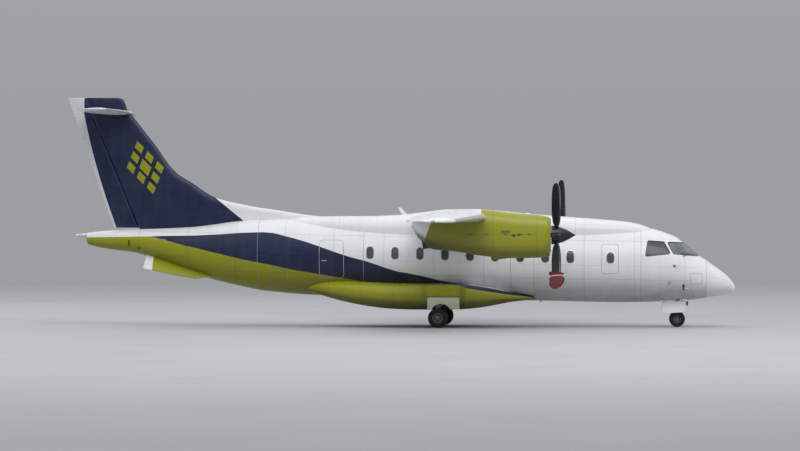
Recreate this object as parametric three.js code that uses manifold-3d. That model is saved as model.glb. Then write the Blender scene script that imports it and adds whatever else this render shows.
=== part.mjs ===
// Twin-turboprop regional airliner: high wing, T-tail, six-blade propellers,
// parked on its landing gear.
// Millimetres. +X to the nose, +Y to port (left), +Z up, z = 0 is the ground.
// The short tables are in metres. S is the station: metres aft of the nose tip.
import * as THREE from 'three';
import { mergeVertices } from 'three/addons/utils/BufferGeometryUtils.js';
import Module from 'manifold-3d';

const wasm = await Module();
wasm.setup();

// ---------------------------------------------------------------- dimensions
const M = 1000;                 // metres to millimetres
const LENGTH = 21.11;           // overall length
const HALF_SPAN = 10.49;
const HEIGHT = 7.24;
const GAP = 0.0004;             // between fixed neighbours
const DOOR_GAP = 0.008;         // around every door
const MOVE_GAP = 0.010;         // around control surfaces

const NOSE_WHEEL_S = 1.82, NOSE_TYRE_R = 0.2475, NOSE_TYRE_W = 0.17, NOSE_HALF_TRACK = 0.15;
const MAIN_WHEEL_S = 9.24, MAIN_TYRE_R = 0.305, MAIN_TYRE_W = 0.195, MAIN_Y = 1.61, MAIN_HALF_TWIN = 0.21;

const PROP_S = 5.51, PROP_Y = 4.05, PROP_Z = 2.88, PROP_R = 1.80, BLADES = 6;
const SPINNER_TIP_S = 4.942, SPINNER_BASE_S = 5.66, SPINNER_R = 0.285;

// spans of the openings: [S front, S rear, z low, z high]
const PASSENGER_DOOR = [3.45, 4.15, 1.12, 2.82];
const SERVICE_DOOR = [12.24, 12.97, 1.56, 2.72];
const BAGGAGE_DOOR = [12.10, 13.02, 1.50, 2.85];
const DOOR_T = 0.055;
const PASSENGER_ROOM_Y = 0.28, SERVICE_ROOM_Y = 0.62, BAGGAGE_ROOM_Y = 0.30;

const NOSE_BAY = { s0: 1.50, s1: 2.34, y: 0.27, z: 1.30 };
const MAIN_BAY = { s0: 8.555, s1: 9.564, y0: 1.22, y1: 1.80, z: 1.20, zSide: 0.955 };

// splits between the fuselage sections
const SPLIT = { radome: 0.92, nose: 2.95, forward: 7.00, center: 11.60, rear: 14.95 };

const X = (s) => (LENGTH / 2 - s) * M;

// ------------------------------------------------------------ basic geometry
function meshGeometry(points, faces) {
  const g = new THREE.BufferGeometry();
  g.setAttribute('position', new THREE.BufferAttribute(new Float32Array(points.flat()), 3));
  g.setIndex(faces.flat());
  return outward(g);
}

function signedVolume(g) {
  const p = g.attributes.position, ix = g.index;
  const a = new THREE.Vector3(), b = new THREE.Vector3(), c = new THREE.Vector3();
  let v = 0;
  for (let i = 0; i < ix.count; i += 3) {
    a.fromBufferAttribute(p, ix.getX(i));
    b.fromBufferAttribute(p, ix.getX(i + 1));
    c.fromBufferAttribute(p, ix.getX(i + 2));
    v += a.dot(b.clone().cross(c)) / 6;
  }
  return v;
}

function outward(g) {
  if (signedVolume(g) < 0) {
    const ix = g.index;
    for (let i = 0; i < ix.count; i += 3) {
      const t = ix.getX(i);
      ix.setX(i, ix.getX(i + 1));
      ix.setX(i + 1, t);
    }
  }
  return g;
}

// Closed body through equal-length rings of [x, y, z] in mm, with flat ends.
function loft(rings) {
  const n = rings[0].length, points = rings.flat(), faces = [];
  for (let r = 0; r + 1 < rings.length; r++) {
    for (let i = 0; i < n; i++) {
      const j = (i + 1) % n, a = r * n + i, b = r * n + j, c = a + n, d = b + n;
      // the diagonal is mirrored on the starboard side, so both sides have the same facets
      if (points[a][1] + points[b][1] + points[c][1] + points[d][1] < -1e-3) faces.push([a, b, c], [b, d, c]);
      else faces.push([a, b, d], [a, d, c]);
    }
  }
  for (const [first, reverse] of [[0, true], [(rings.length - 1) * n, false]]) {
    const ring = points.slice(first, first + n);
    const normal = new THREE.Vector3();
    for (let i = 0; i < n; i++) {
      const p = ring[i], q = ring[(i + 1) % n];
      normal.x += (p[1] - q[1]) * (p[2] + q[2]);
      normal.y += (p[2] - q[2]) * (p[0] + q[0]);
      normal.z += (p[0] - q[0]) * (p[1] + q[1]);
    }
    const big = [Math.abs(normal.x), Math.abs(normal.y), Math.abs(normal.z)];
    const drop = big.indexOf(Math.max(...big));
    const [u, v] = [[1, 2], [2, 0], [0, 1]][drop];
    const flat = ring.map((p) => new THREE.Vector2(p[u], p[v]));
    const clockwise = THREE.ShapeUtils.isClockWise(flat);
    const order = [...Array(n).keys()];
    if (clockwise) { flat.reverse(); order.reverse(); }
    const positive = [normal.x, normal.y, normal.z][drop] > 0;
    for (const t of THREE.ShapeUtils.triangulateShape(flat, [])) {
      const f = t.map((k) => first + order[k]);
      // counter-clockwise in (u, v) faces along +drop; the ring's own turn says which end is out
      if (positive === reverse) faces.push([f[0], f[2], f[1]]);
      else faces.push([f[0], f[1], f[2]]);
    }
  }
  return meshGeometry(points, faces);
}

function bare(g) {
  const out = new THREE.BufferGeometry();
  out.setAttribute('position', g.attributes.position.clone());
  if (g.index) out.setIndex(g.index.clone());
  const merged = mergeVertices(out, 1e-3);
  return outward(merged);
}

function solid(g) {
  const m = bare(g);
  return new wasm.Manifold(new wasm.Mesh({
    numProp: 3,
    vertProperties: new Float32Array(m.attributes.position.array),
    triVerts: new Uint32Array(m.index.array),
  }));
}

function geometryOf(s) {
  const m = s.getMesh();
  const g = new THREE.BufferGeometry();
  g.setAttribute('position', new THREE.BufferAttribute(new Float32Array(m.vertProperties), 3));
  g.setIndex(new THREE.BufferAttribute(new Uint32Array(m.triVerts), 1));
  return g;
}

const cut = (g, ...tools) => geometryOf(tools.reduce((s, t) => s.subtract(solid(t)), solid(g)));
const join = (g, ...others) => geometryOf(others.reduce((s, t) => s.add(solid(t)), solid(g)));
const common = (g, ...others) => geometryOf(others.reduce((s, t) => s.intersect(solid(t)), solid(g)));

function mirrored(g) {
  const out = bare(g);
  const p = out.attributes.position;
  for (let i = 0; i < p.count; i++) p.setY(i, -p.getY(i));
  return outward(out);
}

// Box between stations and heights, all in metres.
function box(s0, s1, y0, y1, z0, z1) {
  const g = new THREE.BoxGeometry((s1 - s0) * M, (y1 - y0) * M, (z1 - z0) * M);
  g.translate(X((s0 + s1) / 2), (y0 + y1) / 2 * M, (z0 + z1) / 2 * M);
  return g;
}

// Cylinder between two points given as [S, y, z] in metres.
function rod(from, to, r, sides = 12) {
  const a = new THREE.Vector3(X(from[0]), from[1] * M, from[2] * M);
  const b = new THREE.Vector3(X(to[0]), to[1] * M, to[2] * M);
  const d = b.clone().sub(a), len = d.length();
  const g = new THREE.CylinderGeometry(r * M, r * M, len, sides);
  g.applyQuaternion(new THREE.Quaternion().setFromUnitVectors(new THREE.Vector3(0, 1, 0), d.normalize()));
  g.translate((a.x + b.x) / 2, (a.y + b.y) / 2, (a.z + b.z) / 2);
  return g;
}

// Ring of a lathe profile [[r, along]] in metres about an axis through [S, y, z] along dir.
function lathe(profile, at, dir, sides = 24) {
  const g = new THREE.LatheGeometry(profile.map(([r, l]) => new THREE.Vector2(r * M, l * M)), sides);
  g.applyQuaternion(new THREE.Quaternion().setFromUnitVectors(new THREE.Vector3(0, 1, 0), dir));
  g.translate(X(at[0]), at[1] * M, at[2] * M);
  return bare(g);
}

// Upright prism over an outline of [S, z] in metres, between two y.
function sidePrism(outline, y0, y1) {
  return loft([y0, y1].map((y) => outline.map(([s, z]) => [X(s), y * M, z * M])));
}

// Prism over a plan outline of [S, y] in metres, between two heights.
function planPrism(outline, z0, z1) {
  return loft([z0, z1].map((z) => outline.map(([s, y]) => [X(s), y * M, z * M])));
}

function rowAt(table, s) {
  if (s <= table[0][0]) return table[0];
  for (let i = 0; i + 1 < table.length; i++) {
    const a = table[i], b = table[i + 1];
    if (s <= b[0]) {
      const t = (s - a[0]) / (b[0] - a[0]);
      return a.map((v, k) => v + (b[k] - v) * t);
    }
  }
  return table[table.length - 1];
}

// Rounded section at a station: top, bottom, half width, roundness (2 is an ellipse).
function section(s, top, bottom, half, power = 2, yc = 0, sides = 24, grow = 0) {
  const zc = (top + bottom) / 2, h = (top - bottom) / 2 + grow, w = half + grow, ring = [];
  for (let i = 0; i < sides; i++) {
    const a = 2 * Math.PI * i / sides, c = Math.cos(a), d = Math.sin(a);
    ring.push([X(s),
      (yc + w * Math.sign(c) * Math.abs(c) ** (2 / power)) * M,
      (zc + h * Math.sign(d) * Math.abs(d) ** (2 / power)) * M]);
  }
  return ring;
}

function cutTable(table, s0, s1) {
  const inner = table.filter((r) => r[0] > s0 + 1e-6 && r[0] < s1 - 1e-6);
  return [rowAt(table, s0), ...inner, rowAt(table, s1)].map((r, i, all) =>
    i === 0 ? [s0, ...r.slice(1)] : i === all.length - 1 ? [s1, ...r.slice(1)] : r);
}

// ------------------------------------------------------------------ fuselage
// [S, top z, bottom z, half width]
const FUSELAGE = [
  [0.00, 1.225, 1.175, 0.03],
  [0.07, 1.385, 1.085, 0.19],
  [0.25, 1.605, 1.035, 0.37],
  [0.58, 1.860, 0.970, 0.57],
  [0.96, 2.130, 0.905, 0.75],
  [1.31, 2.360, 0.858, 0.88],
  [1.64, 2.655, 0.833, 0.97],
  [1.82, 2.800, 0.822, 1.01],
  [2.17, 2.950, 0.805, 1.07],
  [2.55, 3.065, 0.790, 1.12],
  [3.06, 3.150, 0.776, 1.17],
  [3.74, 3.188, 0.768, 1.21],
  [5.44, 3.224, 0.804, 1.21],
  [12.60, 3.375, 0.955, 1.21],
  [13.20, 3.388, 0.985, 1.20],
  [13.80, 3.390, 1.020, 1.175],
  [14.30, 3.385, 1.065, 1.14],
  [14.95, 3.365, 1.139, 1.07],
  [15.61, 3.327, 1.270, 0.98],
  [16.44, 3.220, 1.466, 0.86],
  [17.10, 3.142, 1.680, 0.75],
  [17.95, 3.100, 1.990, 0.60],
  [18.55, 3.080, 2.200, 0.50],
  [18.95, 3.070, 2.320, 0.445],
  [19.62, 3.035, 2.410, 0.35],
  [20.15, 2.990, 2.500, 0.26],
  [20.48, 2.950, 2.590, 0.185],
];
function fuselage(s0, s1, grow = 0) {
  return loft(cutTable(FUSELAGE, s0, s1).map(([s, t, b, w]) => section(s, t, b, w, 2, 0, 24, grow)));
}

// Outline box of a door, on the port side, with the edges moved out by grow.
function doorBox([s0, s1, z0, z1], y0, grow = 0) {
  return box(s0 - grow, s1 + grow, y0, 1.5, z0 - grow, z1 + grow);
}
function doorPanel(span) {
  const [s0, s1] = span;
  return common(cut(fuselage(s0 - 0.2, s1 + 0.2), fuselage(s0 - 0.3, s1 + 0.3, -DOOR_T)), doorBox(span, 0.2));
}

const radome = fuselage(0, SPLIT.radome - GAP);

// Cockpit glazing, as outlines [S, z] seen from the side.
const SIDE_WINDOW = [[2.745, 2.715], [2.235, 2.680], [2.015, 2.290], [2.830, 2.205]];
const WINDSHIELD = [[2.155, 2.672], [1.500, 2.646], [1.050, 2.205], [1.945, 2.285]];
const PANE_T = 0.022;
const noseShell = cut(fuselage(1.0, 2.92), fuselage(0.94, 2.94, -PANE_T));
const sideWindow = common(noseShell, sidePrism(SIDE_WINDOW, 0.45, 1.4));
const windshield = common(noseShell, sidePrism(WINDSHIELD, -1.3, 1.3));
function grown(outline, g) {
  const cx = outline.reduce((a, p) => a + p[0], 0) / outline.length;
  const cz = outline.reduce((a, p) => a + p[1], 0) / outline.length;
  return outline.map(([s, z]) => [s + Math.sign(s - cx) * g, z + Math.sign(z - cz) * g]);
}
const glassRecess = cut(fuselage(0.98, 2.93, 0.05), fuselage(0.96, 2.94, -PANE_T - GAP));
const noseFuselage = cut(
  fuselage(SPLIT.radome, SPLIT.nose - GAP),
  common(glassRecess, sidePrism(grown(SIDE_WINDOW, GAP), 0.45 - GAP, 1.5)),
  common(glassRecess, sidePrism(grown(SIDE_WINDOW, GAP), -1.5, -0.45 + GAP)),
  common(glassRecess, sidePrism(grown(WINDSHIELD, GAP), -1.5, 1.5)),
  box(NOSE_BAY.s0, NOSE_BAY.s1, -NOSE_BAY.y, NOSE_BAY.y, 0.5, NOSE_BAY.z),
);

const forwardFuselage = cut(
  fuselage(SPLIT.nose, SPLIT.forward - GAP),
  doorBox(PASSENGER_DOOR, PASSENGER_ROOM_Y, DOOR_GAP),
);
const centerFuselage = fuselage(SPLIT.forward, SPLIT.center - GAP);
const rearFuselage = cut(
  fuselage(SPLIT.center, SPLIT.rear - GAP),
  doorBox(BAGGAGE_DOOR, BAGGAGE_ROOM_Y, DOOR_GAP),
  mirrored(doorBox(SERVICE_DOOR, SERVICE_ROOM_Y, DOOR_GAP)),
);
const tailCone = fuselage(SPLIT.rear, 20.48);

const passengerDoor = doorPanel(PASSENGER_DOOR);
const baggageDoor = doorPanel(BAGGAGE_DOOR);
const serviceDoor = mirrored(doorPanel(SERVICE_DOOR));

// Fairing over the wing roots and along the roof: [S, top z, bottom z, half width]
const ROOF_FAIRING = [
  [2.45, 2.980, 2.60, 0.25],
  [2.90, 3.190, 2.60, 0.55],
  [3.40, 3.300, 2.55, 0.70],
  [4.20, 3.375, 2.50, 0.80],
  [5.40, 3.466, 2.45, 0.86],
  [6.60, 3.560, 2.45, 0.90],
  [7.40, 3.645, 2.45, 0.94],
  [8.20, 3.700, 2.45, 0.95],
  [9.00, 3.690, 2.45, 0.95],
  [9.80, 3.600, 2.45, 0.95],
  [10.60, 3.515, 2.45, 0.93],
  [11.60, 3.480, 2.50, 0.88],
  [12.60, 3.475, 2.60, 0.78],
  [13.60, 3.440, 2.75, 0.55],
  [14.30, 3.360, 2.90, 0.25],
];
const roofFairingBody = (grow = 0) =>
  loft(ROOF_FAIRING.map(([s, t, b, w]) => section(s, t, b, w, 2.7, 0, 24, grow)));
const wingFairing = cut(roofFairingBody(), fuselage(2.2, 14.6, GAP));

// Landing gear fairing on the port side: [S, top z, bottom z, outer y, inner y]
const GEAR_FAIRING = [
  [6.30, 0.98, 0.86, 0.55, 0.20],
  [6.95, 1.10, 0.79, 1.02, 0.12],
  [7.35, 1.19, 0.72, 1.32, 0.06],
  [7.85, 1.28, 0.63, 1.64, 0.03],
  [8.40, 1.35, 0.57, 1.89, 0.02],
  [9.00, 1.365, 0.55, 1.95, 0.02],
  [10.00, 1.365, 0.55, 1.95, 0.02],
  [10.80, 1.38, 0.58, 1.87, 0.02],
  [11.56, 1.42, 0.67, 1.66, 0.04],
  [12.30, 1.45, 0.81, 1.36, 0.08],
  [12.90, 1.44, 0.97, 1.05, 0.14],
  [13.40, 1.38, 1.12, 0.70, 0.25],
];
const gearFairing = cut(
  loft(GEAR_FAIRING.map(([s, t, b, yo, yi]) => section(s, t, b, (yo - yi) / 2, 2.6, (yo + yi) / 2, 24))),
  fuselage(6.0, 13.7, GAP),
  box(MAIN_BAY.s0, MAIN_BAY.s1, MAIN_BAY.y0, MAIN_BAY.y1, 0.3, MAIN_BAY.z),
  box(MAIN_BAY.s0, MAIN_BAY.s1, MAIN_BAY.y0, 2.2, 0.3, MAIN_BAY.zSide),
);

// Ventral fin: a thin slanted blade under the tail, [S, y, z] corners, port side.
const VENTRAL = [[16.25, 0.36, 1.60], [16.95, 0.64, 1.50], [18.62, 0.64, 1.83], [18.55, 0.22, 2.30]];
function ventralFin() {
  const c = VENTRAL.map(([s, y, z]) => new THREE.Vector3(X(s), y * M, z * M));
  const n = c[1].clone().sub(c[0]).cross(c[3].clone().sub(c[0])).normalize().multiplyScalar(14);
  const ring = (sign) => c.map((p) => p.clone().addScaledVector(n, sign).toArray());
  return cut(loft([ring(-1), ring(1)]), fuselage(15.5, 19.5, GAP));
}

// ---------------------------------------------------------------------- tail
const HINGE_LEAN = (20.60 - 18.95) / (7.24 - 3.20);
const rudderHingeS = (z) => 18.95 + HINGE_LEAN * (z - 3.20);
const rudderEndS = (z) => 19.68 + (21.11 - 19.68) / (7.24 - 3.22) * (z - 3.22);
// Rudder: [z, half thickness at the hinge]
const RUDDER = [[3.115, 0.088], [4.80, 0.076], [6.30, 0.060], [7.10, 0.052], [7.24, 0.040]];
const rudderRadius = (z) => rowAt(RUDDER, z)[1];
// [z, leading edge S, half thickness]
const FIN = [
  [3.00, 13.20, 0.090],
  [3.50, 13.35, 0.100],
  [3.63, 14.20, 0.110],
  [3.80, 15.30, 0.115],
  [4.07, 16.40, 0.118],
  [4.52, 17.12, 0.116],
  [4.86, 17.65, 0.112],
  [5.74, 18.32, 0.100],
  [6.30, 18.76, 0.092],
  [6.765, 19.13, 0.086],
];
const FIN_PROFILE = [[0.004, 0.22], [0.03, 0.55], [0.12, 0.85], [0.32, 1.0], [0.62, 0.95]];
function finRing(z, le, half, rearHalf, rear) {
  const chord = rear - le, side = [];
  for (const [f, t] of FIN_PROFILE) side.push([le + f * chord, Math.max(half * t, f > 0.5 ? rearHalf : 0)]);
  side.push([rear, rearHalf]);
  return [[le, 0], ...side, ...side.slice().reverse().map(([s, y]) => [s, -y])]
    .map(([s, y]) => [X(s), y * M, z * M]);
}
const finFace = (z) => rudderHingeS(z) - rudderRadius(z) - MOVE_GAP;
const finRow = ([z, le, half]) => finRing(z, le, half, rudderRadius(z), finFace(z));

// Tailplane: [y, leading edge S, trailing edge S, thickness ratio]
const TAILPLANE = [[0.0, 19.06, 20.47, 0.11], [3.25, 19.41, 20.16, 0.10], [3.35, 19.48, 20.13, 0.08]];
const TAIL_Z = 6.765, ELEVATOR_S = 19.93, ELEVATOR_Y = [0.17, 3.22];

const FRACTIONS = [0, 0.008, 0.035, 0.10, 0.20, 0.34, 0.50, 0.65, 0.80, 0.92, 1];
function foilHalf(f, t) {
  return Math.max(5 * t * (0.2969 * Math.sqrt(f) - 0.126 * f - 0.3516 * f ** 2 + 0.2843 * f ** 3 - 0.1015 * f ** 4), f > 0 ? 0.002 : 0);
}
function foilCamber(f, m, p = 0.4) {
  return f < p ? m / p ** 2 * (2 * p * f - f * f) : m / (1 - p) ** 2 * (1 - 2 * p + 2 * p * f - f * f);
}
function foilAt(f, chord, t, m) {
  return { up: (foilCamber(f, m) + foilHalf(f, t)) * chord, low: (foilCamber(f, m) - foilHalf(f, t)) * chord };
}
// Closed section at span y, leading edge S, trailing edge S, chord-line z.
function foilRing(y, le, te, z, t, m, grow = 0) {
  const c = te - le, upper = [], lower = [];
  for (const f of FRACTIONS) {
    const { up, low } = foilAt(f, c, t, m);
    const s = f === 0 ? le - grow : f === 1 ? te + grow : le + f * c;
    upper.push([X(s), y * M, (z + up + (f > 0 ? grow : 0)) * M]);
    if (f > 0) lower.push([X(s), y * M, (z + low - grow) * M]);
  }
  return [...upper.reverse(), ...lower];
}
// Moving surface behind a hinge at station h: round nose about the hinge, then the section.
function flapRing(y, le, te, z, t, m, h) {
  const c = te - le, fh = (h - le) / c, at = foilAt(fh, c, t, m);
  const zc = (at.up + at.low) / 2, r = (at.up - at.low) / 2, ring = [];
  for (let i = 0; i <= 6; i++) {
    const a = Math.PI / 2 + Math.PI * i / 6;
    ring.push([X(h + r * Math.cos(a)), y * M, (z + zc + r * Math.sin(a)) * M]);
  }
  const aft = [0.35, 0.7, 1].map((k) => fh + (1 - fh) * k);
  for (const f of aft) ring.push([X(le + f * c), y * M, (z + foilAt(f, c, t, m).low) * M]);
  for (const f of aft.slice().reverse()) ring.push([X(le + f * c), y * M, (z + foilAt(f, c, t, m).up) * M]);
  return ring;
}
const noseRadius = (row, h, t, m) => {
  const c = row[2] - row[1], at = foilAt((h - row[1]) / c, c, t, m);
  return (at.up - at.low) / 2;
};

function tailplaneBody(grow = 0) {
  const rows = [...TAILPLANE.slice().reverse().map((r) => [-r[0], ...r.slice(1)]), ...TAILPLANE.slice(1)];
  return loft(rows.map(([y, le, te, t]) => foilRing(y, le, te, TAIL_Z, t, 0, grow)));
}
function elevatorBody() {
  return loft(ELEVATOR_Y.map((y) => {
    const [, le, te, t] = rowAt(TAILPLANE, y);
    return flapRing(y, le, te, TAIL_Z, t, 0, ELEVATOR_S);
  }));
}
const elevatorNose = ELEVATOR_Y.map((y) => {
  const row = rowAt(TAILPLANE, y);
  return ELEVATOR_S - noseRadius([y, row[1], row[2]], ELEVATOR_S, row[3], 0) - MOVE_GAP;
});
const elevatorBay = planPrism([
  [elevatorNose[0], ELEVATOR_Y[0] - MOVE_GAP], [elevatorNose[1], ELEVATOR_Y[1] + MOVE_GAP],
  [20.8, ELEVATOR_Y[1] + MOVE_GAP], [20.8, ELEVATOR_Y[0] - MOVE_GAP],
], 6.4, 7.1);
const tailplane = cut(tailplaneBody(), elevatorBay, mirrored(elevatorBay), box(20.28, 20.9, -0.30, 0.30, 6.5, 7.0));
const elevator = elevatorBody();

const verticalFin = cut(
  loft(FIN.map(finRow)),
  fuselage(12.8, 20.4, GAP), roofFairingBody(GAP), tailplaneBody(GAP),
);
// [z, leading edge S, half thickness]
const FIN_CAP = [[6.765, 19.18, 0.080], [7.10, 19.30, 0.072], [7.20, 19.36, 0.060], [7.235, 19.50, 0.045]];
const finCap = cut(
  loft(FIN_CAP.map(finRow)),
  tailplaneBody(GAP),
);
const rudder = loft(RUDDER.map(([z, r]) => {
  const h = rudderHingeS(z), end = rudderEndS(z), ring = [];
  for (let i = 0; i <= 6; i++) {
    const a = Math.PI / 2 + Math.PI * i / 6;
    ring.push([X(h + r * Math.cos(a)), r * Math.sin(a) * M, z * M]);
  }
  ring.push([X(end), -3, z * M], [X(end), 3, z * M]);
  return ring;
}));

// ---------------------------------------------------------------------- wing
// [y, leading edge S, trailing edge S, chord-line z, thickness ratio]
const WING = [
  [0.30, 7.60, 9.88, 3.41, 0.160],
  [4.05, 7.60, 9.88, 3.41, 0.160],
  [9.75, 8.30, 9.60, 3.277, 0.130],
  [10.20, 8.62, 9.585, 3.267, 0.120],
  [10.49, 9.02, 9.580, 3.260, 0.100],
];
const CAMBER = 0.03;
const wingBody = (grow = 0) => loft(WING.map(([y, le, te, z, t]) => foilRing(y, le, te, z, t, CAMBER, grow)));
const FLAP_S = 9.24, INNER_FLAP_Y = [0.99, 3.55], OUTER_FLAP_Y = [4.55, 7.10];
const AILERON_Y = [7.20, 9.70], AILERON_S = [9.29, 9.275];
const flapSpace = ([y0, y1], g = 0) => box(FLAP_S - g, 10.2, y0 - g, y1 + g, 2.9, 3.9);
const aileronRing = (k) => {
  const y = AILERON_Y[k], [, le, te, z, t] = rowAt(WING, y);
  return flapRing(y, le, te, z, t, CAMBER, AILERON_S[k]);
};
const aileron = loft([aileronRing(0), aileronRing(1)]);
const aileronNose = AILERON_Y.map((y, k) => {
  const row = rowAt(WING, y);
  return AILERON_S[k] - noseRadius(row, AILERON_S[k], row[4], CAMBER) - MOVE_GAP;
});
const aileronBay = planPrism([
  [aileronNose[0], AILERON_Y[0] - MOVE_GAP], [aileronNose[1], AILERON_Y[1] + MOVE_GAP],
  [10.2, AILERON_Y[1] + MOVE_GAP], [10.2, AILERON_Y[0] - MOVE_GAP],
], 2.9, 3.9);
const innerFlap = common(wingBody(), flapSpace(INNER_FLAP_Y));
const outerFlap = common(wingBody(), flapSpace(OUTER_FLAP_Y));
const wing = cut(wingBody(),
  roofFairingBody(GAP), flapSpace(INNER_FLAP_Y, MOVE_GAP), flapSpace(OUTER_FLAP_Y, MOVE_GAP), aileronBay);

// ------------------------------------------------------------------ nacelles
// [S, top z, bottom z, half width]
const NACELLE = [
  [5.72, 3.390, 2.290, 0.330],
  [5.78, 3.430, 2.230, 0.375],
  [6.10, 3.490, 2.190, 0.410],
  [6.80, 3.545, 2.182, 0.430],
  [7.45, 3.625, 2.215, 0.430],
  [7.80, 3.655, 2.255, 0.425],
  [8.20, 3.560, 2.320, 0.410],
  [8.60, 3.480, 2.385, 0.390],
  [9.26, 3.420, 2.450, 0.330],
  [9.62, 3.400, 2.700, 0.250],
  [9.92, 3.360, 3.150, 0.110],
];
const EXHAUST = { from: [7.85, PROP_Y, 2.83], to: [9.58, PROP_Y, 2.60], r: 0.150 };
const nacelle = cut(
  loft(NACELLE.map(([s, t, b, w]) => section(s, t, b, w, 2.6, PROP_Y, 20))),
  wingBody(GAP),
  box(5.98, 7.95, PROP_Y - 0.325, PROP_Y + 0.325, 2.54, 3.24),
  rod([5.60, PROP_Y, PROP_Z], [6.10, PROP_Y, PROP_Z], 0.095),
  loft([5.60, 6.55].map((s) => section(s, 2.475, 2.275, 0.205, 2.6, PROP_Y, 12))),
  rod([7.80, PROP_Y, 2.8366], [9.98, PROP_Y, 2.5468], EXHAUST.r + 0.006),
);
const engine = planPrism([[6.06, PROP_Y - 0.20], [6.16, PROP_Y - 0.28], [7.74, PROP_Y - 0.28], [7.84, PROP_Y - 0.20],
  [7.84, PROP_Y + 0.20], [7.74, PROP_Y + 0.28], [6.16, PROP_Y + 0.28], [6.06, PROP_Y + 0.20]], 2.60, 3.18);
const exhaustDir = new THREE.Vector3(X(9.58) - X(7.85), 0, (2.60 - 2.83) * M).normalize();
const exhaust = lathe([[0.134, 0], [0.150, 0], [0.150, 0.62], [0.134, 0.62], [0.134, 0]],
  [8.96, PROP_Y, 2.6824], exhaustDir, 16);

// ---------------------------------------------------------------- propellers
// [radius, chord, thickness, blade angle in degrees from the disc]
const BLADE = [
  [0.22, 0.110, 0.090, 90],
  [0.42, 0.200, 0.058, 89],
  [0.85, 0.268, 0.034, 86],
  [1.40, 0.245, 0.022, 81],
  [1.73, 0.165, 0.012, 78],
  [1.80, 0.080, 0.009, 77],
];
const BLADE_SECTION = [[-0.45, 0], [-0.28, 0.42], [0.05, 0.5], [0.55, 0.03], [0.55, -0.03], [0.05, -0.4], [-0.28, -0.34]];
function blade(angle) {
  const rings = BLADE.map(([r, chord, thick, pitch]) => {
    const p = THREE.MathUtils.degToRad(pitch);
    return BLADE_SECTION.map(([c, t]) => {
      const along = c * chord, off = t * thick;           // along the chord, across it
      const x = -along * Math.sin(p) + off * Math.cos(p);
      const side = along * Math.cos(p) + off * Math.sin(p);
      return [x, side, r];
    });
  });
  const a = THREE.MathUtils.degToRad(angle), ca = Math.cos(a), sa = Math.sin(a);
  return loft(rings.map((ring) => ring.map(([x, y, z]) => [
    X(PROP_S) + x * M, (PROP_Y + y * ca - z * sa) * M, (PROP_Z + y * sa + z * ca) * M])));
}
function propeller(firstAngle) {
  let s = solid(rod([5.38, PROP_Y, PROP_Z], [5.64, PROP_Y, PROP_Z], 0.130, 12));
  s = s.add(solid(rod([5.62, PROP_Y, PROP_Z], [5.93, PROP_Y, PROP_Z], 0.070, 12)));
  for (let k = 0; k < BLADES; k++) {
    const angle = firstAngle + 360 / BLADES * k, a = THREE.MathUtils.degToRad(angle);
    const at = (r) => [PROP_S, PROP_Y - r * Math.sin(a), PROP_Z + r * Math.cos(a)];
    s = s.add(solid(rod(at(0.05), at(0.25), 0.050, 8))).add(solid(blade(angle)));
  }
  return geometryOf(s);
}
function spinner(firstAngle) {
  const len = SPINNER_BASE_S - SPINNER_TIP_S, profile = [[0, len]];
  for (const u of [0.05, 0.16, 0.34, 0.60, 1]) profile.push([SPINNER_R * (1 - (1 - u) ** 1.8), len * (1 - u)]);
  profile.push([0.145, 0], [0.145, 0.30], [0, 0.30]);
  let s = solid(lathe(profile, [SPINNER_BASE_S, PROP_Y, PROP_Z], new THREE.Vector3(1, 0, 0), 20));
  for (let k = 0; k < BLADES; k++) {
    const a = THREE.MathUtils.degToRad(firstAngle + 360 / BLADES * k);
    const at = (r) => [PROP_S, PROP_Y - r * Math.sin(a), PROP_Z + r * Math.cos(a)];
    s = s.subtract(solid(rod(at(0.10), at(0.40), 0.088, 8)));
  }
  return geometryOf(s);
}

// -------------------------------------------------------------- landing gear
const Y_AXIS = new THREE.Vector3(0, 1, 0);
function tyre(s, y, r, w, rimR) {
  const h = w / 2, p = [
    [rimR, -h * 0.80], [rimR + 0.025, -h], [r * 0.80, -h], [r * 0.95, -h * 0.82], [r, -h * 0.42],
    [r, h * 0.42], [r * 0.95, h * 0.82], [r * 0.80, h], [rimR + 0.025, h], [rimR, h * 0.80], [rimR, -h * 0.80]];
  return lathe(p, [s, y, r], Y_AXIS, 20);
}
// Pair of wheels joined by their turning axle.
function wheelPair(s, yc, halfTwin, tyreR, rimR, rimHalf, axleR) {
  const c = halfTwin, h = rimHalf, out = c + h * 0.55;
  const edge = rimR - GAP;
  const p = [
    [0, -out], [axleR * 1.6, -out], [rimR * 0.55, -c - h * 0.20], [edge, -c - h], [edge, -c + h], [axleR, -c + h * 0.5],
    [axleR, c - h * 0.5], [edge, c - h], [edge, c + h], [rimR * 0.55, c + h * 0.20], [axleR * 1.6, out], [0, out]];
  return lathe(p, [s, yc, tyreR], Y_AXIS, 20);
}
const MAIN_RIM_R = 0.150, NOSE_RIM_R = 0.118, MAIN_AXLE_R = 0.045, NOSE_AXLE_R = 0.032, BEARING_GAP = 0.003;
const mainWheels = wheelPair(MAIN_WHEEL_S, MAIN_Y, MAIN_HALF_TWIN, MAIN_TYRE_R, MAIN_RIM_R, 0.078, MAIN_AXLE_R);
const mainTyre = (y) => tyre(MAIN_WHEEL_S, y, MAIN_TYRE_R, MAIN_TYRE_W, MAIN_RIM_R);
const noseWheels = wheelPair(NOSE_WHEEL_S, 0, NOSE_HALF_TRACK, NOSE_TYRE_R, NOSE_RIM_R, 0.066, NOSE_AXLE_R);
const noseTyre = (y) => tyre(NOSE_WHEEL_S, y, NOSE_TYRE_R, NOSE_TYRE_W, NOSE_RIM_R);

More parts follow.
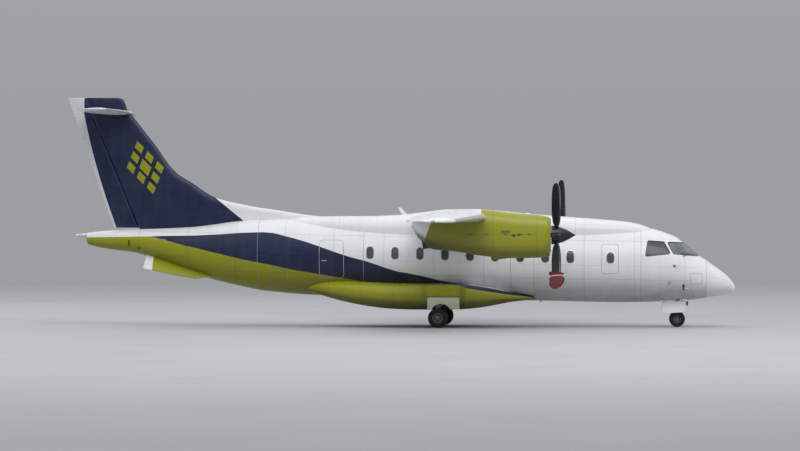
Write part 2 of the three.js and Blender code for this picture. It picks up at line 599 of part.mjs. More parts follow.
const mainLeg = cut(
  join(
    rod([MAIN_WHEEL_S, MAIN_Y, 0.52], [MAIN_WHEEL_S, MAIN_Y, MAIN_BAY.z - GAP], 0.072),
    rod([MAIN_WHEEL_S, MAIN_Y, 0.31], [MAIN_WHEEL_S, MAIN_Y, 0.56], 0.046),
    rod([MAIN_WHEEL_S, MAIN_Y - 0.078, MAIN_TYRE_R], [MAIN_WHEEL_S, MAIN_Y + 0.078, MAIN_TYRE_R], 0.078),
    rod([MAIN_WHEEL_S, MAIN_Y, 0.60], [8.74, MAIN_Y, 1.15], 0.034, 8),
    rod([MAIN_WHEEL_S + 0.05, MAIN_Y, 0.62], [MAIN_WHEEL_S + 0.13, MAIN_Y, 0.47], 0.020, 6),
    rod([MAIN_WHEEL_S + 0.13, MAIN_Y, 0.47], [MAIN_WHEEL_S + 0.04, MAIN_Y, 0.33], 0.020, 6),
  ),
  rod([MAIN_WHEEL_S, MAIN_Y - 0.2, MAIN_TYRE_R], [MAIN_WHEEL_S, MAIN_Y + 0.2, MAIN_TYRE_R], MAIN_AXLE_R + BEARING_GAP, 16),
);
const noseLeg = join(
  rod([NOSE_WHEEL_S, 0, 0.60], [NOSE_WHEEL_S, 0, NOSE_BAY.z - GAP], 0.058),
  rod([NOSE_WHEEL_S, 0, 0.68], [1.56, 0, 1.20], 0.030, 8),
  rod([NOSE_WHEEL_S, -0.13, 1.02], [NOSE_WHEEL_S, 0.13, 1.02], 0.035, 8),
);
const noseFork = cut(
  join(
    rod([NOSE_WHEEL_S, 0, 0.26], [NOSE_WHEEL_S, 0, 0.592], 0.040),
    rod([NOSE_WHEEL_S, -0.052, NOSE_TYRE_R], [NOSE_WHEEL_S, 0.052, NOSE_TYRE_R], 0.062),
    rod([NOSE_WHEEL_S + 0.03, 0, 0.56], [NOSE_WHEEL_S + 0.115, 0, 0.45], 0.016, 6),
    rod([NOSE_WHEEL_S + 0.115, 0, 0.45], [NOSE_WHEEL_S + 0.03, 0, 0.30], 0.016, 6),
  ),
  rod([NOSE_WHEEL_S, -0.2, NOSE_TYRE_R], [NOSE_WHEEL_S, 0.2, NOSE_TYRE_R], NOSE_AXLE_R + BEARING_GAP, 16),
);
// Nose gear door: hangs open beside the leg, splayed out towards its lower edge.
const NOSE_DOOR = { s0: 1.54, s1: 2.30, zTop: 0.800, zFront: 0.470, zRear: 0.415, yTop: 0.305, yLow: 0.405, t: 0.018 };
function noseDoor() {
  const { s0, s1, zTop, zFront, zRear, yTop, yLow, t } = NOSE_DOOR;
  const ring = (s, zLow) => [[X(s), yTop * M, zTop * M], [X(s), (yTop + t) * M, zTop * M],
    [X(s), (yLow + t) * M, zLow * M], [X(s), yLow * M, zLow * M]];
  return cut(loft([ring(s0, zFront), ring(s1, zRear)]), fuselage(1.0, 2.9, GAP));
}
// Main gear door: the upright panel outside the wheels, arched over the tyre.
const mainDoor = cut(
  box(8.561, 9.558, 1.936, 1.960, 0.575, 0.949),
  rod([9.135, 1.80, 0.415], [9.135, 2.10, 0.415], 0.330, 40),
);

// ------------------------------------------------------------------ assembly
const aircraft = new THREE.Group();
function add(name, geometry, color, roughness, metalness = 0) {
  const g = geometry.toNonIndexed();
  g.computeVertexNormals();
  const mesh = new THREE.Mesh(g, new THREE.MeshStandardMaterial({ color, roughness, metalness }));
  mesh.name = name;
  aircraft.add(mesh);
}
function pair(name, geometry, color, roughness, metalness = 0) {
  add(`${name}_left`, geometry, color, roughness, metalness);
  add(`${name}_right`, mirrored(geometry), color, roughness, metalness);
}
const WHITE = 0xf2f3f4, NAVY = 0x14194f, LIME = 0xb9bf10, GLASS = 0x30353a, RUBBER = 0x1b1b1c,
  METAL = 0xa7a9ac, BLACK = 0x17181b, GREY = 0x8c9095, CREAM = 0xd9d9b8;

add('radome', radome, WHITE, 0.35);
add('nose_fuselage', noseFuselage, WHITE, 0.3);
add('forward_fuselage', forwardFuselage, WHITE, 0.3);
add('center_fuselage', centerFuselage, WHITE, 0.3);
add('rear_fuselage', rearFuselage, NAVY, 0.3);
add('tail_cone', tailCone, LIME, 0.3);
add('wing_fairing', wingFairing, WHITE, 0.3);
pair('gear_fairing', gearFairing, LIME, 0.3);
pair('ventral_fin', ventralFin(), LIME, 0.3);
add('windshield', windshield, GLASS, 0.08);
pair('cockpit_side_window', sideWindow, GLASS, 0.08);
add('passenger_door', passengerDoor, WHITE, 0.3);
add('service_door', serviceDoor, NAVY, 0.3);
add('baggage_door', baggageDoor, NAVY, 0.3);

add('vertical_fin', verticalFin, NAVY, 0.3);
add('fin_cap', finCap, NAVY, 0.3);
add('rudder', rudder, NAVY, 0.35);
add('tailplane', tailplane, WHITE, 0.35);
pair('elevator', elevator, WHITE, 0.35);

pair('wing', wing, WHITE, 0.35);
pair('inner_flap', innerFlap, WHITE, 0.35);
pair('outer_flap', outerFlap, WHITE, 0.35);
pair('aileron', aileron, WHITE, 0.35);

pair('nacelle', nacelle, LIME, 0.3);
pair('engine', engine, GREY, 0.5, 0.8);
pair('exhaust', exhaust, 0x4a4540, 0.45, 0.9);

add('propeller_left', propeller(0), BLACK, 0.45);
add('propeller_right', mirrored(propeller(30)), BLACK, 0.45);
add('spinner_left', spinner(0), BLACK, 0.3);
add('spinner_right', mirrored(spinner(30)), BLACK, 0.3);

add('nose_leg', noseLeg, METAL, 0.4, 0.6);
add('nose_fork', noseFork, METAL, 0.4, 0.6);
add('nose_wheels', noseWheels, METAL, 0.45, 0.6);
add('nose_tyre_left', noseTyre(NOSE_HALF_TRACK), RUBBER, 0.85);
add('nose_tyre_right', noseTyre(-NOSE_HALF_TRACK), RUBBER, 0.85);
pair('nose_gear_door', noseDoor(), WHITE, 0.35);

pair('main_leg', mainLeg, METAL, 0.4, 0.6);
pair('main_wheels', mainWheels, METAL, 0.45, 0.6);
pair('main_tyre_outer', mainTyre(MAIN_Y + MAIN_HALF_TWIN), RUBBER, 0.85);
pair('main_tyre_inner', mainTyre(MAIN_Y - MAIN_HALF_TWIN), RUBBER, 0.85);
pair('main_gear_door', mainDoor, CREAM, 0.4);

export default aircraft;
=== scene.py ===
"""Twin-turboprop regional airliner, parked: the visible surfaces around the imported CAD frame.

Metres. +X to the nose, +Y to port, +Z up, z = 0 on the ground. S is the station: metres aft of
the nose tip, so x = 10.555 - S. The tables are the aircraft's own lines, the same as the CAD's.
"""
import math

import bpy
import numpy as np
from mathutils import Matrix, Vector


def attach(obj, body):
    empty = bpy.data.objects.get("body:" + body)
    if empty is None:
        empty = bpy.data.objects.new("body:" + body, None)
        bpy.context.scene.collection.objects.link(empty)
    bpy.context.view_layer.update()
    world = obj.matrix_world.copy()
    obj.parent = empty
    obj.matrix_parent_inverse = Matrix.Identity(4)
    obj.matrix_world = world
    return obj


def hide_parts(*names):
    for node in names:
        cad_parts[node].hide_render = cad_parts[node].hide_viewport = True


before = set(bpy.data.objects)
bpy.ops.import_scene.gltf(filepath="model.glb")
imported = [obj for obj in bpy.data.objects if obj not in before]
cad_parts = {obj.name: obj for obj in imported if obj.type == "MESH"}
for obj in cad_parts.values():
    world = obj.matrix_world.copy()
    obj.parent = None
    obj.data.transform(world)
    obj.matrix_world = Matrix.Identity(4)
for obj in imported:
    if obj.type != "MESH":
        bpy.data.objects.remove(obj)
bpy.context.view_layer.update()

LENGTH = 21.11
X0 = LENGTH / 2


def X(s):
    return X0 - s


# ============================================================ camera
CAMERA_AT = Vector((7.07, -105.0, 2.9))
CAMERA_TO = Vector((0.02, 0.0, 3.18))
camera_data = bpy.data.cameras.new("camera")
camera_data.sensor_width = 36.0
camera_data.lens = 150.0
camera_data.clip_start, camera_data.clip_end = 1.0, 2000.0
camera = bpy.data.objects.new("camera", camera_data)
camera.location = CAMERA_AT
camera.rotation_euler = (CAMERA_TO - CAMERA_AT).to_track_quat("-Z", "Y").to_euler()
bpy.context.scene.collection.objects.link(camera)
bpy.context.scene.camera = camera
bpy.context.scene.view_settings.view_transform = "Standard"      # paint colours stay as they are set

# ============================================================ the aircraft's lines
# [S, top z, bottom z, half width]
FUSELAGE = [
    [0.00, 1.225, 1.175, 0.03], [0.07, 1.385, 1.085, 0.19], [0.25, 1.605, 1.035, 0.37],
    [0.58, 1.860, 0.970, 0.57], [0.96, 2.130, 0.905, 0.75], [1.31, 2.360, 0.858, 0.88],
    [1.64, 2.655, 0.833, 0.97], [1.82, 2.800, 0.822, 1.01], [2.17, 2.950, 0.805, 1.07],
    [2.55, 3.065, 0.790, 1.12], [3.06, 3.150, 0.776, 1.17], [3.74, 3.188, 0.768, 1.21],
    [5.44, 3.224, 0.804, 1.21], [12.60, 3.375, 0.955, 1.21], [13.20, 3.388, 0.985, 1.20],
    [13.80, 3.390, 1.020, 1.175], [14.30, 3.385, 1.065, 1.14], [14.95, 3.365, 1.139, 1.07],
    [15.61, 3.327, 1.270, 0.98], [16.44, 3.220, 1.466, 0.86], [17.10, 3.142, 1.680, 0.75],
    [17.95, 3.100, 1.990, 0.60], [18.55, 3.080, 2.200, 0.50], [18.95, 3.070, 2.320, 0.445],
    [19.62, 3.035, 2.410, 0.35], [20.15, 2.990, 2.500, 0.26], [20.48, 2.950, 2.590, 0.185],
]
SPLIT = {"radome": 0.92, "nose": 2.95, "forward": 7.00, "center": 11.60, "rear": 14.95}
ROOF_FAIRING = [
    [2.45, 2.980, 2.60, 0.25], [2.90, 3.190, 2.60, 0.55], [3.40, 3.300, 2.55, 0.70],
    [4.20, 3.375, 2.50, 0.80], [5.40, 3.466, 2.45, 0.86], [6.60, 3.560, 2.45, 0.90],
    [7.40, 3.645, 2.45, 0.94], [8.20, 3.700, 2.45, 0.95], [9.00, 3.690, 2.45, 0.95],
    [9.80, 3.600, 2.45, 0.95], [10.60, 3.515, 2.45, 0.93], [11.60, 3.480, 2.50, 0.88],
    [12.60, 3.475, 2.60, 0.78], [13.60, 3.440, 2.75, 0.55], [14.30, 3.360, 2.90, 0.25],
]
# [S, top z, bottom z, outer y, inner y]
GEAR_FAIRING = [
    [6.30, 0.98, 0.86, 0.55, 0.20], [6.95, 1.10, 0.79, 1.02, 0.12], [7.35, 1.19, 0.72, 1.32, 0.06],
    [7.85, 1.28, 0.63, 1.64, 0.03], [8.40, 1.35, 0.57, 1.89, 0.02], [9.00, 1.365, 0.55, 1.95, 0.02],
    [10.00, 1.365, 0.55, 1.95, 0.02], [10.80, 1.38, 0.58, 1.87, 0.02], [11.56, 1.42, 0.67, 1.66, 0.04],
    [12.30, 1.45, 0.81, 1.36, 0.08], [12.90, 1.44, 0.97, 1.05, 0.14], [13.40, 1.38, 1.12, 0.70, 0.25],
]
NACELLE = [
    [5.72, 3.390, 2.290, 0.330], [5.78, 3.430, 2.230, 0.375], [6.10, 3.490, 2.190, 0.410],
    [6.80, 3.545, 2.182, 0.430], [7.45, 3.625, 2.215, 0.430], [7.80, 3.655, 2.255, 0.425],
    [8.20, 3.560, 2.320, 0.410], [8.60, 3.480, 2.385, 0.390], [9.26, 3.420, 2.450, 0.330],
    [9.62, 3.400, 2.700, 0.250], [9.92, 3.360, 3.150, 0.110],
]
# [y, leading edge S, trailing edge S, chord-line z, thickness ratio]
WING = [
    [0.30, 7.60, 9.88, 3.41, 0.160], [4.05, 7.60, 9.88, 3.41, 0.160], [9.75, 8.30, 9.60, 3.277, 0.130],
    [10.20, 8.62, 9.585, 3.267, 0.120], [10.49, 9.02, 9.580, 3.260, 0.100],
]
CAMBER = 0.03
TAILPLANE = [[0.0, 19.06, 20.47, 0.11], [3.25, 19.41, 20.16, 0.10], [3.35, 19.48, 20.13, 0.08]]
TAIL_Z, ELEVATOR_S, ELEVATOR_Y = 6.765, 19.93, (0.17, 3.22)
FIN = [
    [3.00, 13.20, 0.090], [3.50, 13.35, 0.100], [3.63, 14.20, 0.110], [3.80, 15.30, 0.115],
    [4.07, 16.40, 0.118], [4.52, 17.12, 0.116], [4.86, 17.65, 0.112], [5.74, 18.32, 0.100],
    [6.30, 18.76, 0.092], [6.765, 19.13, 0.086],
]
FIN_CAP = [[6.765, 19.18, 0.080], [7.10, 19.30, 0.072], [7.20, 19.36, 0.060], [7.235, 19.50, 0.045]]
RUDDER = [[3.115, 0.088], [4.80, 0.076], [6.30, 0.060], [7.10, 0.052], [7.24, 0.040]]
HINGE_LEAN = (20.60 - 18.95) / (7.24 - 3.20)
FLAP_S, INNER_FLAP_Y, OUTER_FLAP_Y = 9.24, (0.99, 3.55), (4.55, 7.10)
AILERON_Y, AILERON_S = (7.20, 9.70), (9.29, 9.275)
MOVE_GAP, DOOR_GAP = 0.010, 0.008
PROP_S, PROP_Y, PROP_Z, BLADES = 5.51, 4.05, 2.88, 6
SPINNER_TIP_S, SPINNER_BASE_S, SPINNER_R = 4.942, 5.66, 0.285
# [radius, chord, thickness, blade angle from the disc in degrees]
BLADE = [
    [0.22, 0.110, 0.090, 90], [0.42, 0.200, 0.058, 89], [0.85, 0.268, 0.034, 86],
    [1.40, 0.245, 0.022, 81], [1.73, 0.165, 0.012, 78], [1.80, 0.080, 0.009, 77],
]
NOSE_WHEEL_S, NOSE_TYRE_R, NOSE_TYRE_W, NOSE_HALF_TRACK = 1.82, 0.2475, 0.17, 0.15
MAIN_WHEEL_S, MAIN_TYRE_R, MAIN_TYRE_W, MAIN_Y, MAIN_HALF_TWIN = 9.24, 0.305, 0.195, 1.61, 0.21
PASSENGER_DOOR = (3.45, 4.15, 1.12, 2.82)
SERVICE_DOOR = (12.24, 12.97, 1.56, 2.72)
BAGGAGE_DOOR = (12.10, 13.02, 1.50, 2.85)
ROOM_Y = {"passenger": 0.28, "service": 0.62, "baggage": 0.30}
DOOR_T = 0.055
SIDE_WINDOW = [(2.745, 2.715), (2.235, 2.680), (2.015, 2.290), (2.830, 2.205)]
WINDSHIELD = [(2.155, 2.672), (1.500, 2.646), (1.050, 2.205), (1.945, 2.285)]
CABIN_WINDOWS = [5.146 + 0.781 * k for k in range(9)]


def window_z(s):
    return 2.203 + 0.0203 * (s - 5.146)


# colour boundaries of the stripe, as (S, z)
WHITE_NAVY = [
    (6.20, 0.975), (6.52, 1.027), (6.95, 1.092), (7.31, 1.158), (7.67, 1.228), (8.02, 1.287), (8.38, 1.342),
    (8.74, 1.379), (9.09, 1.435), (9.45, 1.520), (9.81, 1.604), (10.16, 1.675), (10.52, 1.738), (10.88, 1.844),
    (11.23, 1.970), (11.59, 2.083), (11.95, 2.175), (12.30, 2.280), (12.66, 2.407), (13.02, 2.534),
    (13.37, 2.654), (13.73, 2.759), (14.09, 2.851), (14.44, 2.942), (14.80, 2.970), (15.51, 2.949),
    (16.22, 2.900), (16.94, 2.865), (18.01, 2.851), (18.40, 2.835), (20.60, 2.800),
]
NAVY_LIME = [
    (6.20, 0.905), (6.52, 0.955), (6.95, 1.004), (7.31, 1.055), (7.67, 1.116), (8.02, 1.170), (8.38, 1.240),
    (8.60, 1.325), (8.74, 1.346), (9.09, 1.351), (10.52, 1.351), (10.88, 1.365), (11.23, 1.386), (11.59, 1.421),
    (11.95, 1.477), (12.30, 1.541), (12.66, 1.597), (13.02, 1.661), (13.37, 1.717), (13.73, 1.773),
    (14.09, 1.844), (14.44, 1.928), (14.80, 1.992), (15.16, 2.062), (15.51, 2.132), (15.87, 2.217),
    (16.22, 2.301), (16.58, 2.386), (16.94, 2.477), (17.30, 2.548), (17.65, 2.646), (18.01, 2.745),
    (18.22, 2.794), (18.40, 2.835), (20.60, 2.800),
]


# ============================================================ curves through tables
def pchip(xs, ys):
    """A smooth curve through the points that doesn't overshoot them."""
    xs, ys = np.array(xs, float), np.array(ys, float)
    h = np.diff(xs)
    d = np.diff(ys) / h
    m = np.zeros(len(xs))
    for i in range(1, len(xs) - 1):
        if d[i - 1] * d[i] > 0:
            w1, w2 = 2 * h[i] + h[i - 1], h[i] + 2 * h[i - 1]
            m[i] = (w1 + w2) / (w1 / d[i - 1] + w2 / d[i])
    m[0], m[-1] = d[0], d[-1]

    def f(x):
        x = np.clip(np.asarray(x, float), xs[0], xs[-1])
        i = np.clip(np.searchsorted(xs, x, side="right") - 1, 0, len(xs) - 2)
        t = (x - xs[i]) / h[i]
        return (
            ys[i] * (2 * t**3 - 3 * t**2 + 1) + ys[i + 1] * (3 * t**2 - 2 * t**3)
            + m[i] * h[i] * (t**3 - 2 * t**2 + t) + m[i + 1] * h[i] * (t**3 - t**2)
        )

    return f


def line_through(xs, ys):
    return lambda x: np.interp(x, xs, ys)


class Body:
    """A long body of rounded sections: top, bottom, half width and middle at each station."""

    def __init__(self, table, power=2.0, middle=None, key=lambda s: s):
        self.s0, self.s1, self.power, self.key = table[0][0], table[-1][0], power, key
        k = [key(r[0]) for r in table]
        self.top, self.bottom = pchip(k, [r[1] for r in table]), pchip(k, [r[2] for r in table])
        if middle == "columns":
            self.half = pchip(k, [(r[3] - r[4]) / 2 for r in table])
            self.mid = pchip(k, [(r[3] + r[4]) / 2 for r in table])
        else:
            self.half = pchip(k, [r[3] for r in table])
            self.mid = lambda u: np.zeros_like(np.asarray(u, float)) + (middle or 0.0)

    def at(self, s):
        u = self.key(s)
        t, b = self.top(u), self.bottom(u)
        return (t + b) / 2, (t - b) / 2, self.half(u), self.mid(u)

    def ring(self, s, n=96, grow=0.0, turn=0.0):
        zc, h, w, yc = (float(v) for v in self.at(s))
        a = 2 * np.pi * np.arange(n) / n + turn
        c, d = np.cos(a), np.sin(a)
        e = 2.0 / self.power
        y = np.sign(c) * np.abs(c) ** e * (w + grow) + yc
        z = np.sign(d) * np.abs(d) ** e * (h + grow) + zc
        return np.stack([np.full(n, X(s)), y, z], 1)

    def level(self, s, y, z):
        zc, h, w, yc = self.at(s)
        p = self.power
        return np.abs((y - yc) / w) ** p + np.abs((z - zc) / h) ** p

    def normal(self, p):
        """Outward normals at points near the surface, an (n, 3) array in the row frame."""
        s, y, z = X0 - p[:, 0], p[:, 1], p[:, 2]
        e = 1e-4
        gs = (self.level(s + e, y, z) - self.level(s - e, y, z)) / (2 * e)
        gy = (self.level(s, y + e, z) - self.level(s, y - e, z)) / (2 * e)
        gz = (self.level(s, y, z + e) - self.level(s, y, z - e)) / (2 * e)
        n = np.stack([-gs, gy, gz], 1)
        return n / np.maximum(np.linalg.norm(n, axis=1, keepdims=True), 1e-9)

    def point(self, s, z, side=1, off=0.0):
        """The surface point at a station and height, on one side, moved out by off."""
        zc, h, w, yc = (float(v) for v in self.at(s))
        r = max(0.0, 1 - abs((z - zc) / h) ** self.power) ** (1 / self.power)
        p = np.array([[X(s), yc + side * w * r, z]])
        n = self.normal(p)
        return Vector(p[0] + n[0] * off), Vector(n[0])


root = lambda s: np.sqrt(np.maximum(s, 0.0))
fuselage = Body(FUSELAGE, 2.0, key=root)
roof = Body(ROOF_FAIRING, 2.7)
gear_pod = Body(GEAR_FAIRING, 2.6, middle="columns")
nacelle = Body(NACELLE, 2.6, middle=PROP_Y)


# ============================================================ geometry
class Geo:
    """Collects faces for one object. Closed bodies are turned outward when they are added."""

    def __init__(self):
        self.v, self.f, self.m, self.s = [], [], [], []

    def add(self, verts, faces, mat=0, smooth=True, outward=False):
        verts = np.asarray(verts, float).reshape(-1, 3)
        if outward:
            vol = 0.0
            for f in faces:
                a = verts[f[0]]
                for k in range(1, len(f) - 1):
                    vol += float(np.dot(a, np.cross(verts[f[k]], verts[f[k + 1]])))
            if vol < 0:
                faces = [tuple(reversed(f)) for f in faces]
        n = len(self.v)
        self.v.extend(map(tuple, verts))
        self.f.extend(tuple(int(i) + n for i in f) for f in faces)
        self.m.extend([mat] * len(faces))
        self.s.extend([smooth] * len(faces))
        return self

    def loft(self, rings, mat=0, smooth=True, caps=(True, True), closed=True):
        rings = [np.asarray(r, float) for r in rings]
        n, faces = len(rings[0]), []
        for r in range(len(rings) - 1):
            for i in range(n if closed else n - 1):
                j = (i + 1) % n
                faces.append((r * n + i, r * n + j, (r + 1) * n + j, (r + 1) * n + i))
        if caps[0]:
            faces.append(tuple(reversed(range(n))))
        if caps[1]:
            faces.append(tuple((len(rings) - 1) * n + i for i in range(n)))
        return self.add(np.concatenate(rings), faces, mat, smooth, outward=closed)

    def lathe(self, profile, at, axis, n=48, mat=0, smooth=True):
        """Turns [(radius, along)] about an axis. A profile that starts and ends on the axis, or on itself, is closed."""
        axis = Vector(axis).normalized()
        u = axis.orthogonal().normalized()
        w = axis.cross(u)
        at = Vector(at)
        verts, index = [], []
        for r, l in profile:
            if r < 1e-6:
                index.append([len(verts)] * n)
                verts.append(at + axis * l)
            else:
                index.append(list(range(len(verts), len(verts) + n)))
                for i in range(n):
                    a = 2 * math.pi * i / n
                    verts.append(at + axis * l + (u * math.cos(a) + w * math.sin(a)) * r)
        faces = []
        for p in range(len(profile) - 1):
            for i in range(n):
                j = (i + 1) % n
                q = [index[p][i], index[p][j], index[p + 1][j], index[p + 1][i]]
                q = [k for t, k in enumerate(q) if k not in q[:t]]
                if len(q) > 2:
                    faces.append(tuple(q))
        return self.add([tuple(v) for v in verts], faces, mat, smooth, outward=True)

    def tube(self, points, radius, n=12, mat=0, caps=True, smooth=True):
        pts = [Vector(p) for p in points]
        radii = radius if hasattr(radius, "__len__") else [radius] * len(pts)
        t0 = (pts[1] - pts[0]).normalized()
        u = t0.orthogonal().normalized()
        rings = []
        for i, p in enumerate(pts):
            t = (pts[min(i + 1, len(pts) - 1)] - pts[max(i - 1, 0)]).normalized()
            u = (u - t * u.dot(t)).normalized()
            w = t.cross(u)
            rings.append([tuple(p + (u * math.cos(a) + w * math.sin(a)) * radii[i])
                          for a in (2 * math.pi * k / n for k in range(n))])
        return self.loft(rings, mat, smooth, (caps, caps))

    def prism(self, outline, direction, mat=0, smooth=False):
        """A closed prism over a planar outline of points, along a direction vector."""
        a = np.array([tuple(p) for p in outline], float)
        return self.loft([a, a + np.array(tuple(direction))], mat, smooth)

    def block(self, lo, hi, mat=0, bevel=0.0):
        """A box with chamfered edges between two corners, in the row frame."""
        (x0, y0, z0), (x1, y1, z1) = lo, hi
        b = min(bevel, (x1 - x0) / 2.01, (y1 - y0) / 2.01, (z1 - z0) / 2.01)

        def ring(z, i):
            return [(x0 + i, y0 + b + i, z), (x0 + b + i, y0 + i, z), (x1 - b - i, y0 + i, z), (x1 - i, y0 + b + i, z),
                    (x1 - i, y1 - b - i, z), (x1 - b - i, y1 - i, z), (x0 + b + i, y1 - i, z), (x0 + i, y1 - b - i, z)]

        if b <= 0:
            return self.loft([[(x0, y0, z), (x1, y0, z), (x1, y1, z), (x0, y1, z)] for z in (z0, z1)], mat, False)
        return self.loft([ring(z0, b * 0.7), ring(z0 + b, 0), ring(z1 - b, 0), ring(z1, b * 0.7)], mat, False)

    def mirrored(self):
        g = Geo()
        g.v = [(x, -y, z) for x, y, z in self.v]
        g.f = [tuple(reversed(f)) for f in self.f]
        g.m, g.s = list(self.m), list(self.s)
        return g

    def extend(self, other):
        n = len(self.v)
        self.v += other.v
        self.f += [tuple(i + n for i in f) for f in other.f]
        self.m += other.m
        self.s += other.s
        return self

    def object(self, name, mats=(), sharp=38.0):
        me = bpy.data.meshes.new(name)
        me.from_pydata(self.v, [], self.f)
        for m in mats:
            me.materials.append(m)
        me.polygons.foreach_set("material_index", np.array(self.m, np.int32))
        me.polygons.foreach_set("use_smooth", np.array(self.s, bool))
        me.update()
        if sharp is not None:
            me.set_sharp_from_angle(angle=math.radians(sharp))
        o = bpy.data.objects.new(name, me)
        bpy.context.scene.collection.objects.link(o)
        return o


def put(obj, body, nodes=()):
    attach(obj, body)
    if nodes:
        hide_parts(*nodes)
    return obj


def boolean(obj, tool, operation="DIFFERENCE"):
    """Cuts, joins or intersects obj with tool, a Geo or an object, and removes the tool."""
    if isinstance(tool, Geo):
        tool = tool.object("tool", sharp=None)
    for solver in ("MANIFOLD", "EXACT"):
        mod = obj.modifiers.new("cut", "BOOLEAN")
        mod.operation, mod.object, mod.solver = operation, tool, solver
        bpy.context.view_layer.update()
        me = bpy.data.meshes.new_from_object(obj.evaluated_get(bpy.context.evaluated_depsgraph_get()))
        obj.modifiers.remove(mod)
        if len(me.polygons):
            break
    old, name = obj.data, obj.data.name
    mats = list(old.materials)
    obj.data = me
    bpy.data.meshes.remove(old)
    me.name = name
    if len(me.materials) == 0:
        for m in mats:
            me.materials.append(m)
    mesh = tool.data
    bpy.data.objects.remove(tool)
    bpy.data.meshes.remove(mesh)
    return obj


def true_normals(obj, bodies, tol=0.02):
    """Gives the faces that lie on a body's own surface its exact normals, so that cuts leave no shading marks."""
    me = obj.data
    n = len(me.vertices)
    co = np.empty(n * 3)
    me.vertices.foreach_get("co", co)
    co = co.reshape(-1, 3)
    count = len(me.loops)
    loop_v = np.empty(count, np.int64)
    me.loops.foreach_get("vertex_index", loop_v)
    starts, totals = np.empty(len(me.polygons), np.int64), np.empty(len(me.polygons), np.int64)
    me.polygons.foreach_get("loop_start", starts)
    me.polygons.foreach_get("loop_total", totals)
    pn = np.empty(len(me.polygons) * 3)
    me.polygons.foreach_get("normal", pn)
    pn = pn.reshape(-1, 3)
    loop_p = np.repeat(np.arange(len(starts)), totals)
    normals = pn[loop_p].copy()
    side = np.sign(co[:, 1])
    for body, mirror in bodies:
        q = co.copy()
        if mirror:
            q[:, 1] = np.abs(q[:, 1])
        s = X0 - q[:, 0]
        on = (np.abs(body.level(s, q[:, 1], q[:, 2]) - 1) < tol) & (s > body.s0 - 1e-4) & (s < body.s1 + 1e-4)
        bn = body.normal(q)
        if mirror:
            bn[:, 1] *= side
        bad = np.add.reduceat((~on[loop_v]).astype(int), starts) > 0
        facing = (bn[loop_v] * pn[loop_p]).sum(1)
        least = np.minimum.reduceat(facing, starts)
        use = (~bad & (least > 0.6))[loop_p]
        normals[use] = bn[loop_v][use]
    me.polygons.foreach_set("use_smooth", np.ones(len(me.polygons), bool))
    me.normals_split_custom_set(normals.tolist())
    return obj


def stations(s0, s1, step):
    return list(np.linspace(s0, s1, max(2, int(math.ceil((s1 - s0) / step)) + 1)))


def body_solid(body, s0, s1, step=0.06, n=96, grow=0.0, mat=0):
    return Geo().loft([body.ring(s, n, grow) for s in stations(s0, s1, step)], mat)


def body_shell(body, s0, s1, out, inner, step=0.06, n=96, mat=0):
    """A closed tube wall between two offsets of a body."""
    st = stations(s0, s1, step)
    rings = [body.ring(s, n, out) for s in st] + [body.ring(s, n, inner) for s in reversed(st)]
    rings.append(rings[0])
    g = Geo()
    k = len(rings[0])
    verts = np.concatenate(rings[:-1])
    faces, total = [], len(rings) - 1
    for r in range(total):
        q = (r + 1) % total
        for i in range(k):
            j = (i + 1) % k
            faces.append((r * k + i, r * k + j, q * k + j, q * k + i))
    return g.add(verts, faces, mat, True, outward=True)


def rounded(points, radius, steps=5):
    """An outline of (s, z) corners with rounded corners."""
    out, n = [], len(points)
    for i in range(n):
        p, a, b = Vector(points[i]), Vector(points[i - 1]), Vector(points[(i + 1) % n])
        u, v = (a - p).normalized(), (b - p).normalized()
        half = u.angle(v) / 2
        cut = radius / math.tan(half)
        centre = p + (u + v).normalized() * (radius / math.sin(half))
        p0, p1 = p + u * cut - centre, p + v * cut - centre
        total = p0.angle(p1)
        sign = 1 if (p0.x * p1.y - p0.y * p1.x) > 0 else -1
        for k in range(steps + 1):
            t = total * k / steps * sign
            out.append((centre.x + p0.x * math.cos(t) - p0.y * math.sin(t),
                        centre.y + p0.x * math.sin(t) + p0.y * math.cos(t)))
    return out


def rect(s0, s1, z0, z1):
    return [(s0, z0), (s1, z0), (s1, z1), (s0, z1)]


def grown(points, g):
    """The outline moved outward by g."""
    area = sum(points[i - 1][0] * points[i][1] - points[i][0] * points[i - 1][1] for i in range(len(points)))
    sign, out, n = (1 if area > 0 else -1), [], len(points)
    for i in range(n):
        p, a, b = Vector(points[i]), Vector(points[i - 1]), Vector(points[(i + 1) % n])
        e0, e1 = (p - a).normalized(), (b - p).normalized()
        n0, n1 = Vector((e0.y, -e0.x)) * sign, Vector((e1.y, -e1.x)) * sign
        m = (n0 + n1).normalized()
        out.append(tuple(p + m * (g / max(0.3, m.dot(n0)))))
    return out


def side_prism(outline, y0, y1):
    return Geo().loft([[(X(s), y, z) for s, z in outline] for y in (y0, y1)], smooth=False)


def side_ring(outer, inner, y0, y1):
    """A closed frame-shaped prism between an outer and an inner outline with equal counts."""
    n = len(outer)
    verts = [(X(s), y, z) for y in (y0, y1) for o in (outer, inner) for s, z in o]
    faces = []
    for i in range(n):
        j = (i + 1) % n
        a, b, c, d = i, j, n + i, n + j
        faces += [(a, b, d, c), (2 * n + a, 2 * n + c, 2 * n + d, 2 * n + b),
                  (a, 2 * n + a, 2 * n + b, b), (c, d, 2 * n + d, 2 * n + c)]
    return Geo().add(verts, faces, 0, False, outward=True)


def union_geo(parts):
    g = Geo()
    for p in parts:
        g.extend(p)
    return g


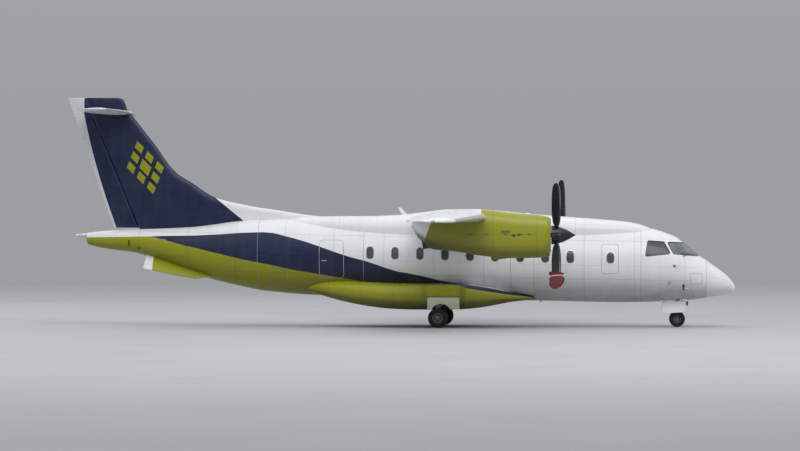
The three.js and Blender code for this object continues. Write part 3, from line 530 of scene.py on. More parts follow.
# ============================================================ materials
class Mat:
    """A node material. Socket arguments link, numbers and colours are set on the socket itself."""

    def __init__(self, name):
        self.m = bpy.data.materials.new(name)
        self.m.use_nodes = True
        self.t = self.m.node_tree
        self.t.nodes.clear()
        self.out = self.t.nodes.new("ShaderNodeOutputMaterial")
        self.b = self.t.nodes.new("ShaderNodeBsdfPrincipled")
        self.t.links.new(self.b.outputs[0], self.out.inputs[0])
        tc = self.t.nodes.new("ShaderNodeTexCoord")
        sep = self.t.nodes.new("ShaderNodeSeparateXYZ")
        self.t.links.new(tc.outputs["Object"], sep.inputs[0])
        self.P = tc.outputs["Object"]
        self.x, self.y, self.z = sep.outputs
        self._s = None

    @property
    def S(self):
        if self._s is None:
            self._s = self.math("SUBTRACT", X0, self.x)
        return self._s

    def _in(self, socket, value):
        if isinstance(value, bpy.types.NodeSocket):
            self.t.links.new(value, socket)
        elif socket.type == "RGBA" and len(value) == 3:
            socket.default_value = (*value, 1.0)
        else:
            socket.default_value = value

    def set(self, **values):
        for k, v in values.items():
            self._in(self.b.inputs[k.replace("_", " ")], v)
        return self

    def math(self, op, a, b=0.0, c=0.0, clamp=False):
        n = self.t.nodes.new("ShaderNodeMath")
        n.operation, n.use_clamp = op, clamp
        for i, v in enumerate((a, b, c)):
            if i < len(n.inputs):
                self._in(n.inputs[i], v)
        return n.outputs[0]

    def add(self, a, b): return self.math("ADD", a, b)
    def sub(self, a, b): return self.math("SUBTRACT", a, b)
    def mul(self, a, b): return self.math("MULTIPLY", a, b)
    def mx(self, a, b): return self.math("MAXIMUM", a, b)
    def mn(self, a, b): return self.math("MINIMUM", a, b)
    def inv(self, a): return self.math("SUBTRACT", 1.0, a)

    def step(self, v, lo, hi, to0=0.0, to1=1.0):
        n = self.t.nodes.new("ShaderNodeMapRange")
        n.interpolation_type = "SMOOTHSTEP"
        for i, k in enumerate((v, lo, hi, to0, to1)):
            self._in(n.inputs[i], k)
        return n.outputs[0]

    def ramp(self, v, lo, hi, to0=0.0, to1=1.0):
        n = self.t.nodes.new("ShaderNodeMapRange")
        for i, k in enumerate((v, lo, hi, to0, to1)):
            self._in(n.inputs[i], k)
        return n.outputs[0]

    def mix(self, f, a, b, kind="MIX"):
        n = self.t.nodes.new("ShaderNodeMix")
        n.data_type, n.blend_type = "RGBA", kind
        self._in(n.inputs[0], f)
        self._in(n.inputs[6], a)
        self._in(n.inputs[7], b)
        return n.outputs[2]

    def vec(self, scale, offset=(0, 0, 0)):
        n = self.t.nodes.new("ShaderNodeMapping")
        self.t.links.new(self.P, n.inputs[0])
        n.inputs["Scale"].default_value = scale
        n.inputs["Location"].default_value = offset
        return n.outputs[0]

    def noise(self, scale=1.0, detail=4.0, rough=0.55, stretch=(1, 1, 1), offset=(0, 0, 0)):
        n = self.t.nodes.new("ShaderNodeTexNoise")
        self.t.links.new(self.vec(stretch, offset), n.inputs["Vector"])
        n.inputs["Scale"].default_value = scale
        n.inputs["Detail"].default_value = detail
        n.inputs["Roughness"].default_value = rough
        return n.outputs[0]

    def cells(self, scale, stretch=(1, 1, 1), feature="F1"):
        n = self.t.nodes.new("ShaderNodeTexVoronoi")
        n.feature = feature
        self.t.links.new(self.vec(stretch), n.inputs["Vector"])
        n.inputs["Scale"].default_value = scale
        return n.outputs[0]

    def curve(self, v, points, x0, x1, y0, y1):
        """A value read from a line through points."""
        u = self.ramp(v, x0, x1)
        n = self.t.nodes.new("ShaderNodeFloatCurve")
        c = n.mapping.curves[0]
        norm = [((x - x0) / (x1 - x0), (y - y0) / (y1 - y0)) for x, y in points]
        c.points[0].location, c.points[1].location = norm[0], norm[-1]
        for p in norm[1:-1]:
            c.points.new(*p)
        for p in c.points:
            p.handle_type = "VECTOR"
        n.mapping.update()
        self.t.links.new(u, n.inputs["Value"])
        return self.ramp(n.outputs[0], 0.0, 1.0, y0, y1)

    def line(self, v, at, width):
        """1 on a thin line where v is at, 0 off it."""
        d = self.math("ABSOLUTE", self.sub(v, at))
        return self.step(d, width * 0.5, width, 1.0, 0.0)

    def every(self, v, pitch, width, phase=0.0):
        """Thin lines at each whole pitch of v."""
        d = self.math("PINGPONG", self.sub(v, phase), pitch / 2)
        return self.step(d, width * 0.5, width, 1.0, 0.0)

    def bump(self, height, strength=0.3, distance=0.01, normal=None):
        n = self.t.nodes.new("ShaderNodeBump")
        n.inputs["Strength"].default_value = strength
        n.inputs["Distance"].default_value = distance
        self._in(n.inputs["Height"], height)
        if normal is not None:
            self.t.links.new(normal, n.inputs["Normal"])
        return n.outputs[0]


WHITE, NAVY, LIME = (0.78, 0.79, 0.80), (0.0055, 0.0135, 0.056), (0.305, 0.310, 0.004)
GREY_SEAM, GRIME = (0.30, 0.31, 0.32), (0.20, 0.185, 0.16)


def grime(k, colour, belly=(1.9, 0.7), amount=0.30, seams=None, streak=0.10):
    """Dirt on paint: cloudy tone, streaks down the sides and aft, a darker belly, dirt held at the seams."""
    cloud = k.noise(0.9, 5, 0.6)
    down = k.noise(1.0, 4, 0.6, (5.0, 0.6, 0.5))
    aft = k.noise(1.0, 4, 0.6, (0.5, 4.0, 6.0))
    tone = k.add(k.ramp(cloud, 0.3, 0.7, 0.0, 0.07), k.add(k.ramp(down, 0.45, 0.8, 0.0, streak), k.ramp(aft, 0.5, 0.8, 0.0, streak)))
    low = k.step(k.z, belly[0], belly[1])
    patch = k.ramp(k.noise(2.2, 6, 0.65, (0.5, 1, 1)), 0.35, 0.75)
    tone = k.add(tone, k.mul(low, k.ramp(patch, 0, 1, amount * 0.35, amount)))
    colour = k.mix(k.mn(tone, 0.6), colour, GRIME)
    if seams is not None:
        colour = k.mix(k.mul(seams, 0.54), colour, (0.22, 0.22, 0.225), "MULTIPLY")
    return colour


def underside_painted_shade(k, colour, amount, shade_film=(0.060, 0.058, 0.034), start=-0.10, full=-0.85):
    """Painted shade: a mottled dark layer on what faces the ground at rest, darkening the underside as the shade under
    the aircraft would.
    """
    facing = k.t.nodes.new("ShaderNodeTexCoord")
    parts = k.t.nodes.new("ShaderNodeSeparateXYZ")
    k.t.links.new(facing.outputs["Normal"], parts.inputs[0])
    under = k.step(parts.outputs[2], start, full)
    under = k.mul(under, k.ramp(k.noise(1.4, 5, 0.6, (0.4, 1.5, 1)), 0.25, 0.7, 0.65, 1.0))
    return k.mix(k.mul(under, amount), colour, shade_film)


def paint_finish(k, colour, rough=0.30, seams=None, wave=0.05):
    patchy = k.noise(3.0, 4, 0.6)
    k.set(Base_Color=colour, Roughness=k.ramp(patchy, 0.3, 0.7, rough - 0.07, rough + 0.12))
    k.b.inputs["Coat Weight"].default_value = 0.08
    k.b.inputs["Coat Roughness"].default_value = 0.10
    k.b.inputs["Specular IOR Level"].default_value = 0.24
    height = k.noise(1.3, 2, 0.5)
    n = k.bump(height, wave, 0.02)
    if seams is not None:
        n = k.bump(k.inv(seams), 0.35, 0.002, n)
    k.set(Normal=n)
    return k.m


def livery():
    k = Mat("livery_paint")
    top = k.curve(k.S, WHITE_NAVY, 6.20, 20.60, 0.5, 3.5)
    low = k.curve(k.S, NAVY_LIME, 6.20, 20.60, 0.5, 3.5)
    aft = k.step(k.S, 6.22, 6.40)
    edge = 0.006
    under_white = k.mul(aft, k.step(k.sub(top, k.z), -edge, edge))
    under_navy = k.mul(aft, k.step(k.sub(low, k.z), -edge, edge))
    colour = k.mix(under_white, WHITE, NAVY)
    colour = k.mix(under_navy, colour, LIME)
    # skin joints: hoops, long laps, and dots of the fastener rows beside them
    hoops = k.every(k.S, 1.562, 0.006, 0.03)
    slope = k.sub(k.z, k.mul(k.S, 0.0203))
    laps = k.mx(k.line(slope, 2.62, 0.005), k.mx(k.line(slope, 1.42, 0.005), k.line(slope, 1.84, 0.004)))
    seams = k.mx(hoops, laps)
    rivets = k.mul(k.every(k.z, 0.045, 0.008), k.mx(k.line(k.math("PINGPONG", k.sub(k.S, 0.03), 0.781), 0.022, 0.006),
                                                     k.line(k.math("PINGPONG", k.sub(k.S, 0.03), 0.781), 0.77, 0.006)))
    seams = k.mx(seams, k.mul(rivets, 0.4))
    nose = k.step(k.S, 0.9, 1.4)
    seams = k.mul(seams, nose)
    colour = grime(k, colour, (1.75, 0.85), 0.32, seams, 0.07)
    # painted shade on the downward-facing skin
    colour = underside_painted_shade(k, colour, 0.34)
    return paint_finish(k, colour, 0.29, seams)


def radome_paint():
    k = Mat("radome_paint")
    # rain-erosion scuffs near the tip, and the thin diverter strips that run back from it
    ang = k.math("ARCTAN2", k.y, k.sub(k.z, 1.30))
    strips = k.mul(k.every(ang, math.pi / 4, 0.035, math.pi / 8), k.mul(k.step(k.S, 0.10, 0.14), k.step(k.S, 0.80, 0.84, 1.0, 0.0)))
    chips = k.mul(k.step(k.noise(60, 3, 0.7), 0.62, 0.68), k.step(k.S, 0.30, 0.05))
    colour = grime(k, WHITE, (1.4, 0.9), 0.20)
    colour = k.mix(k.mul(strips, 0.25), colour, (0.42, 0.43, 0.44))
    colour = k.mix(k.mul(chips, 0.6), colour, (0.35, 0.34, 0.32))
    return paint_finish(k, colour, 0.34)


def white_paint(name="white_paint", span_lines=False, chord_lines=(), low=None):
    k = Mat(name)
    ay = k.math("ABSOLUTE", k.y)
    seams = None
    if span_lines:
        seams = k.every(ay, 0.92, 0.006, 0.30)
        for s in chord_lines:
            seams = k.mx(seams, k.line(k.S, s, 0.006))
        rivets = k.mul(k.every(k.S, 0.05, 0.008), k.line(k.math("PINGPONG", k.sub(ay, 0.30), 0.46), 0.022, 0.006))
        seams = k.mx(seams, k.mul(rivets, 0.35))
    colour = grime(k, WHITE, low or (0.4, 0.2), 0.25, seams, 0.09)
    return paint_finish(k, colour, 0.30, seams), k


def wing_paint():
    k = Mat("wing_paint")
    ay = k.math("ABSOLUTE", k.y)
    seams = k.every(ay, 0.92, 0.006, 0.30)
    for s in (8.02, 8.86):
        seams = k.mx(seams, k.line(k.S, s, 0.006))
    rivets = k.mul(k.every(k.S, 0.05, 0.008), k.line(k.math("PINGPONG", k.sub(ay, 0.30), 0.46), 0.022, 0.006))
    seams = k.mx(seams, k.mul(rivets, 0.35))
    colour = WHITE
    # soot and oil film behind the engines
    behind = k.step(k.math("ABSOLUTE", k.sub(ay, PROP_Y)), 0.15, 0.75, 1.0, 0.0)
    soot = k.mul(k.mul(behind, k.step(k.S, 8.9, 9.9)), k.ramp(k.noise(1.4, 5, 0.6, (0.4, 3, 1)), 0.3, 0.7))
    colour = grime(k, colour, (0.4, 0.2), 0.25, seams, 0.10)
    colour = k.mix(k.mul(soot, 0.55), colour, (0.09, 0.085, 0.08))
    return paint_finish(k, colour, 0.31, seams)


def fin_paint():
    k = Mat("fin_paint")
    # white dorsal part ahead of the slanted edge
    ahead = k.sub(k.add(15.54, k.mul(k.sub(k.z, 3.37), 1.2286)), k.S)
    white = k.mul(k.step(ahead, -0.006, 0.006), k.step(k.z, 4.20, 4.15))
    # plain lattice of lime diamonds in three rows
    cx, cz, wide, tall = 18.62, 5.02, 0.45, 0.64
    u = k.math("DIVIDE", k.sub(k.S, k.add(cx, k.mul(k.sub(k.z, cz), 0.30))), wide)
    v = k.math("DIVIDE", k.sub(k.z, cz), tall)
    a, b = k.add(u, v), k.sub(u, v)
    ia, ib = k.math("ROUND", a), k.math("ROUND", b)
    fa, fb = k.math("ABSOLUTE", k.sub(a, ia)), k.math("ABSOLUTE", k.sub(b, ib))
    near = k.mx(k.math("ABSOLUTE", ia), k.math("ABSOLUTE", ib))
    size = k.sub(0.43, k.mul(k.mx(k.math("ABSOLUTE", ia), k.math("ABSOLUTE", ib)), 0.11))
    diamond = k.mul(k.step(k.sub(size, k.mx(fa, fb)), -0.008, 0.008), k.step(near, 1.4, 1.6, 1.0, 0.0))
    colour = k.mix(white, NAVY, WHITE)
    colour = k.mix(diamond, colour, LIME)
    seams = k.mx(k.every(k.z, 0.86, 0.006, 3.2), k.line(k.sub(k.S, k.mul(k.z, HINGE_LEAN)), 18.95 - 3.2 * HINGE_LEAN - 0.32, 0.006))
    colour = grime(k, colour, (0.4, 0.2), 0.2, seams, 0.05)
    return paint_finish(k, colour, 0.27, seams)


def rudder_paint():
    k = Mat("rudder_paint")
    end = k.add(19.68, k.mul(k.sub(k.z, 3.22), (21.11 - 19.68) / (7.24 - 3.22)))
    back = k.sub(end, k.S)
    width = k.add(0.085, k.mul(k.math("POWER", k.ramp(k.z, 3.6, 6.75), 2.0), 0.26))
    strip = k.step(k.sub(width, back), -0.006, 0.006)
    strip = k.mx(strip, k.mul(k.step(k.z, 6.765, 6.775), k.step(k.S, 20.574, 20.586)))
    colour = k.mix(strip, NAVY, (0.62, 0.64, 0.66))
    seams = k.every(k.z, 0.66, 0.006, 3.3)
    colour = grime(k, colour, (0.4, 0.2), 0.2, seams, 0.06)
    return paint_finish(k, colour, 0.30, seams)


def lime_paint():
    k = Mat("lime_paint")
    # the hatch outlines of the pods and their dark wheel-well edge
    seams = k.mx(k.every(k.S, 1.04, 0.006, 8.55), k.line(k.z, 1.345, 0.005))
    # soft dark bands down the front and rear edges of the hatch
    ends = k.mx(k.mul(k.step(k.S, 8.34, 8.43), k.step(k.S, 8.55, 8.52)), k.mul(k.step(k.S, 9.61, 9.66), k.step(k.S, 9.84, 9.70, 0.0, 0.7)))
    dark_edge_bands = k.mul(ends, k.ramp(k.noise(2.6, 5, 0.6, (1, 1, 0.6)), 0.25, 0.65, 0.55, 1.0))
    spray = k.mul(k.step(k.math("ABSOLUTE", k.sub(k.S, 9.9)), 0.2, 1.9, 1.0, 0.0), k.step(k.z, 1.15, 0.60))
    # ahead of the wheels the stripe crosses the pod: white crest, thin navy line
    top = k.curve(k.S, WHITE_NAVY, 6.20, 20.60, 0.5, 3.5)
    low = k.curve(k.S, NAVY_LIME, 6.20, 20.60, 0.5, 3.5)
    ahead = k.step(k.S, 9.15, 9.05)
    colour = k.mix(k.mul(ahead, k.step(k.sub(k.z, low), -0.006, 0.006)), LIME, NAVY)
    colour = k.mix(k.mul(ahead, k.step(k.sub(k.z, top), -0.006, 0.006)), colour, WHITE)
    colour = grime(k, colour, (1.2, 0.55), 0.35, seams, 0.08)
    wet = k.mul(spray, k.ramp(k.noise(2.0, 6, 0.65, (0.5, 1, 1.4)), 0.35, 0.65))
    colour = k.mix(k.mul(wet, 0.5), colour, (0.10, 0.095, 0.06))
    colour = k.mix(k.mul(dark_edge_bands, 0.42), colour, (0.075, 0.075, 0.030))
    # painted shade on the undersides of the pods
    colour = underside_painted_shade(k, colour, 0.62, (0.045, 0.045, 0.018), 0.25, -0.70)
    return paint_finish(k, colour, 0.30, seams)


def nacelle_paint():
    k = Mat("nacelle_paint")
    ay = k.math("ABSOLUTE", k.y)
    # white where the nacelle stands above the wing, and at its tail
    over = k.mul(k.step(k.S, 7.784, 7.796), k.step(k.z, 3.425, 3.435))
    white = k.mx(over, k.step(k.sub(k.S, k.add(9.40, k.mul(k.sub(3.0, k.z), 0.35))), -0.01, 0.01))
    colour = k.mix(white, LIME, WHITE)
    cowl = k.mx(k.line(k.S, 6.10, 0.008), k.mx(k.line(k.S, 7.42, 0.008), k.line(k.S, 8.30, 0.008)))
    split = k.mul(k.mx(k.line(k.z, 2.90, 0.008), k.line(k.z, 2.36, 0.007)), k.step(k.S, 6.10, 6.11))
    seams = k.mx(cowl, k.mul(split, k.step(k.S, 8.30, 8.29)))
    # drain marks and heat stains low on the cowl
    # soot on the lower aft cowl and along its lower edge: real exhaust soot, laid on dark enough to stand in for the
    # shade under the wing and the cowl as well
    soot = k.mul(k.step(k.S, 8.35, 9.5), k.step(k.z, 3.0, 2.5))
    soot = k.mul(soot, k.ramp(k.noise(1.6, 5, 0.6, (0.5, 2, 2)), 0.25, 0.6))
    low_edge = k.step(k.sub(k.z, k.add(2.40, k.mul(k.mx(k.sub(k.S, 8.9), 0.0), 0.55))), 0.16, 0.02)
    soot = k.mx(soot, k.mul(low_edge, k.step(k.S, 8.6, 9.25)))
    oil = k.mul(k.step(k.z, 2.60, 2.25), k.ramp(k.noise(1.0, 5, 0.6, (0.5, 5, 5)), 0.45, 0.75))
    colour = grime(k, colour, (0.4, 0.2), 0.2, seams, 0.10)
    # painted shadow of the wing on the cowl below and behind its leading edge, kept off the white top
    shade_film = k.mul(k.mul(k.step(k.S, 7.35, 7.80), k.step(k.z, 3.42, 3.05)), k.ramp(k.noise(1.2, 5, 0.6, (0.4, 1.6, 1.6)), 0.25, 0.75, 0.55, 1.0))
    colour = k.mix(k.mul(shade_film, k.mul(0.40, k.inv(white))), colour, (0.060, 0.060, 0.032))
    colour = k.mix(k.mul(oil, 0.40), colour, (0.085, 0.080, 0.040))
    colour = k.mix(k.mul(soot, 0.70), colour, (0.045, 0.04, 0.035))
    # painted shade on the underside of the nacelle
    colour = underside_painted_shade(k, colour, 0.60, (0.045, 0.045, 0.020), 0.10, -0.70)
    made = paint_finish(k, colour, 0.29, seams)
    k.b.inputs["Coat Weight"].default_value = 0.38
    k.b.inputs["Coat Roughness"].default_value = 0.30
    return made


def ventral_paint():
    k = Mat("ventral_paint")
    tip = k.step(k.S, 18.32, 18.34)
    colour = k.mix(tip, LIME, WHITE)
    colour = grime(k, colour, (1.9, 1.4), 0.25, None, 0.08)
    return paint_finish(k, colour, 0.32)


def cream_paint():
    k = Mat("gear_door_paint")
    colour = grime(k, (0.66, 0.68, 0.50), (0.95, 0.5), 0.45, None, 0.12)
    chips = k.step(k.noise(38, 3, 0.7), 0.66, 0.72)
    colour = k.mix(k.mul(chips, 0.5), colour, (0.20, 0.20, 0.19))
    return paint_finish(k, colour, 0.36)


def gear_metal(name="gear_paint", base=(0.46, 0.475, 0.49), rough=0.42, metal=0.0):
    k = Mat(name)
    dirt = k.ramp(k.noise(14, 5, 0.65), 0.42, 0.75)
    drip = k.ramp(k.noise(9, 4, 0.6, (3, 3, 0.4)), 0.5, 0.8)
    colour = k.mix(k.mul(k.mx(dirt, drip), 0.55), base, (0.075, 0.065, 0.055))
    chips = k.step(k.noise(70, 2, 0.6), 0.67, 0.72)
    colour = k.mix(chips, colour, (0.50, 0.50, 0.50))
    k.set(Base_Color=colour, Roughness=k.ramp(k.noise(25, 4), 0.3, 0.7, rough - 0.12, rough + 0.16),
          Normal=k.bump(k.noise(55, 4), 0.12, 0.004))
    k.b.inputs["Metallic"].default_value = metal
    return k.m


def bright_metal(name, base=(0.62, 0.63, 0.65), rough=0.22, scratch=(1, 1, 1), scale=40):
    k = Mat(name)
    lines = k.noise(scale, 5, 0.6, scratch)
    colour = k.mix(k.ramp(lines, 0.35, 0.7, 0.0, 0.45), base, tuple(c * 0.55 for c in base))
    k.set(Base_Color=colour, Roughness=k.ramp(lines, 0.3, 0.7, rough - 0.08, rough + 0.14), Normal=k.bump(lines, 0.06, 0.002))
    k.b.inputs["Metallic"].default_value = 1.0
    return k.m


def exhaust_steel():
    k = Mat("exhaust_steel")
    heat = k.noise(5, 5, 0.6, (1, 2, 2))
    hot = k.step(k.S, 9.30, 9.62)
    colour = k.mix(k.ramp(heat, 0.3, 0.7), (0.17, 0.13, 0.10), (0.10, 0.085, 0.10))
    colour = k.mix(k.mul(hot, 0.85), colour, (0.018, 0.016, 0.015))
    k.set(Base_Color=colour, Roughness=k.ramp(heat, 0.3, 0.7, 0.35, 0.6), Normal=k.bump(k.noise(60, 4), 0.12, 0.003))
    k.b.inputs["Metallic"].default_value = 0.85
    return k.m


def rubber(name, base=(0.016, 0.016, 0.017), rough=0.75, dust=0.35):
    k = Mat(name)
    d = k.ramp(k.noise(18, 6, 0.65), 0.4, 0.75)
    colour = k.mix(k.mul(d, dust), base, (0.12, 0.105, 0.085))
    k.set(Base_Color=colour, Roughness=k.ramp(k.noise(40, 3), 0.3, 0.7, rough - 0.1, rough + 0.15),
          Normal=k.bump(k.noise(90, 4), 0.25, 0.003))
    return k.m


def tyre_rubber(name, wheel_s, wheel_z, radius):
    k = Mat(name)
    dx, dz = k.sub(k.S, wheel_s), k.sub(k.z, wheel_z)
    r = k.math("SQRT", k.add(k.mul(dx, dx), k.mul(dz, dz)))
    tread = k.step(r, radius * 0.93, radius * 0.985)
    rings = k.mx(k.line(r, radius * 0.70, 0.004), k.line(r, radius * 0.86, 0.003))
    d = k.ramp(k.noise(16, 6, 0.65), 0.35, 0.75)
    colour = k.mix(k.mul(d, 0.4), (0.012, 0.012, 0.013), (0.075, 0.069, 0.060))
    colour = k.mix(k.mul(tread, k.ramp(k.noise(22, 5), 0.35, 0.7, 0.25, 0.75)), colour, (0.055, 0.052, 0.048))
    k.set(Base_Color=colour, Roughness=k.ramp(k.noise(30, 4), 0.3, 0.7, 0.66, 0.92))
    height = k.add(k.mul(rings, 0.6), k.mul(k.noise(80, 4), 0.25))
    k.set(Normal=k.bump(height, 0.35, 0.004))
    k.b.inputs["Specular IOR Level"].default_value = 0.25
    return k.m


def boot_rubber(name, base, dust):
    k = Mat(name)
    ay = k.math("ABSOLUTE", k.y)
    tubes = k.every(ay, 0.055, 0.010)
    d = k.ramp(k.noise(5, 6, 0.6), 0.4, 0.8)
    colour = k.mix(k.mul(d, 0.35), base, dust)
    k.set(Base_Color=colour, Roughness=k.ramp(k.noise(20, 4), 0.3, 0.7, 0.42, 0.66), Normal=k.bump(tubes, 0.15, 0.004))
    return k.m


def blade_black():
    k = Mat("blade_paint")
    ay = k.sub(k.math("ABSOLUTE", k.y), PROP_Y)
    dz = k.sub(k.z, PROP_Z)
    r = k.math("SQRT", k.add(k.mul(ay, ay), k.mul(dz, dz)))
    wear = k.ramp(k.noise(9, 5, 0.65), 0.4, 0.75)
    colour = k.mix(k.mul(wear, 0.28), (0.012, 0.012, 0.014), (0.055, 0.053, 0.050))
    # a rubbed band near the tip and fine scratches along the blade
    tip = k.mul(k.step(r, 1.55, 1.80), k.ramp(k.noise(50, 3, 0.7), 0.5, 0.75))
    colour = k.mix(k.mul(tip, 0.35), colour, (0.16, 0.16, 0.16))
    k.set(Base_Color=colour, Roughness=k.ramp(k.noise(24, 4), 0.3, 0.7, 0.34, 0.54), Normal=k.bump(k.noise(45, 4), 0.06, 0.003))
    k.b.inputs["Specular IOR Level"].default_value = 0.24
    return k.m


def spinner_black():
    k = Mat("spinner_paint")
    d = k.ramp(k.noise(12, 6, 0.65), 0.4, 0.75)
    colour = k.mix(k.mul(d, 0.25), (0.012, 0.014, 0.030), (0.07, 0.068, 0.066))
    colour = k.mix(k.line(k.S, 5.40, 0.005), colour, (0.10, 0.10, 0.10))
    k.set(Base_Color=colour, Roughness=k.ramp(k.noise(30, 4), 0.3, 0.7, 0.20, 0.36), Normal=k.bump(k.noise(20, 3), 0.05, 0.004))
    k.b.inputs["Specular IOR Level"].default_value = 0.30
    k.b.inputs["Coat Weight"].default_value = 0.12
    k.b.inputs["Coat Roughness"].default_value = 0.15
    return k.m


def glass_painted_with_interior_shade(name="window_glass", base=(0.034, 0.038, 0.044), pale=(0.092, 0.102, 0.112), shine=0.55):
    # opaque panes: their dark colour stands in for the unlit interior seen through real glass, painted shade; the paler
    # haze varies the tone
    k = Mat(name)
    haze = k.ramp(k.noise(2.6, 4, 0.6), 0.3, 0.7)
    k.set(Base_Color=k.mix(haze, base, pale), Roughness=k.ramp(k.noise(7, 4), 0.3, 0.7, 0.16, 0.26))
    k.b.inputs["Specular IOR Level"].default_value = shine
    k.b.inputs["Coat Weight"].default_value = 0.25 if shine > 0.5 else 0.10
    k.b.inputs["Coat Roughness"].default_value = 0.08
    return k.m


def seal(name="door_seal", base=(0.045, 0.046, 0.050)):
    k = Mat(name)
    d = k.ramp(k.noise(20, 5), 0.35, 0.75)
    k.set(Base_Color=k.mix(k.mul(d, 0.5), base, (0.13, 0.125, 0.12)), Roughness=k.ramp(k.noise(40, 3), 0.3, 0.7, 0.55, 0.8),
          Normal=k.bump(k.noise(60, 3), 0.1, 0.002))
    return k.m


def seam_grey():
    k = Mat("seam_line")
    d = k.ramp(k.noise(9, 5), 0.35, 0.75)
    k.set(Base_Color=k.mix(d, (0.22, 0.225, 0.23), (0.34, 0.345, 0.35)), Roughness=k.ramp(k.noise(30, 3), 0.3, 0.7, 0.45, 0.7))
    return k.m


def lining(name, base, scale=6.0, rough=0.55):
    k = Mat(name)
    d = k.ramp(k.noise(scale, 6, 0.65), 0.35, 0.8)
    colour = k.mix(k.mul(d, 0.30), base, tuple(c * 0.45 for c in base))
    panels = k.mx(k.every(k.z, 0.42, 0.008, 1.30), k.every(k.S, 0.36, 0.008, 3.44))
    colour = k.mix(k.mul(panels, 0.6), colour, tuple(c * 0.25 for c in base))
    k.set(Base_Color=colour, Roughness=k.ramp(k.noise(30, 4), 0.3, 0.7, rough - 0.1, rough + 0.15),
          Normal=k.bump(k.noise(120, 3), 0.12, 0.002))
    return k.m


def ribbed_floor():
    k = Mat("entry_floor")
    ribs = k.every(k.y, 0.03, 0.008)
    d = k.ramp(k.noise(12, 6, 0.65), 0.35, 0.75)
    colour = k.mix(k.mul(d, 0.4), (0.07, 0.072, 0.078), (0.16, 0.15, 0.13))
    k.set(Base_Color=colour, Roughness=k.ramp(d, 0, 1, 0.55, 0.8), Normal=k.bump(ribs, 0.5, 0.004))
    return k.m


def lens(name, base, glow=0.0):
    k = Mat(name)
    ribs = k.cells(60)
    k.set(Base_Color=k.mix(k.ramp(ribs, 0, 0.8), base, tuple(min(1, c * 1.6 + 0.02) for c in base)), Roughness=k.ramp(ribs, 0, 1, 0.06, 0.2),
          Normal=k.bump(ribs, 0.2, 0.002))
    k.b.inputs["Coat Weight"].default_value = 0.7
    k.b.inputs["Coat Roughness"].default_value = 0.03
    if glow:
        k.b.inputs["Emission Color"].default_value = (*base, 1)
        k.b.inputs["Emission Strength"].default_value = glow
    return k.m


M_LIVERY, M_RADOME = livery(), radome_paint()
M_WHITE = white_paint("white_paint")[0]
M_ROOF = white_paint("roof_fairing_paint", True, (5.0, 7.3, 10.1, 12.4))[0]
M_TAIL = white_paint("tailplane_paint", True, (19.62,))[0]
M_WING, M_FIN, M_RUDDER = wing_paint(), fin_paint(), rudder_paint()
M_LIME, M_NACELLE, M_VENTRAL, M_CREAM = lime_paint(), nacelle_paint(), ventral_paint(), cream_paint()
M_GEAR = gear_metal()
M_WHEEL = gear_metal("wheel_paint", (0.125, 0.128, 0.133), 0.46)
M_ENGINE = gear_metal("engine_metal", (0.28, 0.285, 0.29), 0.45, 0.6)
M_CHROME = bright_metal("oleo_chrome", (0.72, 0.73, 0.75), 0.12, (4, 4, 0.5), 30)
M_ALU = bright_metal("bare_aluminium", (0.60, 0.61, 0.63), 0.28)
M_LIP = bright_metal("intake_lip_metal", (0.66, 0.66, 0.67), 0.25, (1, 3, 3), 22)
M_EROSION = gear_metal("erosion_strip", (0.11, 0.11, 0.115), 0.42, 0.5)
M_EXHAUST = exhaust_steel()
M_BOOT = boot_rubber("deicing_boot", (0.40, 0.405, 0.41), (0.26, 0.25, 0.235))
M_HEATER = boot_rubber("blade_heater_rubber", (0.022, 0.022, 0.024), (0.10, 0.095, 0.09))
M_BLADE, M_SPINNER = blade_black(), spinner_black()
M_MAIN_TYRE = tyre_rubber("main_tyre_rubber", MAIN_WHEEL_S, MAIN_TYRE_R, MAIN_TYRE_R)
M_NOSE_TYRE = tyre_rubber("nose_tyre_rubber", NOSE_WHEEL_S, NOSE_TYRE_R, NOSE_TYRE_R)
M_RUBBER = rubber("black_rubber")
M_GLASS = glass_painted_with_interior_shade()
M_COCKPIT = glass_painted_with_interior_shade("cockpit_side_glass", (0.030, 0.035, 0.036), (0.085, 0.095, 0.095), 0.34)
M_FRONT = glass_painted_with_interior_shade("windshield_glass", (0.070, 0.080, 0.082), (0.155, 0.172, 0.172))
M_SEAL, M_SEAM = seal(), seam_grey()
# near-black material laid in bays, ducts, pipe ends, rim holes and vents: painted shade of deep recesses
M_RECESS_SHADE = seal("recess_painted_shade", (0.030, 0.032, 0.034))
M_LINING = lining("cabin_lining", (0.62, 0.60, 0.54))
M_BAG = lining("hold_lining", (0.40, 0.41, 0.40), 9.0, 0.6)
M_GALLEY = lining("galley_metal", (0.50, 0.51, 0.52), 7.0, 0.4)
M_CURTAIN = lining("curtain_cloth", (0.03, 0.05, 0.16), 30.0, 0.8)
M_STEP = ribbed_floor()
M_RED = lens("red_lens", (0.45, 0.01, 0.008), 0.15)
M_GREEN = lens("green_lens", (0.01, 0.30, 0.08), 0.15)
M_CLEAR = lens("clear_lens", (0.55, 0.57, 0.60))

# ============================================================ fuselage
DOOR_R = 0.095
P_DOOR = rounded(rect(*PASSENGER_DOOR), DOOR_R)
B_DOOR = rounded(rect(*BAGGAGE_DOOR), DOOR_R)
S_DOOR = rounded(rect(*SERVICE_DOOR), DOOR_R)
WIN_W, WIN_H, WIN_R = 0.245, 0.405, 0.115
cabin_outlines = [rounded(rect(s - WIN_W / 2, s + WIN_W / 2, window_z(s) - WIN_H / 2, window_z(s) + WIN_H / 2), WIN_R, 6)
                  for s in CABIN_WINDOWS]
exit_window = rounded(rect(3.90 - 0.125, 3.90 + 0.125, 2.175 - 0.185, 2.175 + 0.185), 0.115, 6)
side_glass = rounded(SIDE_WINDOW, 0.055)
front_glass = rounded(WINDSHIELD, 0.050)
SKIN_T = 0.045


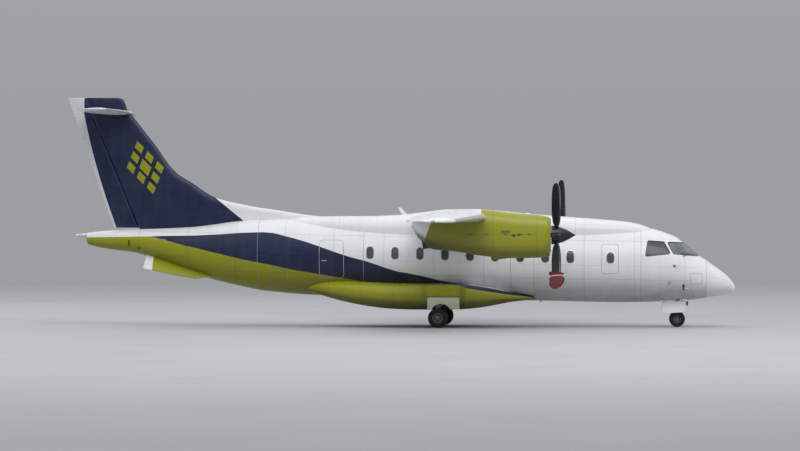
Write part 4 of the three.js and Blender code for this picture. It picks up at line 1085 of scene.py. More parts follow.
def window_cuts(outlines, s0, s1, sides=(1, -1), grow=0.0):
    parts = []
    for o in outlines:
        if s0 < sum(p[0] for p in o) / len(o) < s1:
            for side in sides:
                parts.append(side_prism(grown(o, grow) if grow else o, 0.5 * side, 1.6 * side))
    return parts


# radome: closed in front
tip = [fuselage.ring(s, 96, g) for s, g in ((0.0, -0.022), (0.003, -0.012), (0.010, -0.004))]
rings = tip + [fuselage.ring(s, 96) for s in np.linspace(0.12, math.sqrt(SPLIT["radome"] - 0.003), 26) ** 2]
radome = Geo().loft(rings).object("radome_shell", [M_RADOME])
put(radome, "airframe", ["radome"])
true_normals(radome, [(fuselage, False)])

nose = body_shell(fuselage, SPLIT["radome"] + 0.001, SPLIT["nose"] - 0.001, 0.0, -SKIN_T, 0.03, 112).object("nose_skin", [M_LIVERY])
cuts = [side_prism(side_glass, 0.45, 1.5), side_prism([(s, z) for s, z in side_glass], -1.5, -0.45),
        side_prism(front_glass, 0.028, 1.5), side_prism(front_glass, -1.5, -0.028)]
boolean(nose, union_geo(cuts))
BAY = (1.50, 2.34, 0.27, 1.30)
boolean(nose, Geo().block((X(BAY[1]), -BAY[2], 0.5), (X(BAY[0]), BAY[2], 1.0)))
put(nose, "airframe", ["nose_fuselage"])
true_normals(nose, [(fuselage, False)])

fwd = body_shell(fuselage, SPLIT["nose"], SPLIT["forward"] - 0.001, 0.0, -SKIN_T, 0.07, 112).object("forward_skin", [M_LIVERY])
boolean(fwd, union_geo(window_cuts(cabin_outlines, SPLIT["nose"], SPLIT["forward"]) + [side_prism(exit_window, -1.6, -0.5)]
                       + [side_prism(grown(P_DOOR, DOOR_GAP), 0.25, 1.6)]))
put(fwd, "airframe", ["forward_fuselage"])
true_normals(fwd, [(fuselage, False)])

mid = body_shell(fuselage, SPLIT["forward"], SPLIT["center"] - 0.001, 0.0, -SKIN_T, 0.09, 112).object("center_skin", [M_LIVERY])
boolean(mid, union_geo(window_cuts(cabin_outlines, SPLIT["forward"], SPLIT["center"])))
put(mid, "airframe", ["center_fuselage"])
true_normals(mid, [(fuselage, False)])

aft = body_shell(fuselage, SPLIT["center"], SPLIT["rear"] - 0.001, 0.0, -SKIN_T, 0.07, 112).object("rear_skin", [M_LIVERY])
boolean(aft, union_geo([side_prism(grown(B_DOOR, DOOR_GAP), 0.25, 1.6), side_prism(grown(S_DOOR, DOOR_GAP), -1.6, -0.5)]))
put(aft, "airframe", ["rear_fuselage"])
true_normals(aft, [(fuselage, False)])

cone_rings = [fuselage.ring(s, 112) for s in stations(SPLIT["rear"], 20.47, 0.08)] + [fuselage.ring(20.478, 112, -0.008)]
cone = Geo().loft(cone_rings)
cone = cone.object("tail_cone_skin", [M_LIVERY])
boolean(cone, Geo().lathe([(0, -0.3), (0.085, -0.3), (0.085, 0.3), (0, 0.3)], (X(20.48), 0, 2.775), (1, 0, 0), 32))
put(cone, "airframe", ["tail_cone"])
true_normals(cone, [(fuselage, False)])

# ---- glazing
panes = body_shell(fuselage, 0.97, 2.93, -0.010, -0.026, 0.03, 112).object("cockpit_panes_tool", [M_COCKPIT])


def copy_of(obj, name, mats=None):
    o = bpy.data.objects.new(name, obj.data.copy())
    bpy.context.scene.collection.objects.link(o)
    if mats:
        o.data.materials.clear()
        for m in mats:
            o.data.materials.append(m)
    return o


for name, side, outline, node in (
    ("windshield_panes", 0, front_glass, "windshield"),
    ("cockpit_side_pane_left", 1, side_glass, "cockpit_side_window_left"),
    ("cockpit_side_pane_right", -1, side_glass, "cockpit_side_window_right"),
):
    pane = copy_of(panes, name, [M_FRONT if side == 0 else M_COCKPIT])
    if side == 0:
        tools = [side_prism(grown(outline, 0.006), 0.020, 1.5), side_prism(grown(outline, 0.006), -1.5, -0.020)]
    else:
        tools = [side_prism(grown(outline, 0.006), *sorted((0.45 * side, 1.5 * side)))]
    boolean(pane, union_geo(tools), "INTERSECT")
    put(pane, "airframe", [node])
    pane.data.set_sharp_from_angle(angle=math.radians(40))
bpy.data.objects.remove(panes)

frames = body_shell(fuselage, 0.97, 2.93, 0.0025, -0.012, 0.03, 112).object("cockpit_frames", [M_SEAL])
frame_tools = []
for outline, y0 in ((side_glass, 0.45), (front_glass, 0.0)):
    for side in (1, -1):
        near, far = (max(y0, 0.030)) * side, 1.5 * side
        frame_tools.append(side_ring(grown(outline, 0.003), grown(outline, -0.016), *sorted((near, far))))
boolean(frames, union_geo(frame_tools), "INTERSECT")
put(frames, "airframe", ())
frames.data.set_sharp_from_angle(angle=math.radians(40))
post = body_shell(fuselage, 0.97, 2.93, 0.0028, -0.012, 0.03, 112).object("windshield_post_seals", [M_SEAL])
boolean(post, union_geo([side_prism(grown(front_glass, -0.004), *sorted((0.023 * side, 0.040 * side))) for side in (1, -1)]), "INTERSECT")
put(post, "airframe", ())
post.data.set_sharp_from_angle(angle=math.radians(40))

cabin = body_shell(fuselage, 3.4, 11.7, -0.020, -0.030, 0.1, 96).object("cabin_window_panes", [M_GLASS])
boolean(cabin, union_geo(window_cuts(cabin_outlines, 3.4, 11.7, grow=0.008) + [side_prism(grown(exit_window, 0.008), -1.6, -0.5)]), "INTERSECT")
put(cabin, "airframe", ())
cabin.data.set_sharp_from_angle(angle=math.radians(40))

rims = body_shell(fuselage, 3.4, 11.7, 0.0030, -0.015, 0.1, 96).object("cabin_window_frames", [M_ALU])
rim_tools = []
for o in cabin_outlines:
    for side in (1, -1):
        rim_tools.append(side_ring(grown(o, 0.003), grown(o, -0.014), *sorted((0.5 * side, 1.6 * side))))
rim_tools.append(side_ring(grown(exit_window, 0.003), grown(exit_window, -0.014), -1.6, -0.5))
boolean(rims, union_geo(rim_tools), "INTERSECT")
put(rims, "airframe", ())
rims.data.set_sharp_from_angle(angle=math.radians(40))

# ---- thin inlaid outlines: the front exit, hatches and access panels, with the joints between sections
outlines_right = [rect(3.65, 4.18, 1.68, 2.59)]
both_sides = [rect(1.05, 1.42, 1.35, 1.68), rect(14.0, 14.55, 1.35, 1.75), rect(15.3, 15.75, 1.70, 2.05), rect(17.9, 18.35, 2.45, 2.75)]
seam_tools = []
for outline, sides in [(o, (-1,)) for o in outlines_right] + [(o, (1, -1)) for o in both_sides]:
    r = rounded(outline, 0.07 if outline is outlines_right[0] else 0.03)
    for side in sides:
        seam_tools.append(side_ring(grown(r, 0.0055), grown(r, -0.0055), *sorted((0.2 * side, 1.6 * side))))
seams = body_shell(fuselage, 0.97, 19.0, 0.0014, -0.004, 0.08, 112).object("skin_panel_outlines", [M_SEAM])
boolean(seams, union_geo(seam_tools), "INTERSECT")
put(seams, "airframe")
seams.data.set_sharp_from_angle(angle=math.radians(40))

hoops = Geo()
for s in SPLIT.values():
    ring_pts = []
    for ds, off in ((-0.006, 0.0), (-0.004, 0.0013), (0.004, 0.0013), (0.006, 0.0)):
        ring_pts.append(fuselage.ring(s + ds, 112, off))
    hoops.loft(ring_pts, caps=(False, False))
put(hoops.object("section_joint_hoops", [M_SEAM]), "airframe")

# ---- doors with their inner sides
def door(name, outline, span, side, body, extra=None):
    s0, s1 = span[0], span[1]
    o = body_shell(fuselage, s0 - 0.15, s1 + 0.15, 0.0, -DOOR_T, 0.05, 128).object(name, [M_LIVERY])
    boolean(o, side_prism(outline, *sorted((0.2 * side, 1.6 * side))), "INTERSECT")
    put(o, body, [body])
    true_normals(o, [(fuselage, False)])
    return o


door("passenger_door_panel", P_DOOR, PASSENGER_DOOR, 1, "passenger_door")
door("baggage_door_panel", rounded(rect(12.10, 13.02, 1.50, 2.843), DOOR_R), BAGGAGE_DOOR, 1, "baggage_door")
door("service_door_panel", S_DOOR, SERVICE_DOOR, -1, "service_door")

# rubber seals in the door gaps, on the fuselage side
seal_shell = body_shell(fuselage, 3.2, 13.2, -0.012, -0.030, 0.08, 112).object("door_seals", [M_SEAL])
boolean(seal_shell, union_geo([
    side_ring(grown(P_DOOR, DOOR_GAP + 0.001), grown(P_DOOR, 0.0045), 0.3, 1.6),
    side_ring(grown(B_DOOR, DOOR_GAP + 0.001), grown(B_DOOR, 0.0045), 0.3, 1.6),
    side_ring(grown(S_DOOR, DOOR_GAP + 0.001), grown(S_DOOR, 0.0045), -1.6, -0.3)]), "INTERSECT")
put(seal_shell, "airframe")

# pale jamb lines just outside each door, as the photo shows round the rear door
jamb = body_shell(fuselage, 3.2, 13.2, 0.0018, -0.006, 0.08, 112).object("door_surrounds", [M_ALU])
boolean(jamb, union_geo([
    side_ring(grown(P_DOOR, 0.024), grown(P_DOOR, 0.0095), 0.3, 1.6),
    side_ring(grown(B_DOOR, 0.026), grown(B_DOOR, 0.0125), 0.3, 1.6),
    side_ring(grown(S_DOOR, 0.024), grown(S_DOOR, 0.0095), -1.6, -0.3)]), "INTERSECT")
put(jamb, "airframe")
jamb.data.set_sharp_from_angle(angle=math.radians(40))

# ---- the rooms behind the doors
def room(name, span, y_in, side, mats, extra):
    s0, s1, z0, z1 = span
    g, t = DOOR_GAP, 0.02
    tray = Geo().block((X(s1 + g + t), y_in - t, z0 - g - t), (X(s0 - g - t), 1.45, z1 + g + t))
    if side < 0:
        tray = tray.mirrored()
    o = tray.object(name, [mats[0]], None)
    hollow = Geo().block((X(s1 + g), y_in, z0 - g), (X(s0 - g), 1.6, z1 + g))
    boolean(o, hollow.mirrored() if side < 0 else hollow)
    boolean(o, body_solid(fuselage, s0 - 0.2, s1 + 0.2, 0.06, 96, -SKIN_T + 0.006), "INTERSECT")
    o.data.set_sharp_from_angle(angle=math.radians(30))
    put(o, "airframe")
    d = Geo()
    extra(d, s0 - g, s1 + g, z0 - g, z1 + g)
    d = d.mirrored() if side < 0 else d
    put(d.object(name + "_fittings", mats), "airframe")


def entry(d, s0, s1, z0, z1):
    d.block((X(s1 - 0.02), 0.285, z0 + 0.001), (X(s0 + 0.02), 0.775, z0 + 0.008), 1)         # mat
    d.block((X(s1 - 0.10), 0.282, z0 + 0.02), (X(s0 + 0.10), 0.300, z1 - 0.12), 2, 0.008)     # curtain to the cabin
    for k in range(9):
        s = s0 + 0.13 + (s1 - s0 - 0.26) * k / 8
        d.tube([(X(s), 0.302, z0 + 0.03), (X(s), 0.302, z1 - 0.14)], 0.016, 8, 2)
    d.tube([(X(s0 + 0.06), 0.31, z1 - 0.11), (X(s1 - 0.06), 0.31, z1 - 0.11)], 0.010, 8, 3)    # curtain rail
    d.tube([(X(s0 + 0.02), 0.55, z0 + 0.75), (X(s0 + 0.045), 0.55, z0 + 0.78), (X(s0 + 0.045), 0.55, z0 + 1.12), (X(s0 + 0.02), 0.55, z0 + 1.15)], 0.012, 8, 3)
    d.block((X(s0 + 0.5), 0.45, z1 - 0.020), (X(s0 + 0.2), 0.62, z1 - 0.004), 4, 0.004)       # ceiling light


def hold(d, s0, s1, z0, z1):
    d.block((X(s1 - 0.02), 0.305, z0 + 0.001), (X(s0 + 0.02), 0.92, z0 + 0.006), 1)
    for k in range(1, 9):                                                                     # cargo net
        z = z0 + (z1 - z0) * k / 9
        d.tube([(X(s0 + 0.03), 0.325, z), (X((s0 + s1) / 2), 0.335, z - 0.01), (X(s1 - 0.03), 0.325, z)], 0.006, 6, 2)
        s = s0 + (s1 - s0) * k / 9
        d.tube([(X(s), 0.325, z0 + 0.03), (X(s), 0.335, (z0 + z1) / 2), (X(s), 0.325, z1 - 0.03)], 0.006, 6, 2)
    d.block((X(s0 + 0.6), 0.40, z1 - 0.018), (X(s0 + 0.35), 0.50, z1 - 0.003), 4, 0.003)


def galley(d, s0, s1, z0, z1):
    d.block((X(s1 - 0.02), 0.625, z0 + 0.001), (X(s0 + 0.02), 0.97, z0 + 0.006), 1)
    for r in range(3):
        for c in range(2):
            w, h = (s1 - s0 - 0.10) / 2, (z1 - z0 - 0.16) / 3
            a, b = s0 + 0.04 + c * (w + 0.02), z0 + 0.04 + r * (h + 0.03)
            d.block((X(a + w), 0.622, b), (X(a), 0.640, b + h), 0, 0.006)
            d.block((X(a + w * 0.62), 0.640, b + h - 0.06), (X(a + w * 0.38), 0.652, b + h - 0.035), 3, 0.004)
    d.block((X(s0 + 0.45), 0.70, z1 - 0.018), (X(s0 + 0.25), 0.80, z1 - 0.003), 4, 0.003)


room("entry_lining", PASSENGER_DOOR, ROOM_Y["passenger"], 1, [M_LINING, M_STEP, M_CURTAIN, M_ALU, M_CLEAR], entry)
room("hold_lining", BAGGAGE_DOOR, ROOM_Y["baggage"], 1, [M_BAG, M_STEP, M_CURTAIN, M_ALU, M_CLEAR], hold)
room("galley_lining", SERVICE_DOOR, ROOM_Y["service"], -1, [M_GALLEY, M_STEP, M_CURTAIN, M_ALU, M_CLEAR], galley)

# airstair on the inner side of the passenger door: treads, risers, side strings and folded rails
stair = Geo()
zc_, h_, w_, _ = (float(v) for v in fuselage.at(3.8))


def inner_y(z, depth=0.0):
    return float(w_ * math.sqrt(max(0.0, 1 - ((z - zc_) / h_) ** 2))) - DOOR_T - depth


for k in range(5):
    z = 1.30 + 0.27 * k
    y1 = inner_y(z) + 0.01
    y0 = y1 - (0.20 if k < 4 else 0.16)
    stair.block((X(4.05), y0, z - 0.022), (X(3.55), y1, z), 0, 0.005)
    stair.block((X(4.05), y0, z), (X(3.55), y0 + 0.02, z + 0.006), 1, 0.002)
    stair.prism([(X(4.055), y1, z - 0.02), (X(4.055), y1, z + 0.20), (X(4.055), y0 + 0.02, z - 0.02)], (0.012, 0, 0), 2)
    stair.prism([(X(3.555), y1, z - 0.02), (X(3.555), y1, z + 0.20), (X(3.555), y0 + 0.02, z - 0.02)], (0.012, 0, 0), 2)
for s in (3.515, 4.085):
    pts = [(X(s), inner_y(z) - (0.10 if 1.3 < z < 2.6 else 0.015), z) for z in (1.24, 1.30, 1.34, 1.7, 2.1, 2.5, 2.58, 2.64)]
    stair.tube(pts, 0.011, 8, 1)
put(stair.object("airstair", [M_STEP, M_ALU, M_GEAR]), "passenger_door")

# frames, lock bars and handle on the other doors' inner sides
def door_inside(name, body, span, side):
    g = Geo()
    s0, s1, z0, z1 = span
    zc, h, w, _ = (float(v) for v in fuselage.at((s0 + s1) / 2))
    yi = lambda z, d=0.0: w * math.sqrt(max(0.0, 1 - ((z - zc) / h) ** 2)) - DOOR_T - d
    for s in (s0 + 0.16, (s0 + s1) / 2, s1 - 0.16):
        zs = np.linspace(z0 + 0.10, z1 - 0.12, 9)
        for a, b in zip(zs[:-1], zs[1:]):
            g.prism([(X(s + 0.02), yi(a, -0.006), a), (X(s + 0.02), yi(b, -0.006), b), (X(s + 0.02), yi(b, 0.025), b), (X(s + 0.02), yi(a, 0.025), a)], (0.04, 0, 0), 0)
    for z in np.linspace(z0 + 0.20, z1 - 0.22, 4):
        g.tube([(X(s0 + 0.10), yi(z, 0.035), z), (X(s1 - 0.10), yi(z, 0.035), z)], 0.012, 8, 1)
    g.block((X(s0 + 0.30), yi((z0 + z1) / 2, 0.055), (z0 + z1) / 2 - 0.02), (X(s0 + 0.14), yi((z0 + z1) / 2, 0.035), (z0 + z1) / 2 + 0.02), 1, 0.006)
    if side < 0:
        g = g.mirrored()
    put(g.object(name, [M_BAG, M_ALU]), body)


door_inside("baggage_door_frames", "baggage_door", BAGGAGE_DOOR, 1)
door_inside("service_door_frames", "service_door", SERVICE_DOOR, -1)

# flush handles outside
def on_skin(g, s, z, side, ds, dz, out, mat=0, body=fuselage, deep=0.006):
    """A small raised pad on the skin."""
    p, n = body.point(s, z, 1)
    t = Vector((1, 0, 0))
    t = (t - n * t.dot(n)).normalized()
    b = n.cross(t).normalized()
    corners = []
    m = 4
    for k in range(4 * m):
        a = 2 * math.pi * (k + 0.5) / (4 * m)
        c, d = math.cos(a), math.sin(a)
        e = 2 / 5
        corners.append((math.copysign(abs(c) ** e, c) * ds / 2, math.copysign(abs(d) ** e, d) * dz / 2))
    rings = []
    for off, k in ((-deep, 1.0), (out * 0.6, 1.0), (out, 0.86)):
        rings.append([tuple(p + n * off + t * (u * k) + b * (v * k)) for u, v in corners])
    part = Geo().loft(rings, mat)
    g.extend(part if side > 0 else part.mirrored())
    return g


handles = {"passenger_door": (3.60, 1.72, 1), "baggage_door": (12.56, 1.66, 1), "service_door": (12.84, 2.08, -1)}
for body, (s, z, side) in handles.items():
    g = Geo()
    on_skin(g, s, z, side, 0.18, 0.07, 0.002, 1)
    on_skin(g, s, z, side, 0.15, 0.024, 0.010, 0)
    put(g.object(body + "_handle", [M_ALU, M_SEAL]), body)

# ============================================================ roof fairing
fairing = Geo().loft([roof.ring(s, 128) for s in stations(2.45, 14.30, 0.09)]).object("roof_fairing", [M_ROOF])
put(fairing, "airframe", ["wing_fairing"])
true_normals(fairing, [(roof, False)])

# ============================================================ wing
def foil(f, t, m, p=0.4):
    """Half thickness and camber line of the section at chord fraction f."""
    f = np.asarray(f, float)
    half = 5 * t * (0.2969 * np.sqrt(f) - 0.126 * f - 0.3516 * f**2 + 0.2843 * f**3 - 0.1015 * f**4)
    half = np.maximum(half, np.where(f > 0, 0.0012, 0.0))
    camber = np.where(f < p, m / p**2 * (2 * p * f - f * f), m / (1 - p) ** 2 * (1 - 2 * p + 2 * p * f - f * f)) if m else f * 0
    return half, camber


FR = (1 - np.cos(np.linspace(0, math.pi, 33))) / 2


def foil_ring(y, le, te, z, t, m, fr=FR, grow=0.0):
    c = te - le
    half, cam = foil(fr, t, m)
    up = np.stack([X(le + fr * c), np.full(len(fr), y), z + (cam + half) * c + np.where(fr > 0, grow, 0)], 1)
    lo = np.stack([X(le + fr * c), np.full(len(fr), y), z + (cam - half) * c - grow], 1)
    return np.concatenate([up[::-1], lo[1:]])


wy = [r[0] for r in WING]
wing_le = lambda y: float(np.interp(y, wy[:3], [r[1] for r in WING[:3]])) if y <= 9.75 else float(pchip([9.75, 10.2, 10.40, 10.49], [8.30, 8.62, 8.90, 9.10])(y))
wing_te = lambda y: float(np.interp(y, wy, [r[2] for r in WING]))
wing_z = lambda y: float(np.interp(y, wy, [r[3] for r in WING]))
wing_t = lambda y: float(np.interp(y, wy, [r[4] for r in WING])) if y <= 10.2 else float(pchip([10.2, 10.42, 10.49], [0.120, 0.105, 0.05])(y))


def wing_row(y):
    return y, wing_le(y), wing_te(y), wing_z(y), wing_t(y)


def wing_surface(y, f, upper=True, off=0.0):
    _, le, te, z, t = wing_row(y)
    half, cam = foil(f, t, CAMBER)
    c = te - le
    return Vector((X(le + float(f) * c), y, z + float(cam + (half if upper else -half)) * c + (off if upper else -off)))


WING_YS = sorted(set([0.30, 0.99, 3.55, 4.05, 4.55, 7.10, 7.20, 9.70, 9.75] + list(np.arange(0.6, 9.7, 0.3)) + list(np.linspace(9.75, 10.42, 10)) + [10.455, 10.478, 10.488]))
wing_geo = Geo().loft([foil_ring(*wing_row(y), CAMBER) for y in WING_YS])


def flap_space(y0, y1, g):
    return Geo().block((X(10.3), y0 - g, 2.9), (X(FLAP_S - g), y1 + g, 3.9))


def nose_radius(y, hinge, rowf, m):
    _, le, te, z, t = rowf(y)
    half, _c = foil((hinge - le) / (te - le), t, m)
    return float(half) * (te - le)


ail_nose = [AILERON_S[k] - nose_radius(AILERON_Y[k], AILERON_S[k], wing_row, CAMBER) - MOVE_GAP for k in (0, 1)]
aileron_bay = Geo().loft([[(X(ail_nose[0]), AILERON_Y[0] - MOVE_GAP, z), (X(ail_nose[1]), AILERON_Y[1] + MOVE_GAP, z),
                           (X(10.2), AILERON_Y[1] + MOVE_GAP, z), (X(10.2), AILERON_Y[0] - MOVE_GAP, z)] for z in (2.9, 3.9)], smooth=False)
wing_left = wing_geo.object("wing_skin_left", [M_WING])
boolean(wing_left, union_geo([flap_space(*INNER_FLAP_Y, MOVE_GAP), flap_space(*OUTER_FLAP_Y, MOVE_GAP), aileron_bay]))


def moving_surface(row_of, hinge, ys, m, n=10, fr_aft=14, nose=True, te_round=True):
    """Rings of a control surface: a round nose about the hinge, then the section's own rear."""
    rings = []
    for y, h in zip(ys, hinge):
        _, le, te, z, t = row_of(y)
        c = te - le
        fh = (h - le) / c
        half, cam = foil(fh, t, m)
        r, zc = float(half) * c, float(cam) * c
        ring = []
        for i in range(n + 1):
            a = math.pi / 2 + math.pi * i / n
            ring.append((X(h + r * math.cos(a)), y, z + zc + r * math.sin(a)))
        fr = fh + (1 - fh) * np.linspace(1 / fr_aft, 1, fr_aft)
        hf, cm = foil(fr, t, m)
        ring += [(X(le + f * c), y, z + float(k - q) * c) for f, q, k in zip(fr, hf, cm)]
        ring += [(X(le + f * c), y, z + float(k + q) * c) for f, q, k in zip(fr[::-1], hf[::-1], cm[::-1])]
        rings.append(ring)
    return rings


ys = list(np.linspace(*AILERON_Y, 14))
aileron = Geo().loft(moving_surface(wing_row, [np.interp(y, AILERON_Y, AILERON_S) for y in ys], ys, CAMBER))


def flap(y0, y1):
    fh = lambda y: (FLAP_S - wing_le(y)) / (wing_te(y) - wing_le(y))
    rings = []
    for y in np.linspace(y0, y1, 10):
        _, le, te, z, t = wing_row(y)
        c, f0 = te - le, fh(y)
        fr = f0 + (1 - f0) * (1 - np.cos(np.linspace(0, math.pi / 2, 14)))
        hf, cm = foil(fr, t, CAMBER)
        up = [(X(le + f * c), y, z + float(k + q) * c) for f, q, k in zip(fr, hf, cm)]
        lo = [(X(le + f * c), y, z + float(k - q) * c) for f, q, k in zip(fr, hf, cm)]
        zt, zb = up[0][2], lo[0][2]
        r = (zt - zb) / 2
        # rounded nose inside the flap's own block
        nose = []
        for i in range(1, 8):
            a = math.pi / 2 + math.pi * i / 8
            nose.append((X(FLAP_S + r * 0.55 * (1 + math.cos(a))), y, (zt + zb) / 2 + r * math.sin(a)))
        up = [p for p in up if p[0] <= X(FLAP_S + r * 0.55)]
        lo = [p for p in lo if p[0] <= X(FLAP_S + r * 0.55)]
        k = 12
        up = [(a, y, float(np.interp(-a, [-p[0] for p in up], [p[2] for p in up]))) for a in np.linspace(up[0][0], up[-1][0], k)]
        lo = [(a, y, float(np.interp(-a, [-p[0] for p in lo], [p[2] for p in lo]))) for a in np.linspace(lo[0][0], lo[-1][0], k)]
        rings.append(up[::-1] + nose + lo)
    return Geo().loft(rings)


inner, outer = flap(*INNER_FLAP_Y), flap(*OUTER_FLAP_Y)

# de-icing boots: a thin skin over the leading edge
def boot(y0, y1, row_of, m, f_up=0.045, f_low=0.06, off=0.004):
    g, rings = Geo(), []
    for y in np.linspace(y0, y1, max(4, int((y1 - y0) / 0.25))):
        _, le, te, z, t = row_of(y)
        c = te - le
        fu, fl = np.linspace(math.sqrt(f_up), 0, 9) ** 2, np.linspace(0, math.sqrt(f_low), 10)[1:] ** 2
        pts, nor = [], []
        for f, sgn in [(f, 1) for f in fu] + [(f, -1) for f in fl]:
            half, cam = foil(f, t, m)
            pts.append(np.array([le + f * c, z + float(cam + sgn * half) * c]))
        for i in range(len(pts)):
            d = pts[min(i + 1, len(pts) - 1)] - pts[max(i - 1, 0)]
            nn = np.array([-d[1], d[0]])
            nn /= np.linalg.norm(nn)
            if nn[0] > 0 and abs(nn[1]) < 0.5 or (i < 9 and nn[1] < 0) or (i > 9 and nn[1] > 0):
                nn = -nn
            nor.append(nn)
        edge = [0.0] + [off] * (len(pts) - 2) + [0.0]
        rings.append([(X(p[0] + q[0] * e), y, p[1] + q[1] * e) for p, q, e in zip(pts, nor, edge)])
    g.loft(rings, closed=False, caps=(False, False))
    return g


def tail_row(y):
    le = float(np.interp(y, [r[0] for r in TAILPLANE[:2]], [r[1] for r in TAILPLANE[:2]])) if y <= 3.25 else float(pchip([3.25, 3.31, 3.35], [19.41, 19.45, 19.56])(y))
    te = float(np.interp(y, [r[0] for r in TAILPLANE], [r[2] for r in TAILPLANE]))
    t = float(np.interp(y, [r[0] for r in TAILPLANE], [r[3] for r in TAILPLANE])) if y <= 3.32 else 0.05
    return y, le, te, TAIL_Z, t


boots = boot(1.05, 3.55, wing_row, CAMBER).extend(boot(4.55, 9.60, wing_row, CAMBER)).extend(boot(0.22, 3.12, tail_row, 0.0, 0.05, 0.05, 0.003))

# hinge brackets under the flaps and ailerons, and small details of the wing
brackets = Geo()
for y in (1.45, 3.10, 5.00, 6.60):
    top = wing_surface(y, 0.62, False)
    pts = [(8.86, 0.0), (9.02, -0.045), (9.20, -0.085), (9.31, -0.095), (9.345, -0.075), (9.345, -0.045), (9.28, -0.02), (9.225, 0.0)]
    ring = []
    for s, dz in pts:
        f = (s - wing_le(y)) / (wing_te(y) - wing_le(y))
        ring.append((X(s), y, wing_surface(y, f, False).z + 0.01 + dz))
    for w, k in ((0.028, 1.0),):
        brackets.loft([[(x, yy - w, z) for x, yy, z in ring], [(x, yy - w * 0.5, z - 0.006) for x, yy, z in ring],
                       [(x, yy + w * 0.5, z - 0.006) for x, yy, z in ring], [(x, yy + w, z) for x, yy, z in ring]], 0)
for y in (7.75, 9.10):
    p = wing_surface(y, (9.15 - wing_le(y)) / (wing_te(y) - wing_le(y)), False)
    brackets.loft([[(X(s), y + w, p.z + dz) for s, dz in ((8.98, 0.01), (9.10, -0.030), (9.22, -0.034), (9.235, -0.01), (9.22, 0.012))] for w in (-0.016, 0.016)], 0, False)

wing_bits = Geo()
for y in (2.1, 5.4, 6.9):                       # fuel caps and access covers
    p = wing_surface(y, 0.36, True)
    wing_bits.lathe([(0, -0.01), (0.06, -0.01), (0.06, 0.0015), (0.052, 0.003), (0, 0.003)], p, (0.02, 0, 1), 24, 0)
for y in np.arange(7.6, 9.7, 0.45):             # vortex generators ahead of the aileron
    for d in (0.0, 0.10):
        p = wing_surface(y + d, 0.16, True)
        wing_bits.prism([p, p + Vector((-0.06, 0.012, 0)), p + Vector((-0.06, 0.012, 0.028)), p + Vector((-0.02, 0.004, 0.024))], (0.0, 0.003, 0), 1)
# wing-tip light with its glass cover
tip_p = Vector((X(9.02), 10.455, 3.262))


def tip_light(side, lens_mat, name):
    g = Geo()
    g.loft([[(X(8.93 + d), (10.40 + o) , 3.262 + r * math.sin(a)) if False else (X(8.86 + d + r * 0.9 * math.cos(a)), 10.36 + o, 3.268 + r * 0.62 * math.sin(a))
             for a in (2 * math.pi * i / 16 for i in range(16))] for d, o, r in ((0.03, 0.0, 0.055), (0.045, 0.035, 0.050), (0.06, 0.062, 0.036), (0.068, 0.078, 0.016))], 0)
    if side < 0:
        g = g.mirrored()
    put(g.object(name, [lens_mat]), "airframe")


tip_light(1, M_RED, "position_light_left")
tip_light(-1, M_GREEN, "position_light_right")

wicks_wing, wicks_ail, wicks_elev, wicks_rud = Geo(), Geo(), Geo(), Geo()


def wick(g, p, d, length=0.13):
    p, d = Vector(p), Vector(d).normalized()
    g.tube([p, p + d * length * 0.35], 0.0045, 6, 0)
    g.tube([p + d * length * 0.3, p + d * length], 0.0022, 6, 1)


for y in (7.6, 8.4, 9.2):
    p = Vector((X(wing_te(y) - 0.01), y, wing_surface(y, 1.0).z))
    wick(wicks_ail, p, (-1, 0, -0.05))
wick(wicks_wing, (X(9.575), 10.0, 3.268), (-1, 0.05, -0.03))
wick(wicks_wing, (X(9.572), 10.35, 3.263), (-1, 0.25, -0.03))

flap_arms = {}
for tag, ylist in (("inner", (1.45, 3.10)), ("outer", (5.00, 6.60))):
    g = Geo()
    for y in ylist:
        z0 = wing_surface(y, (9.42 - wing_le(y)) / (wing_te(y) - wing_le(y)), False).z
        g.prism([(X(9.365), y - 0.012, z0 + 0.012), (X(9.365), y - 0.012, z0 - 0.050), (X(9.40), y - 0.012, z0 - 0.055),
                 (X(9.60), y - 0.012, z0 + 0.012)], (0, 0.024, 0), 0)
    flap_arms[tag] = g

for side, tag in ((1, "left"), (-1, "right")):
    flip = (lambda g: g) if side > 0 else (lambda g: g.mirrored())
    if side > 0:
        w = wing_left
    else:
        me = wing_left.data.copy()
        co = np.empty(len(me.vertices) * 3)
        me.vertices.foreach_get("co", co)
        co = co.reshape(-1, 3)
        co[:, 1] *= -1
        me.vertices.foreach_set("co", co.ravel())
        me.flip_normals()
        w = bpy.data.objects.new("wing_skin_right", me)
        bpy.context.scene.collection.objects.link(w)
    w.data.polygons.foreach_set("use_smooth", np.ones(len(w.data.polygons), bool))
    w.data.set_sharp_from_angle(angle=math.radians(32))
    put(w, "airframe", ["wing_" + tag])
    put(flip(inner).object("inner_flap_skin_" + tag, [M_WING]), "inner_flap_" + tag, ["inner_flap_" + tag])
    put(flip(outer).object("outer_flap_skin_" + tag, [M_WING]), "outer_flap_" + tag, ["outer_flap_" + tag])
    put(flip(aileron).object("aileron_skin_" + tag, [M_WING]), "aileron_" + tag, ["aileron_" + tag])
    put(flip(boots).object("deicing_boots_" + tag, [M_BOOT]), "airframe")
    put(flip(brackets).object("wing_hinge_brackets_" + tag, [M_WHITE]), "airframe")
    put(flip(wing_bits).object("wing_fittings_" + tag, [M_ALU, M_WHITE]), "airframe")
    put(flip(wicks_wing).object("wing_static_wicks_" + tag, [M_ALU, M_RUBBER]), "airframe")
    put(flip(wicks_ail).object("aileron_static_wicks_" + tag, [M_ALU, M_RUBBER]), "aileron_" + tag)
    put(flip(flap_arms["inner"]).object("inner_flap_arms_" + tag, [M_WHITE]), "inner_flap_" + tag)
    put(flip(flap_arms["outer"]).object("outer_flap_arms_" + tag, [M_WHITE]), "outer_flap_" + tag)

